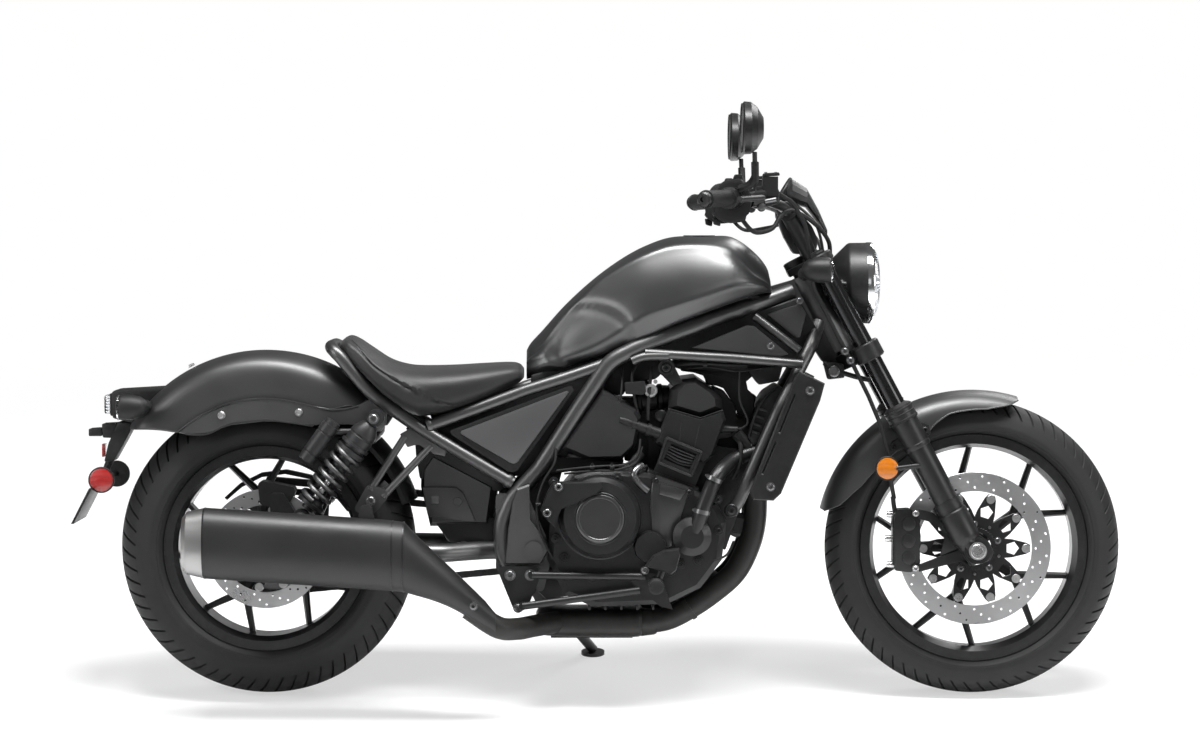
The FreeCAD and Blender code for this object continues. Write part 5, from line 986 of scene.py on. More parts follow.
buildDisc("front", frontDisc, frontHub, "front_wheel", "front_disc")
buildDisc("rear", rearDisc, rearHub, "rear_wheel", "rear_disc")
print("brake discs ready")


# Rim lip lines and tyre valve
def wheelTrim(label, hub, rim, halfWidth, body):
    def lips(bm):
        for side in (-1, 1):
            addLathe(bm, [(side * (halfWidth - 2.5), rim - 1), (side * (halfWidth + 0.6), rim - 0.6),
                (side * (halfWidth + 0.6), rim + 1), (side * (halfWidth - 2.5), rim + 1.2),
                (side * (halfWidth - 2.5), rim - 1)], hub, acrossWay, 128)

    def valve(bm):
        x, z = around((hub.x * 1000, hub.z * 1000 - photoLift), 200, rim - 20)
        sideLathe(bm, [(0, 0), (0, 4.2), (6, 4), (8, 2.6), (24, 2.6), (24, 3.6), (34, 3.6), (35, 3), (35, 0)], x, z, 4,
            16)

    builtPiece(label + "RimLips", lips, "wheelBlack", body)
    builtPiece(label + "TyreValve", valve, "boltSteel", body)


wheelTrim("front", frontHub, 243, 48, "front_wheel")
wheelTrim("rear", rearHub, 219, 71, "rear_wheel")
print("wheel trim ready")


# Bright axle nut
@built("zincSteel", "steering", "bare_alloy")
def frontAxleNut(bm):
    x, z = wheelBase * 1000, frontAxleHeight * 1000 - photoLift
    sideLathe(bm, [(0, 0), (0, 14.5), (1.5, 15.5), (5, 15.5), (6, 14.5), (6, 11), (4.6, 10.4), (4.6, 7.4), (1.4, 7),
        (1.4, 0)], x, z, -134.9, 48)


# Front caliper: two bolted halves over the disc on a forked bracket, pad pins and a bleed nipple
frontCaliper = {
    "half": [(1347, 402), (1378, 404), (1398, 396), (1402, 380), (1396, 366), (1402, 350), (1402, 326), (1396, 310),
        (1402, 294), (1398, 276), (1380, 268), (1347, 272), (1344, 300), (1344, 376)],
    "bridge": [(1342, 392), (1352, 396), (1352, 280), (1342, 284)],
    "bracket": [(1396, 404), (1426, 398), (1472, 360), (1500, 338), (1522, 346), (1534, 318), (1518, 292), (1496, 298),
        (1398, 270), (1392, 284), (1438, 302), (1480, 314), (1484, 321), (1478, 328), (1432, 376), (1396, 384)],
    "web": [(1438, 378), (1484, 322), (1442, 304), (1452, 340)],
}


@built("castBlack", "steering", "black_metal", "front_caliper")
def frontCaliperBody(bm):
    addPlate(bm, frontCaliper["half"], -97, -67, 4)
    addPlate(bm, frontCaliper["half"], -57, -38, 4)
    addPlate(bm, frontCaliper["bridge"], -92, -42, 3)
    for z in (372, 336, 300):
        sideLathe(bm, [(0, 0), (0, 15), (3, 14), (4, 11), (4, 0)], 1376, z, -96, 32)


@built("satinBlack", "steering", "black_metal", "front_caliper")
def frontCaliperBracket(bm):
    addPlate(bm, frontCaliper["bracket"], -104, -96, 1.8)
    addPlate(bm, frontCaliper["web"], -101, -98, 0.8)


@built("zincSteel", "steering", "disc_steel", "front_caliper")
def frontCaliperPins(bm):
    for x, z in ((1330, 392), (1326, 340), (1330, 284)):
        addLathe(bm, [(0, 0), (0, 6), (5, 7.2), (16, 7.2), (20, 5), (36, 5), (36, 0)], place(x, z, -78),
            Vector((1, 0, 0)), 20)
    for x, z, r in ((1390, 396, 5.5), (1390, 278, 5.5)):
        sideBolt(bm, x, z, -103.5, r, 4)


print("front brake ready")


# Bolt bosses and machined lines on the engine's side
engineSide = {
    "caseBolts": [(753, 474), (618, 466), (622, 347), (640, 306), (835, 470), (905, 445), (966, 430), (968, 364),
        (925, 300), (888, 292), (866, 276), (806, 266), (700, 262), (652, 268)],
    "coverRim": (716, 391.7), "rimBolts": 8,
    "headLines": [[(889, 591), (885, 552)], [(928, 589), (917, 540)]],
}


@built("castBlack", "root", "engine_black")
def caseBosses(bm):
    for x, z in engineSide["caseBolts"]:
        sideLathe(bm, [(0, 0), (0, 11), (14, 10), (15, 9.4), (15, 0)], x, z, -141)


@built("boltBlack", "root", "engine_black")
def caseBolts(bm):
    for x, z in engineSide["caseBolts"]:
        sideBolt(bm, x, z, -156, 5.6, 5)


@built("boltBlack", "root", "engine_black")
def clutchCoverLines(bm):
    x, z = engineSide["coverRim"]
    sideLathe(bm, [(0, 87.4), (0, 90.2), (3, 90.2), (3.6, 88.4), (3.6, 87.4), (0, 87.4)], x, z, -150, 96)
    sideLathe(bm, [(0, 51.2), (0, 55), (1.2, 56), (2, 55), (2, 52.4), (1, 51.2), (0, 51.2)], x, z, -191.4, 96)
    for turn in (4, 184):
        near, far = around((x, z), turn, 58), around((x, z), turn, 77)
        addTube(bm, [place(*near, -191.4), place(*far, -190.6)], 1, 8, 1)


@built("coverBlack", "root", "engine_black")
def clutchCoverCap(bm):
    x, z = engineSide["coverRim"]
    sideLathe(bm, [(0, 50.6), (1.8, 50.6), (3, 49), (3.2, 44), (2.4, 43), (2.4, 0)], x, z, -191.2, 96)
    for side in ((629, 460), (604.6, 405)):
        addLathe(bm, [(0, 0), (0, 11), (2, 10.6), (2, 0)], place(*side, -198), -acrossWay, 24)


@built("boltSteel", "root", "engine_black")
def clutchGuardBolts(bm):
    for side in ((629, 460), (604.6, 405)):
        addBolt(bm, place(*side, -201), -acrossWay, 8.2, 5.5, washer=False, socket=True)


# Fins, ribs and seams of the cylinder head, its side vent and the crankcase riser
@built("castBlack", "root", "engine_black")
def cylinderHeadRibs(bm):
    for line in engineSide["headLines"]:
        addTube(bm, [place(x, z, -131.8) for x, z in line], 1.1, 8, 1)
    seam = [(861, 621), (930, 601), (977, 618)]
    addTube(bm, [place(x, z, -125.4) for x, z in seam], 1.6, 8, 1)
    vent = [(857, 560), (932, 529), (910, 478), (840, 507)]
    for first, second in zip(vent, vent[1:] + vent[:1]):
        addTube(bm, [place(*first, -144), place(*second, -144)], 3, 10, 1)
    for share in (0.14, 0.3, 0.46, 0.62, 0.78):
        start = Vector((867, 548)).lerp(Vector((851, 514)), share)
        end = Vector((922, 525)).lerp(Vector((906, 492)), share)
        sag = Vector((-2, -6)) * share
        middle = (start + end) / 2 + sag
        addRun(bm, [(start.x, start.y, -136), (middle.x, middle.y, -139), (end.x, end.y, -136)], 2.2, 8, 6)


@built("coverBlack", "root", "engine_black")
def crankcaseRiser(bm):
    addPlate(bm, [(836, 482), (902, 458), (908, 448), (896, 420), (868, 330), (846, 326), (826, 352), (822, 420),
        (826, 466)], -158, -146, 4)
    addPlate(bm, [(843, 467), (898, 448), (886, 428), (841, 441)], -163, -156, 3)


@built("rubber", "root", "grip_rubber")
def coolantElbows(bm):
    addRun(bm, [(803, 524, -112), (792, 512, -122), (786, 496, -126), (784, 488, -126)], 10, 16, 6)
    addRun(bm, [(1008, 566, -96), (1024, 548, -96), (1040, 530, -92)], 13, 16, 6)


@built("boltSteel", "root", "bare_alloy")
def oilElbow(bm):
    addRun(bm, [(806, 500, -130), (795, 494, -140), (788, 481, -148), (800, 462, -150), (818, 446, -152)], 7.5, 16, 6)


# Hose clamps: thin steel bands with a screw head
def bandRound(bm, centre, way, radius):
    addLathe(bm, [(-4.5, radius), (-4.5, radius + 1), (4.5, radius + 1), (4.5, radius)], centre, way, 32)
    along, side, up = frameAlong(way)
    addLathe(bm, [(-5, 0), (-5, 2.6), (5, 2.6), (5, 0)], centre + up * ((radius + 2.4) / 1000), side, 12)


@built("boltSteel", "root", "bare_alloy")
def hoseBands(bm):
    bandRound(bm, place(932, 405, -172), Vector((0.22, 0, 1)), 16.6)
    bandRound(bm, place(958, 474, -166), Vector((0.45, 0, 1)), 16.6)
    bandRound(bm, place(1032, 540, -92), Vector((0.7, 0, -0.7)), 13.4)
    bandRound(bm, place(785, 492, -126), Vector((0.1, 0, 1)), 10.4)


# Fuel rail block, its bright union, the injector and the plug connector
@built("plastic", "root", "black_plastic")
def fuelRailBlock(bm):
    addPlate(bm, [(768, 677), (812, 680), (814, 655), (806, 650), (770, 652)], -128, -84, 3)
    addLathe(bm, [(0, 0), (0, 7), (14, 9.5), (30, 9.5), (30, 11.5), (36, 11.5), (36, 10), (62, 11), (62, 13.5),
        (70, 13.5), (70, 11.5), (92, 12.5), (92, 0)], place(757, 598, -128), Vector((0.93, 0.12, -0.34)), 24)
    addLathe(bm, [(0, 0), (0, 5.5), (16, 6.5), (34, 8), (52, 9.5), (52, 0)], place(1010, 577, -118),
        Vector((-0.98, 0.2, 0)), 20)


@built("zincSteel", "root", "bare_alloy")
def fuelUnion(bm):
    sideLathe(bm, [(0, 8), (0, 13), (2, 14.5), (10, 14.5), (12, 13), (12, 8.5), (6, 7.5), (6, 0)], 824, 659, -112, 32)
    sideLathe(bm, [(0, 0), (0, 4.5), (9, 4.5), (9, 0)], 834, 678, -112, 20)


@built("satinBlack", "root", "engine_black")
def engineMountBoss(bm):
    sideLathe(bm, [(0, 0), (0, 19), (26, 19), (28, 17.6), (28, 12), (25, 11.5), (25, 0)], 857, 708, -94, 40)
    addPlate(bm, [(838, 702), (852, 690), (870, 668), (892, 676), (880, 700), (872, 716)], -112, -100, 2)


@built("boltBlack", "root", "engine_black")
def engineMountBolts(bm):
    sideBolt(bm, 857, 708, -119, 9, 6, False)
    sideLathe(bm, [(0, 0), (0, 15), (10, 14), (12, 12), (12, 0)], 995, 405, -132, 32)
    sideBolt(bm, 995, 405, -144, 8.5, 4, False)


# Wiring, breather hoses and cables round the engine
engineLines = [
    (2.6, [(624, 490, -146), (682, 497, -152), (722, 500, -150), (766, 503, -148), (795, 522, -138),
        (802, 556, -126)]),
    (2.2, [(640, 484, -150), (700, 490, -154), (748, 492, -152), (790, 506, -142), (806, 540, -124)]),
    (3, [(622, 536, -132), (619, 505, -140), (596, 466, -146), (583, 420, -150), (586, 372, -150), (602, 330, -148),
        (618, 300, -146)]),
    (2.4, [(1013, 700, -120), (1013, 640, -124), (1030, 596, -124), (1020, 580, -122), (1006, 577, -118)]),
    (4, [(826, 710, -104), (822, 672, -118), (819, 630, -120), (818, 596, -112)]),
    (3, [(796, 716, -96), (784, 690, -118), (790, 640, -120), (800, 600, -110)]),
    (2.4, [(764, 706, -100), (762, 664, -122), (758, 628, -124)]),
    (3.4, [(880, 712, -92), (930, 716, -104), (980, 714, -108), (1030, 712, -104)]),
    (2.6, [(900, 704, -84), (952, 708, -100), (1010, 700, -108), (1060, 706, -104)]),
    (5, [(1000, 470, -112), (1012, 500, -118), (1016, 540, -112), (1002, 560, -100)]),
    (2.4, [(958, 300, -158), (985, 312, -150), (1000, 340, -138)]),
]


@built("rubber", "root", "grip_rubber")
def engineWiring(bm):
    for radius, points in engineLines:
        addRun(bm, points, radius, 10)


@built("plastic", "root", "black_plastic")
def wireTies(bm):
    for x, z, y, way in ((700, 497, -152, (1, 0, 0.05)), (742, 498, -151, (1, 0, 0.1)), (585, 420, -150, (0, 0, 1)),
            (940, 714, -104, (1, 0, 0))):
        bandRound(bm, place(x, z, y), Vector(way), 4.6)


# Sump ribs and oil filter under the engine
@built("castBlack", "root", "engine_black")
def sumpRibs(bm):
    for i in range(5):
        x = 690 + i * 34
        addPlate(bm, [(x, 205), (x + 6, 205), (x + 6, 190), (x + 1, 190)], -112, 112, 1.5)
    addLathe(bm, [(0, 0), (0, 33), (42, 33), (50, 30), (54, 22), (54, 0)], place(930, 246, 20),
        Vector((0.82, 0, -0.57)), 40)


print("engine details ready")


# Fasteners seen on the frame, panels, fender stays and brackets
boltPlan = [
    (1078.6, 753.9, -125, 6.5, 4), (1142.8, 849.4, -79, 6, 4), (1158.6, 662, -190, 7.5, 4), (1076, 459, -190, 7.5, 4),
    (525, 268, -144, 9, 6), (568, 268, -144, 9, 6), (542, 198, -144, 8, 5), (237, 602, -166, 9, 6),
    (82, 392, -166, 9, 6), (230, 427, -151, 8.5, 6), (451, 214, -258, 7.5, 4), (811, 281, -174, 6.5, 4),
]


@built("boltSteel", "root", "bare_alloy")
def frameBolts(bm):
    for x, z, y, radius, height in boltPlan:
        sideBolt(bm, x, z, y, radius, height)


@built("boltSteel", "steering", "bare_alloy")
def clampBolts(bm):
    for x, z in ((1236, 743), (1248, 723.6)):
        sideBolt(bm, x, z, -126, 6.5, 5)


# Node's limits in upright millimetres
def uprightLimits(name):
    piece = frame["nodes"][name]
    points = [toUpright @ (piece.matrix_world @ v.co) for v in piece.data.vertices]
    return [(min(p[i] for p in points) * 1000, max(p[i] for p in points) * 1000) for i in range(3)]


# Rear dampers: oil cylinder, adjuster rings, coil spring and a bright rod
damper = {
    "foot": (82, 392), "top": (241, 603), "y": 152, "coil": 29, "wire": 5.2, "turns": 6.5, "coilFrom": 0.17,
    "coilTo": 0.66, "reservoir": ((92, 512), (152, 596)), "reservoirY": 158, "reservoirRadius": 19,
}


def damperParts(side):
    foot, top = place(*damper["foot"], side * damper["y"]), place(*damper["top"], side * damper["y"])
    along = (top - foot).normalized()
    length = (top - foot).length * 1000
    label = "right" if side < 0 else "left"

    def shareLathe(bm, profile, segments=48):
        addLathe(bm, [(length * share, out) for share, out in profile], foot, along, segments)

    def body(bm):
        shareLathe(bm, [(0.62, 16), (0.64, 32), (0.68, 33), (0.69, 26), (0.705, 26), (0.71, 33), (0.735, 33),
            (0.74, 29), (0.8, 29), (0.805, 27.6), (0.815, 27.6), (0.82, 29), (0.86, 28), (0.93, 17), (0.95, 0)])
        shareLathe(bm, [(0.08, 0), (0.08, 14), (0.11, 15), (0.12, 31), (0.15, 32), (0.16, 24), (0.2, 20), (0.2, 0)])
        shareLathe(bm, [(0.42, 0), (0.42, 17), (0.64, 17.5), (0.64, 0)], 40)
        for centre in (foot, top):
            addLathe(bm, [(-14, 9), (-14, 17), (-12, 18), (12, 18), (14, 17), (14, 9), (-14, 9)], centre, acrossWay,
                40)

    def rod(bm):
        shareLathe(bm, [(0.14, 0), (0.14, 7), (0.45, 7), (0.45, 0)], 32)

    def coil(bm):
        way, across, up = frameAlong(along)
        points = []
        steps = int(damper["turns"] * 24)
        for i in range(steps + 1):
            share = i / steps
            turn = math.tau * damper["turns"] * share
            out = damper["coil"] / 1000
            run = (damper["coilFrom"] + (damper["coilTo"] - damper["coilFrom"]) * share) * length / 1000
            points.append(foot + way * run + (across * math.cos(turn) + up * math.sin(turn)) * out)
        addTube(bm, points, damper["wire"], 10, 1)

    def reservoir(bm):
        low = place(*damper["reservoir"][0], side * damper["reservoirY"])
        high = place(*damper["reservoir"][1], side * damper["reservoirY"])
        way = (high - low).normalized()
        run = (high - low).length * 1000
        r = damper["reservoirRadius"]
        addLathe(bm, [(0, 0), (0, r - 3), (2, r - 1), (run * 0.18, r - 0.6), (run * 0.19, r - 1.8),
            (run * 0.21, r - 1.8), (run * 0.22, r), (run * 0.68, r), (run * 0.69, r - 1.2), (run * 0.71, r - 1.2),
            (run * 0.72, r), (run * 0.86, r + 0.6), (run * 0.9, r + 0.6), (run * 0.91, r - 2), (run, r - 2.6),
            (run + 2, 0)], low, way, 48)
        bridge = low.lerp(high, 0.68)
        addTube(bm, [bridge, bridge + Vector((0.03, -side * 0.004, 0.004)), foot + along * (length * 0.86 / 1000)], 7,
            14, 6)

    pieces = (("DamperBody", body, "darkAlloy", "shock_metal"), ("DamperRod", rod, "zincSteel", "shock_metal"),
        ("DamperCoil", coil, "frameGloss", "shock_metal"), ("DamperReservoir", reservoir, "darkAlloy", "shock_metal"))
    for name, fill, material, slot in pieces:
        builtPiece(label + name, fill, material, "root", ["shocks"])


damperParts(-1)
damperParts(1)
print("dampers ready")


# Chain links and a toothed sprocket
chain = {"y": 104, "rear": (0, 318), "front": (660, 318), "rearRadius": 112.5, "frontRadius": 50.5, "links": 118}
sprocket = {"teeth": 45, "root": 107, "tip": 114, "holeCircle": 78, "boltCircle": 56, "thick": 6.5}


def chainPath():
    rearX, rearZ = chain["rear"]
    frontX, frontZ = chain["front"]
    gap = math.hypot(frontX - rearX, frontZ - rearZ)
    lean = math.atan2(frontZ - rearZ, frontX - rearX)
    spread = math.asin((chain["rearRadius"] - chain["frontRadius"]) / gap)
    top, low = lean + math.pi / 2 - spread, lean - math.pi / 2 + spread
    path = []
    for centre, radius, start, sweep, steps in (
            (chain["front"], chain["frontRadius"], top, top - low, 40),
            (chain["rear"], chain["rearRadius"], low, math.tau - (top - low), 80)):
        path += [around(centre, math.degrees(start - sweep * i / steps), radius) for i in range(steps + 1)]
    return path + path[:1]


def evenPoints(path, count):
    lengths = [math.dist(a, b) for a, b in zip(path, path[1:])]
    total = sum(lengths)
    points = []
    for i in range(count):
        want = total * i / count
        run = 0.0
        for (a, b), length in zip(zip(path, path[1:]), lengths):
            if run + length >= want and length > 0:
                share = (want - run) / length
                points.append((a[0] + (b[0] - a[0]) * share, a[1] + (b[1] - a[1]) * share))
                break
            run += length
    return points


@built("darkAlloy", "root", "shock_metal", "drive_chain")
def chainLinks(bm):
    points = evenPoints(chainPath(), chain["links"])
    for i, first in enumerate(points):
        second = points[(i + 1) % len(points)]
        lean = math.atan2(second[1] - first[1], second[0] - first[0])
        outline = []
        for centre, start in ((first, math.degrees(lean) + 90), (second, math.degrees(lean) - 90)):
            outline += [around(centre, start + 36 * k, 6.6) for k in range(6)]
        for side in (-1, 1):
            y = chain["y"] + side * (9.6 if i % 2 else 6.6)
            addPlate(bm, outline, y - 0.9, y + 0.9)
        addLathe(bm, [(-10.8, 0), (-10.8, 2.6), (10.8, 2.6), (10.8, 0)], place(*first, chain["y"]), acrossWay, 8)
        addLathe(bm, [(-5.6, 2.6), (-5.6, 4.8), (5.6, 4.8), (5.6, 2.6)], place(*first, chain["y"]), acrossWay, 10)


@built("boltSteel", "rear_wheel", "bare_alloy", "rear_sprocket")
def sprocketPlate(bm):
    middle, teeth = chain["rear"], sprocket["teeth"]
    rim = [around(middle, 90 / teeth * i, sprocket["tip" if i % 4 in (1, 2) else "root"]) for i in range(teeth * 4)]
    holes = [circle(*around(middle, 60 * i + 30, sprocket["holeCircle"]), 15, 20) for i in range(6)]
    addCutPlate(bm, [rim, circle(*middle, 40, 48)] + holes, chain["y"], sprocket["thick"], 0.8)


@built("darkAlloy", "rear_wheel", "bare_alloy", "rear_sprocket")
def sprocketCarrier(bm):
    addLathe(bm, [(-42, 30), (-42, 40), (-10, 44), (-4, 62), (-3.6, 62), (-3.6, 34), (-42, 30)],
        place(*chain["rear"], chain["y"]), acrossWay)
    for i in range(6):
        x, z = around(chain["rear"], 60 * i, sprocket["boltCircle"])
        addBolt(bm, place(x, z, chain["y"] + 3), acrossWay, 7, 6)


print("chain and sprocket ready")


# Foot pegs: ribbed rubber
@mirrored("rubber", "root", "grip_rubber")
def pegRubbers(bm, side):
    profile = [(0, 0), (0, 13)]
    for i in range(9):
        profile += [(4 + i * 9, 16.4), (9 + i * 9, 16.4), (10.5 + i * 9, 14.2), (12 + i * 9, 14.2)]
    profile += [(88, 15), (90, 12), (90, 0)]
    addLathe(bm, profile, place(834, 254, side * 176), acrossWay * side, 32)


# Seat rail and seat loop as one bent round tube each, the loop turning round behind the seat
loopShape = {
    "y": 112, "radius": 14,
    "rail": [(349, 583), (450, 619), (536, 651), (563, 661), (639, 685), (701, 706), (728, 716)],
    "side": [(530, 461), (440, 514), (353, 566), (290, 608), (231, 652), (190, 697), (165, 728)],
    "back": [(150, 743, 104), (142, 750, 78), (141, 751, 40), (141, 751, 0)],
}


@built("frameGloss", "root", "frame_gloss", "seat_loop", angle=50)
def seatTubes(bm):
    side = [(x, z, loopShape["y"]) for x, z in loopShape["side"]] + loopShape["back"]
    whole = [place(x, z, -y) for x, z, y in side] + [place(x, z, y) for x, z, y in reversed(side[:-1])]
    addTube(bm, whole, loopShape["radius"], 24, 8)
    for way in (-1, 1):
        addTube(bm, [place(x, z, way * loopShape["y"]) for x, z in loopShape["rail"]], loopShape["radius"] - 1, 24, 8)
        for x, z, turn in ((352, 585, 0.36), (520, 467, -0.52)):
            addLathe(bm, [(-4, 14), (-4, 15.6), (3, 16.2), (7, 14)], place(x, z, way * loopShape["y"]),
                Vector((math.cos(turn), 0, math.sin(turn))), 24)
    addRun(bm, [(353, 566, -112), (353, 566, 112)], 10, 20, 1)


# Side panels set between the frame tubes: a satin face inside a dark chamfered border
sidePanel = {
    "face": [(420, 573), (646, 659), (650, 656), (541, 507), (534, 503), (526, 505), (420, 567)],
    "border": [(396, 574), (400, 564), (520, 486), (531, 484), (540, 488), (662, 660), (656, 670), (646, 669)],
}


@built("coverPaint", "root", "fender_paint", "side_covers")
def sidePanelFaces(bm):
    addPlates(bm, sidePanel["face"], 118, 127, 2.6)


@built("plastic", "root", "black_plastic", "side_covers", "frame_panels")
def sidePanelBorders(bm):
    addPlates(bm, sidePanel["border"], 104, 120, 4)


@built("fenderPaint", "root", "fender_paint", "frame_panels")
def neckPanels(bm):
    addPlates(bm, [(911, 750), (1028, 798), (1044, 796), (1117, 737), (1098, 732)], 105, 125, 3)
    addPlates(bm, [(1073, 820), (1144, 843), (1157, 822), (1144, 771), (1133, 771)], 58, 78, 3)


# Inner bodies seen between the tubes, and a dark sheet under the tank's hem as painted shade, each as a side outline
# and half its width
innerPlan = {
    "airBoxFloor": (62, [(718, 659), (753, 713), (797, 725), (850, 729), (846, 690), (834, 680), (780, 676),
        (766, 646), (730, 650)]),
    "airBoxBack": (84, [(735, 694), (700, 694), (590, 532), (612, 500), (640, 507), (722, 655)]),
    "airBoxBase": (90, [(612, 522), (655, 509), (768, 509), (762, 494), (640, 488), (600, 476)]),
    "electricsTray": (80, [(362, 576), (372, 592), (560, 660), (700, 716), (722, 690), (566, 474), (520, 474)]),
    # Dark sheet between the tank's hem and the frame tubes: painted shade under the tank
    "tankHemShade": (68, [(568, 690), (700, 730), (813, 778), (945, 834), (1040, 866), (1062, 858), (960, 802),
        (813, 742), (700, 702), (568, 664)]),
    "batteryTray": (80, [(318, 572), (356, 556), (520, 462), (505, 440), (330, 468), (322, 520)]),
    "batteryFoot": (78, [(345, 394), (490, 384), (490, 332), (392, 332), (372, 362)]),
    "fanShroud": (104, [(1096, 668), (1068, 650), (1052, 625), (1038, 588), (1030, 560), (1044, 540), (1062, 556),
        (1112, 660)]),
    "exhaustSide": (70, [(958, 664), (985, 652), (1006, 624), (1010, 588), (996, 556), (960, 552)]),
    "coilBlock": (58, [(1031, 704), (1108, 708), (1100, 676), (1056, 668), (1040, 690)]),
    "frontMount": (66, [(915, 548), (1008, 532), (1040, 508), (1032, 430), (1012, 392), (985, 312), (962, 330),
        (960, 400), (925, 440), (915, 470)]),
    "lowMount": (50, [(575, 285), (650, 285), (660, 215), (600, 205), (575, 230)]),
    "headHoses": (40, [(872, 722), (1110, 712), (1108, 700), (1040, 700), (1010, 694), (960, 702), (900, 698),
        (872, 706)]),
    "hoseMass": (34, [(889, 697), (942, 692), (945, 667), (984, 665), (1008, 629), (1025, 561), (1049, 551),
        (1039, 605), (1054, 643), (1030, 653), (1025, 677), (1054, 692), (1054, 704), (889, 706)]),
    "headPort": (40, [(960, 568), (1010, 562), (1030, 530), (1010, 512), (962, 516)]),
    "intakeBack": (50, [(762, 640), (824, 640), (828, 493), (768, 505)]),
    "intakeSide": (60, [(818, 612), (866, 622), (850, 552), (836, 478), (812, 476), (824, 520), (820, 560)]),
    "headBody": (30, [(1165, 790), (1200, 800), (1226, 740), (1236, 700), (1196, 716), (1180, 740)]),
    "rearMount": (58, [(566, 512), (650, 512), (626, 470), (612, 400), (642, 284), (574, 268), (552, 420)]),
    "neckBody": (30, [(1080, 810), (1150, 842), (1166, 800), (1180, 760), (1150, 735), (1120, 740)]),
}


@built("plastic", "root", "black_plastic")
def innerBodies(bm):
    for half, outline in innerPlan.values():
        addPlate(bm, outline, -half, half, 5)


# Throttle bodies with their flanges, radiator fan slats, horn and the battery's side plate
@built("castBlack", "root", "engine_black")
def throttleBodies(bm):
    for y in (-38, 38):
        addLathe(bm, [(0, 0), (0, 27), (8, 28), (10, 31), (16, 31), (18, 26), (50, 25), (54, 30), (62, 30), (64, 27),
            (86, 25), (86, 0)], place(788, 634, y), Vector((1, 0, 0.05)), 32)
    addRun(bm, [(812, 664, -74), (812, 672, -40), (812, 672, 60)], 9, 16, 4)
    sideLathe(bm, [(0, 0), (0, 13), (20, 13), (22, 10), (22, 0)], 846, 604, -86)


@built("satinBlack", "root", "black_plastic")
def fanSlats(bm):
    for x, z in ((1056, 622), (1050, 606), (1044, 590), (1040, 574)):
        addPlate(bm, [(x, z), (x + 17, z - 6), (x + 16, z - 10), (x - 1, z - 4)], -112, -98, 1.2)
    addTube(bm, [place(x, z, -106) for x, z in ((1088, 662), (1070, 645), (1054, 618), (1042, 586), (1034, 560))], 2.6,
        10, 6)


@built("satinBlack", "root", "black_metal")
def hornDisc(bm):
    sideLathe(bm, [(0, 0), (0, 25), (5, 27), (9, 27), (11, 24), (13, 24), (14, 18), (16, 17), (16, 0)], 1014, 366, -40,
        40)
    addPlate(bm, [(1008, 374), (1020, 374), (1014, 420), (1004, 420)], -40, -36, 1)


@built("fenderPaint", "root", "black_plastic")
def batteryPlate(bm):
    addPlate(bm, [(336, 451), (408, 451), (424, 438), (450, 376), (348, 388)], -90, -80, 1.6)
    sideLathe(bm, [(0, 0), (0, 9.5), (2.4, 9), (2.4, 0)], 412, 420, -89.6, 28)


# Struts' upper bracket, the small gusset at their foot, and the rail ends that run into the main tube
@mirrored("frameGloss", "root", "frame_gloss")
def strutBrackets(bm, side):
    addPlate(bm, [(290, 566), (320, 583), (392, 539), (386, 519), (360, 524), (331, 546), (306, 538)], side * 104,
        side * 118, 2)
    addTube(bm, [place(x, z, side * 128) for x, z in ((862, 733), (812, 732), (784, 722))], 9.6, 18, 4)


@built("coverPaint", "root", "fender_paint")
def strutGusset(bm):
    addPlates(bm, [(238, 449), (257, 468), (277, 449), (265, 434)], 116, 124, 1.5)
    addPlate(bm, [(355, 432), (371, 432), (371, 416), (355, 416)], -92, -88, 1.2)


print("inner bodies ready")


# Fork clamps with their collars, pinch bolts, risers and bar clamps
fork = {
    "ahead": 45, "y": 105, "lowClamp": 484, "lowHalf": 19, "topClamp": 706, "topHalf": 10, "collar": 31.5,
    "boss": 24, "web": 12, "tube": 20.6, "bar": (1116, 1041), "riserY": 34, "sliderTop": 348,
}


@built("satinBlack", "steering", "black_metal", "fork_clamps")
def forkClamps(bm):
    for height, half in ((fork["lowClamp"], fork["lowHalf"]), (fork["topClamp"], fork["topHalf"])):
        for side in (-1, 1):
            centre = steerPoint(fork["ahead"], side * fork["y"], height)
            r = fork["collar"]
            addLathe(bm, [(-half, fork["tube"]), (-half, r - 3), (-half + 3, r), (half - 3, r), (half, r - 3),
                (half, fork["tube"])], centre, steerUp, 48)
        corners = [(-24, -24), (fork["ahead"] - 10, -92), (fork["ahead"] + 12, -92), (fork["ahead"] + 12, 92),
            (fork["ahead"] - 10, 92), (-24, 24)]
        addPrism(bm, [steerPoint(a, y, height - half + 2) for a, y in corners], steerUp * ((half - 2) / 500), 2.5)
    addLathe(bm, [(0, 0), (0, 24), (20, 24), (22, 20), (22, 0)], steerPoint(0, 0, fork["topClamp"]), steerUp, 40)
    addLathe(bm, [(0, 0), (0, 15), (222, 15), (222, 0)], steerPoint(0, 0, fork["lowClamp"]), steerUp, 32)
    for side in (-1, 1):
        foot = steerPoint(fork["ahead"] - 8, side * fork["riserY"], fork["topClamp"])
        head = place(*fork["bar"], side * fork["riserY"])
        addTube(bm, [foot, foot.lerp(head, 0.5), head], 17, 20, 4)
        addLathe(bm, [(-19, 11), (-19, 19), (-17, 21), (17, 21), (19, 19), (19, 11)], head, acrossWay, 40)
        addTube(bm, [steerPoint(fork["ahead"] + 24, side * 66, 640), place(1236, 884, side * 70),
            place(1262, 886, side * 74)], 8, 14, 4)


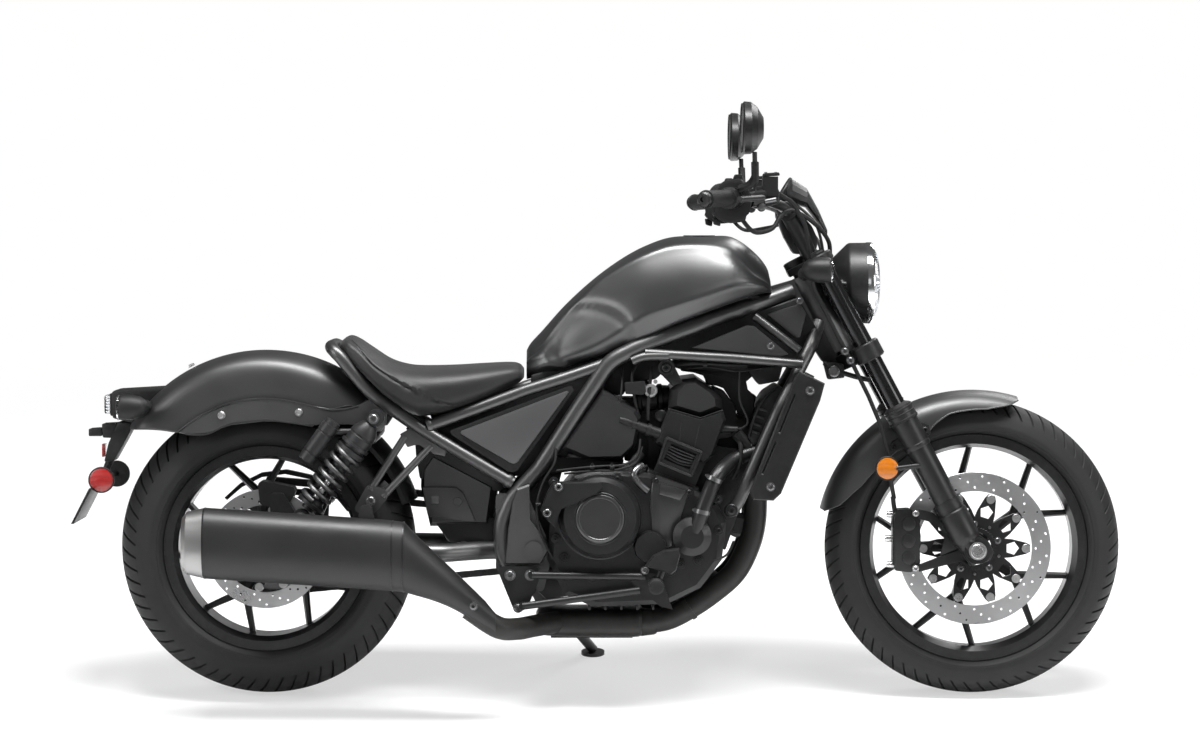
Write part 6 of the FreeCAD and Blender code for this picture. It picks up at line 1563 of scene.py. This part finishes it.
@mirrored("boltBlack", "steering", "bare_alloy")
def forkCaps(bm, side):
    top = steerPoint(fork["ahead"], side * fork["y"], fork["topClamp"] + fork["topHalf"])
    addLathe(bm, [(0, 0), (0, 20), (4, 20), (6, 18), (6, 12), (9, 12), (9, 0)], top, steerUp, 6)
    for height in (fork["lowClamp"] - 9, fork["lowClamp"] + 9, fork["topClamp"]):
        addBolt(bm, steerPoint(fork["ahead"] - 22, side * (fork["y"] - 28), height), steerAhead * -1, 5.2, 4.5,
            socket=True)
    for turn in (-1, 1):
        addBolt(bm, place(1116 + turn * 13, 1058, side * fork["riserY"]), Vector((0.3 * turn, 0, 1)), 4.6, 4.5,
            socket=True)


@mirrored("rubber", "steering", "grip_rubber")
def sliderRings(bm, side):
    centre = steerPoint(fork["ahead"], side * fork["y"], fork["sliderTop"])
    for low, high, out in ((-31, -25, 33.2), (-16, -13, 32.8), (-6, -2, 33)):
        addLathe(bm, [(low, 31), (low, out - 0.8), (low + 1, out), (high - 1, out), (high, out - 0.8), (high, 31)],
            centre, steerUp, 48)
    addLathe(bm, [(-1, 31), (2, 30), (5, 25), (7, 22.6), (8, 20.6), (0, 20.6)], centre, steerUp, 48)


# Grips with moulded ribs, bar ends, switch housings and the hand brake's body with its reservoir
gripEnds = [(place(931, 1063, side * 417), place(991, 1067, side * 290)) for side in (-1, 1)]
housingOutline = [(962, 1092), (974, 1103), (1009, 1108), (1019, 1094), (1036, 1064), (1019, 1036), (1019, 1018),
    (988, 1014), (963, 1020), (948, 1033), (957, 1049)]


@built("rubber", "steering", "grip_rubber", "grips")
def gripRubber(bm):
    profile = [(-1, 0), (-1, 14), (0, 18.4), (3, 19), (5, 17.2)]
    for i in range(17):
        profile += [(6 + i * 6, 17.2), (7 + i * 6, 17.9), (10 + i * 6, 17.9), (11 + i * 6, 17.2)]
    profile += [(112, 17.4), (114, 21.5), (117, 23), (124, 23), (126, 20), (127, 0)]
    for start, end in gripEnds:
        addLathe(bm, profile, start, end - start, 40)


@built("boltBlack", "steering", "bare_alloy", "grips")
def barEnds(bm):
    for start, end in gripEnds:
        addLathe(bm, [(0, 0), (0, 15.6), (4, 15.8), (10, 15.2), (13, 12), (13, 6.5), (9, 6), (9, 0)], start,
            start - end, 40)


@mirrored("plastic", "steering", "black_plastic")
def switchHousings(bm, side):
    addPlate(bm, housingOutline, side * 246, side * 286, 6)
    addPlate(bm, [(990, 1100), (1012, 1100), (1012, 1116), (996, 1116)], side * 252, side * 272, 3)
    addPlate(bm, [(950, 1026), (968, 1024), (966, 1008), (952, 1012)], side * 256, side * 278, 3)
    addLathe(bm, [(0, 0), (0, 8), (6, 7.4), (7, 5), (7, 0)], place(966, 1076, side * 268), Vector((-1, 0, 0.2)), 20)
    addRun(bm, [(1036, 1104, 329), (1035, 1140, 339)], 8, 6, 1, side)
    addRun(bm, [(1006, 1086, 300), (1030, 1096, 318), (1036, 1108, 330)], 8.5, 16, 4, side)


@mirrored("castBlack", "steering", "black_metal")
def brakeBody(bm, side):
    addPlate(bm, [(1042, 1092), (1084, 1094), (1092, 1080), (1088, 1056), (1062, 1046), (1044, 1056)], side * 204,
        side * 236, 5)
    addPlate(bm, [(1056, 1112), (1092, 1114), (1090, 1121), (1058, 1119)], side * 192, side * 240, 2.5)
    addRun(bm, [(1030, 1060, 248), (1060, 1062, 226), (1086, 1066, 206)], 12, 18, 4, side)


@mirrored("boltSteel", "steering", "bare_alloy")
def brakeMetal(bm, side):
    addLathe(bm, [(0, 0), (0, 9.5), (4, 9), (8, 6.4), (10, 0)], place(1053, 1048, side * 240), acrossWay * side, 28)
    addLathe(bm, [(-12, 0), (-12, 5), (12, 5), (12, 0)], place(1072, 1062, side * 238), Vector((1, 0, 0.2)), 16)
    for x in (1063, 1084):
        addBolt(bm, place(x, 1119, side * 216), Vector((0, 0, 1)), 3.2, 2.4, washer=False, socket=True)


# Cables between the bars, the cowl and the steering head
steerLines = [
    (4.7, [(1012, 1022, -262), (1030, 1001, -258), (1048, 995, -250), (1077, 1004, -225), (1096, 1030, -200),
        (1120, 1041, -170), (1155, 1026, -130), (1186, 1001, -104), (1204, 975, -84), (1208, 950, -66)]),
    (3.2, [(1128, 1060, -44), (1158, 1036, -56), (1180, 1008, -62), (1192, 965, -56), (1196, 925, -46)]),
    (3, [(1124, 1056, -30), (1150, 1024, -60), (1162, 990, -66), (1176, 950, -58), (1188, 920, -44)]),
    (4, [(1012, 1022, 262), (1040, 1000, 250), (1090, 1006, 214), (1140, 1016, 150), (1186, 985, 90),
        (1200, 945, 60)]),
    (5.5, [(1196, 716, -66), (1212, 706, -70), (1238, 694, -66), (1280, 682, -58), (1306, 678, -50)]),
]


@built("rubber", "steering", "grip_rubber")
def steerCables(bm):
    for radius, points in steerLines:
        addRun(bm, points, radius, 12)


@built("plastic", "steering", "black_plastic")
def barHarness(bm):
    addPlate(bm, [(1092, 1034), (1108, 1046), (1150, 1032), (1172, 1010), (1186, 978), (1180, 950), (1132, 948),
        (1112, 984)], -24, 24, 8)
    addPlate(bm, [(1186, 940), (1216, 930), (1232, 900), (1226, 850), (1200, 860), (1180, 920)], -50, 50, 6)


# Oval plate with a rounded rim, facing along the machine
def addOval(bm, centre, halfY, halfZ, layers, count=56):
    rings = []
    for x, share in layers:
        rings.append([bm.verts.new(centre + Vector((x, halfY * share * math.cos(t),
            halfZ * share * math.sin(t))) / 1000) for t in (math.tau * i / count for i in range(count))])
    bridgeRings(bm, rings)


@mirrored("mirrorGlass", "steering", "clear_lens")
def mirrorGlass(bm, side):
    addOval(bm, place(1008.4, 1210, side * 350), 66, 48, [(0.6, 1), (-0.6, 1), (-0.9, 0.97)])


@mirrored("rubber", "steering", "grip_rubber")
def mirrorRims(bm, side):
    addOval(bm, place(1008.5, 1210, side * 350), 70, 51, [(2, 0.99), (-0.8, 1), (-2.4, 0.985), (-2.4, 0.955),
        (0.4, 0.95)])


@built("plastic", "steering", "black_plastic")
def instrumentDial(bm):
    way = Vector((-0.86, 0, 0.51))
    addLathe(bm, [(-12, 0), (-12, 34), (-4, 40), (7, 42), (9, 41), (10, 38.6), (7.6, 37.4), (7.6, 0)],
        place(1112, 1074), way, 64)


@built("zincSteel", "steering", "bare_alloy")
def lampScrews(bm):
    for z in (929, 847):
        for side in (-1, 1):
            out = Vector((-0.18, side * 66, z - 886)).normalized()
            addLathe(bm, [(-1, 3.4), (-1, 6.8), (1.6, 6.6), (2.2, 5.6), (2.2, 3.6), (0.4, 3.4)],
                place(1260, z, side * 66), out, 24)


@built("boltSteel", "steering", "bare_alloy")
def keyLock(bm):
    sideLathe(bm, [(0, 0), (0, 12), (4, 12), (5, 10.5), (5, 7), (3.6, 6.6), (3.6, 0)], 1217, 698, -72, 32)


@built("plastic", "steering", "black_plastic")
def keyBlock(bm):
    addPlate(bm, [(1194, 718), (1238, 714), (1240, 684), (1204, 680)], -72, -36, 4)


# Diagonal tubes between the neck panels, and the dark tray behind the low panel
@mirrored("frameGloss", "root", "frame_gloss")
def neckTubes(bm, side):
    addRun(bm, [(1046, 816, 92), (1140, 744, 112)], 9.5, 20, 1, side)


@built("plastic", "root", "black_plastic")
def neckTray(bm):
    addPlate(bm, [(790, 728), (860, 758), (950, 790), (1046, 822), (1140, 856), (1180, 790), (1150, 722), (860, 724)],
        -60, 60, 4)


print("bars and steering details ready")


# Rear fender: crowned sheet with a beaded hem; "hem" is the hem's radius by angle, "half" the half width by radius
fender = {
    "centre": (-5, 397), "from": 46, "to": 148, "steps": 90, "sheet": 2.5, "crown": 345, "count": 16,
    "hem": [(46, 305), (50, 300), (57, 262), (68, 249), (79, 245), (113, 244.3), (136.4, 249.6), (141, 283),
        (145.4, 315), (148, 335)],
    "half": [(240, 106), (290, 106), (305, 103.5), (318, 98), (328, 88), (336, 72), (341, 50), (344, 25), (345, 0)],
}


def fromTable(table, key):
    for (a, first), (b, second) in zip(table, table[1:]):
        if key <= b:
            return first + (second - first) * max(0, key - a) / (b - a)
    return table[-1][1]


def fenderEdge(form, turn):
    low = fromTable(form["hem"], turn)
    x, z = around(form["centre"], turn, low)
    return x, z, fromTable(form["half"], low)


def fenderSheet(bm, form):
    rings = []
    for step in range(form["steps"] + 1):
        turn = form["from"] + (form["to"] - form["from"]) * step / form["steps"]
        low = fromTable(form["hem"], turn)
        outside, inside = [], []
        for i in range(form["count"] + 1):
            share = i / form["count"]
            out = low + (form["crown"] - low) * (1 - (1 - share) ** 2.4)
            half = fromTable(form["half"], out)
            outside.append((out, half))
            inside.append((out - form["sheet"] * share, half * (1 - form["sheet"] / form["half"][0][1])))
        section = [(out, -half) for out, half in outside] + [(out, half) for out, half in reversed(outside[:-1])]
        section += [(out, half) for out, half in inside] + [(out, -half) for out, half in reversed(inside[:-1])]
        ring = []
        for out, y in section:
            x, z = around(form["centre"], turn, out)
            ring.append(bm.verts.new(place(x, z, y)))
        rings.append(ring)
    bridgeRings(bm, rings)


def fenderHem(bm, form):
    for side in (-1, 1):
        points = []
        for step in range(69):
            x, z, half = fenderEdge(form, form["from"] + (form["to"] - form["from"]) * step / 68)
            points.append(place(x, z, side * (half - 1.2)))
        addTube(bm, points, 1.7, 10, 1)


def fenderPieces(label, form, body, replaced):
    for part, fill, angle in (("Sheet", fenderSheet, 50), ("Hem", fenderHem, 35)):
        builtPiece(label + part, lambda bm: fill(bm, form), "fenderPaint", body, [replaced], angle)


fenderPieces("rearFender", fender, "root", "rear_fender")
builtPiece("fenderBolt", lambda bm: addBolt(bm, place(-165, 706), Vector((-0.46, 0, 0.89)), 7, 5), "zincSteel", "root")


# Fender stays: long side plates with raised edges and two bolts; the edges take a lighter metal finish than the plates
# as a painted highlight
stayTop = [(-186, 569), (-139, 602), (-93, 625), (-47, 637), (0, 641), (45, 638), (92, 628), (138, 617), (170, 618),
    (202, 625)]
stayNose = [(216, 638), (236, 640), (262, 620), (262, 590), (250, 572), (225, 570), (205, 586), (184, 590)]
stayFoot = [(105, 583), (45, 592), (0, 596), (-70, 588), (-121, 566), (-167, 566)]
stayFace = uprightLimits("fender_stays")[1][1]


@built("frameGloss", "root", "frame_gloss", "fender_stays")
def stayPlates(bm):
    addPlates(bm, stayTop + stayNose + stayFoot, stayFace - 8, stayFace, 3)


# Raised edge lines in a lighter finish than the stay plates: a painted highlight along their bevels
@mirrored("boltBlack", "root", "frame_gloss")
def stayRims(bm, side):
    for line in (stayTop, stayFoot):
        addTube(bm, [place(x, z, side * (stayFace - 0.4)) for x, z in line], 2.1, 8, 6)


@mirrored("zincSteel", "root", "bare_alloy")
def stayBolts(bm, side):
    for x, z in ((-90, 606), (75, 612)):
        addLathe(bm, [(0, 0), (0, 8.5), (2, 8.5), (5, 6), (6, 0)], place(x, z, side * (stayFace - 0.6)),
            acrossWay * side, 24)


# Turn signals: pods with rubber stems and clear faces, front and rear
signalForm = {
    "pod": [(0, 0), (1, 8), (6, 16), (16, 22.5), (34, 26.5), (56, 27), (60, 26.4), (62, 24.5), (62, 0)],
    "face": [(0, 0), (0, 26), (3.4, 26.6), (4.4, 25), (4.8, 0)],
    "boot": [(0, 0), (0, 15), (8, 14), (22, 9.5), (22, 0)],
}
signals = [
    ("frontSignalPods", "signalFaces", "steering", "front_signals", forward, (1141, 916, 175), (1203, 916, 175),
        [(1150, 905, 96), (1160, 914, 160)], (1152, 907, 106)),
    ("rearSignalPods", "rearSignalFaces", "root", "rear_signals", -forward, (-241, 625, 150), (-302, 624, 150),
        [(-254, 622, 60), (-262, 624, 136)], (-256, 623, 84)),
]


def signalPair(podName, faceName, body, replaced, way, pod, face, stem, boot):
    def onSide(bm, form, point, side, direction, segments=48):
        x, z, y = point
        addLathe(bm, signalForm[form], place(x, z, side * y), direction, segments)

    def pods(bm):
        for side in (-1, 1):
            onSide(bm, "pod", pod, side, way)
            addRun(bm, stem, 8, 20, 1, side)
            onSide(bm, "boot", boot, side, acrossWay * side, 28)

    def faces(bm):
        for side in (-1, 1):
            onSide(bm, "face", face, side, way)

    builtPiece(podName, pods, "plastic", body, [replaced])
    builtPiece(faceName, faces, "clearLens", body)


for values in signals:
    signalPair(*values)


# Tail: lamp housing, clear lens over bright ribs, plate arm with its lamp, plate and small red block
tailShapes = {
    "housing": [(-334, 652), (-326, 657), (-222, 663), (-217, 652), (-262, 600), (-280, 584), (-332, 596)],
    "lens": [(-351, 645), (-334, 647), (-334, 604), (-350, 606)],
    "arm": [(-322, 588), (-286, 584), (-306, 548), (-331, 503), (-353, 501), (-344, 540), (-334, 562)],
    "lampBody": [(-358, 583), (-325, 585), (-325, 552), (-356, 553)],
    "lampNose": [(-387, 572), (-358, 574), (-358, 556), (-387, 556)],
    "block": [(-359, 539), (-353, 539), (-353, 511), (-359, 511)],
    "plate": [(-377, 448), (-371, 448), (-410, 372), (-416, 372)],
}


@built("plastic", "root", "black_plastic", "tail_lamp")
def tailHousing(bm):
    addPlate(bm, tailShapes["housing"], -46, 46, 5)
    addPlate(bm, [(-338, 649), (-330, 651), (-330, 600), (-337, 602)], -43, 43, 2)


@built("lampChrome", "root", "clear_lens", "tail_lamp")
def tailRibs(bm):
    for i in range(6):
        z = 607 + i * 6.4
        addPlate(bm, [(-338, z), (-346, z + 0.6), (-347, z + 4.6), (-338, z + 5.4)], -37, 37, 0.8)


@built("plastic", "root", "black_plastic", "plate_bracket")
def plateArm(bm):
    addPlate(bm, tailShapes["arm"], -30, 30, 4)
    addPlate(bm, tailShapes["lampBody"], -26, 26, 3)
    addPlate(bm, tailShapes["lampNose"], -22, 22, 3)
    addRun(bm, [(-340, 508, 0), (-350, 488, 0), (-356, 456, 0)], 8, 16, 4)
    addRun(bm, [(-352, 466, -50), (-350, 470, 0), (-337, 470, 50)], 5, 14, 4)
    slot = [(-380, 440), (-376, 440), (-378, 436), (-382, 436)]
    addPlate(bm, tailShapes["plate"], -90, 90, 1)
    addPlate(bm, slot, -60, 60, 0.8)


builtPiece("tailLens", lambda bm: addPlate(bm, tailShapes["lens"], -40, 40, 3), "clearLens", "root",
    ["tail_lamp"])
builtPiece("plateBlock", lambda bm: addPlate(bm, tailShapes["block"], -18, 18, 1.5), "red", "root")
reflector("rearSideReflector", place(-355, 464, -52), -acrossWay, 26.5, "red", "root")
reflector("rearFarReflector", place(-337, 470, 52), acrossWay, 27, "red", "root")
print("tail ready")


# Radiator shroud's side panels: each with two narrow slits and depth behind
shroud = {
    "outline": [(1140, 699), (1187, 676), (1178, 642), (1096, 446), (1081, 432), (1041, 434), (1035, 449),
        (1130, 691)],
    "slits": [[(1130.8, 654.9), (1125.2, 657.1), (1091.2, 573.1), (1096.8, 570.9)],
        [(1090.8, 554.8), (1085.2, 557.2), (1055.2, 486.2), (1060.8, 483.8)]],
}


@mirrored("satinBlack", "root", "black_metal", "radiator_shroud")
def shroudPanels(bm, side):
    addCutPlate(bm, [shroud["outline"]] + shroud["slits"], side * 180, 20, 2.5)
    addPlate(bm, shroud["outline"], side * 150, side * 170, 2)


# Silencer seams: dark rings where the end cap and the front cone meet the body
silencer = {
    "rings": [(-160, 290, 398, 0.74), (-150, 278, 410, 0.92), (-112, 269, 418, 1), (264, 244, 393, 1),
        (305, 241, 388, 0.98)],
    "y": -228, "half": 56, "fullness": 0.85, "seams": [(-116, -111.5, 0.7), (279, 282, 0.7), (302, 306, 0.9)],
}


@built("boltBlack", "root", "black_metal")
def silencerSeams(bm):
    def shift(angle, y, z):
        return y + silencer["y"], z

    for first, last, grow in silencer["seams"]:
        rings = []
        for x, out in ((first, -1), (first + 0.5, grow), (last - 0.5, grow), (last, -1)):
            low, high, share = [fromTable([(row[0], row[i]) for row in silencer["rings"]], x) for i in (1, 2, 3)]
            rings.append(sectionRing(bm, x, low - out + photoLift, high + out + photoLift,
                silencer["half"] * share + out, silencer["fullness"], 0.5, 96, shift))
        bridgeRings(bm, rings)


print("fender, stays, signals, shroud and silencer ready")


# Exhaust: two header tubes, the collector box under the engine and the link to the silencer
exhaust = {
    "header": [(975, 586), (1030, 566), (1050, 486), (1050, 414), (1047, 366), (1034, 318), (1006, 265), (958, 222),
        (906, 187), (858, 164), (806, 157)],
    "headerRadius": 25.5, "headerY": 46,
    "box": [(578, 139, 176, 0.7), (584, 132, 184, 0.92), (592, 128, 187, 1), (640, 124, 188, 1), (790, 124, 189, 1),
        (800, 125, 188, 0.98), (806, 129, 185, 0.9)],
    "boxHalf": 80, "boxY": -12,
    "link": [(640, 160, -50), (576, 158, -130), (540, 158, -186), (500, 166, -222), (440, 206, -228)],
}


@mirrored("pipeBlack", "root", "black_metal", "exhaust_pipes")
def exhaustHeaders(bm, side):
    addTube(bm, [place(x, z, side * exhaust["headerY"]) for x, z in exhaust["header"]], exhaust["headerRadius"], 32, 8)
    addLathe(bm, [(-30, 25), (-24, 27.5), (0, 30.5), (6, 30.5), (6, 24), (-30, 24)], place(808, 157, side * 44),
        -forward, 40)
    addLathe(bm, [(-5, 25), (-5, 28), (5, 28), (5, 25), (-5, 25)], place(906, 187, side * 46), Vector((0.81, 0, 0.58)),
        36)


@built("pipeBlack", "root", "black_metal", "exhaust_pipes")
def exhaustBox(bm):
    def shift(angle, y, z):
        return y + exhaust["boxY"], z

    rings = [sectionRing(bm, x, low + photoLift, high + photoLift, exhaust["boxHalf"] * share, 0.62, 0.5, 64, shift)
        for x, low, high, share in exhaust["box"]]
    bridgeRings(bm, rings)
    addRun(bm, exhaust["link"], 23.5, 32, 10)
    addRun(bm, [(610, 130, exhaust["boxY"] - 30), (786, 130, exhaust["boxY"] - 30)], 8, 16, 1)


# Arched guard over the chain's rear run, on the far side
@built("satinBlack", "root", "black_metal")
def chainArc(bm):
    arc = [(138, 139), (120, 142), (100, 148), (80, 155), (60, 163), (40, 171), (22, 178)]
    outline = [around(chain["rear"], turn, out + 5) for turn, out in arc]
    outline += [around(chain["rear"], turn, out - 3) for turn, out in arc[::-1]]
    addPlate(bm, outline, chain["y"] - 12, chain["y"] + 14, 1.5)


print("exhaust ready")


# Front fender: crowned sheet of the same form that tapers to a point at both ends
frontFender = {
    "centre": (1519.5, 317.5), "from": 73.4, "to": 166, "steps": 96, "sheet": 2.2, "crown": 338, "count": 16,
    "hem": [(73.4, 331), (76, 319), (79.2, 311), (85.3, 301), (94.5, 297.5), (101.1, 295), (106.4, 284.5),
        (111.6, 272), (122, 268), (138, 271), (150.7, 279), (158, 294), (162.2, 305.5), (166, 331)],
    "half": [(265, 78), (292, 77.4), (306, 74.5), (317, 68.5), (325.5, 59), (331.5, 46.5), (335.4, 31), (337.4, 15),
        (338, 0)],
}


@mirrored("satinBlack", "steering", "black_metal", "front_fender")
def frontFenderStrut(bm, side):
    addPlate(bm, [(1388, 580), (1402, 590), (1420, 584), (1424, 566), (1406, 548), (1372, 536), (1346, 524),
        (1334, 534), (1340, 548), (1364, 560)], side * 76, side * 84, 2)
    addBolt(bm, place(1411, 573, side * 84), acrossWay * side, 7, 5, socket=True)
    addBolt(bm, place(1343, 536, side * 84), acrossWay * side, 6, 5, socket=True)


fenderPieces("frontFender", frontFender, "steering", "front_fender")


# Fork sliders' lower castings with their collars, and the seal heads at the top
@mirrored("satinBlack", "steering", "black_metal")
def forkCastings(bm, side):
    centre = steerPoint(fork["ahead"], side * fork["y"], 0)
    addLathe(bm, [(22, 0), (22, 24), (30, 30), (40, 31.5), (94, 31.5), (98, 30), (99, 28.6), (102, 28.6), (103, 30),
        (118, 29.6), (124, 28.4), (126, 0)], centre, steerUp, 48)
    addLathe(bm, [(252, 0), (252, 28.6), (254, 30), (262, 30), (263, 29), (318, 29.6), (320, 0)], centre, steerUp, 48)


@built("satinBlack", "steering", "black_metal")
def forkFoot(bm):
    addPlates(bm, [(1500, 344), (1524, 352), (1546, 336), (1556, 314), (1548, 296), (1522, 288), (1498, 300)],
        fork["y"] - 17, fork["y"] + 17, 6)


# Round side reflectors on the fork, and the last run of the brake hose into the caliper
def lowestPoint(name):
    piece = frame["nodes"][name]
    return min((toUpright @ (piece.matrix_world @ v.co) for v in piece.data.vertices), key=lambda point: point.z)


@built("rubber", "steering", "grip_rubber")
def hoseEnd(bm):
    foot = lowestPoint("brake_hose")
    addTube(bm, [foot + Vector((-0.001, 0, 0.006)), foot + Vector((0.001, 0, -0.012)),
        foot + Vector((0.004, 0, -0.026)), foot + Vector((0.012, 0, -0.036))], 5, 16, 6)
    addLathe(bm, [(0, 0), (0, 8), (9, 8), (9, 0)], foot + Vector((0.012, -0.006, -0.036)), acrossWay, 24)


@mirrored("satinBlack", "steering", "black_metal", "fork_reflectors")
def reflectorStems(bm, side):
    addRun(bm, [(1345, 494, 132), (1398, 500, 122)], 5.5, 16, 1, side)


sideFace = {"x": 1327, "z": 494, "radius": 24.5}
for side in (-1, 1):
    label = "rightFork" if side < 0 else "leftFork"
    reflector(label + "Reflector", place(sideFace["x"], sideFace["z"], side * 128), acrossWay * side,
        sideFace["radius"], "amber", "steering")
print("front fender, fork castings and reflectors ready")
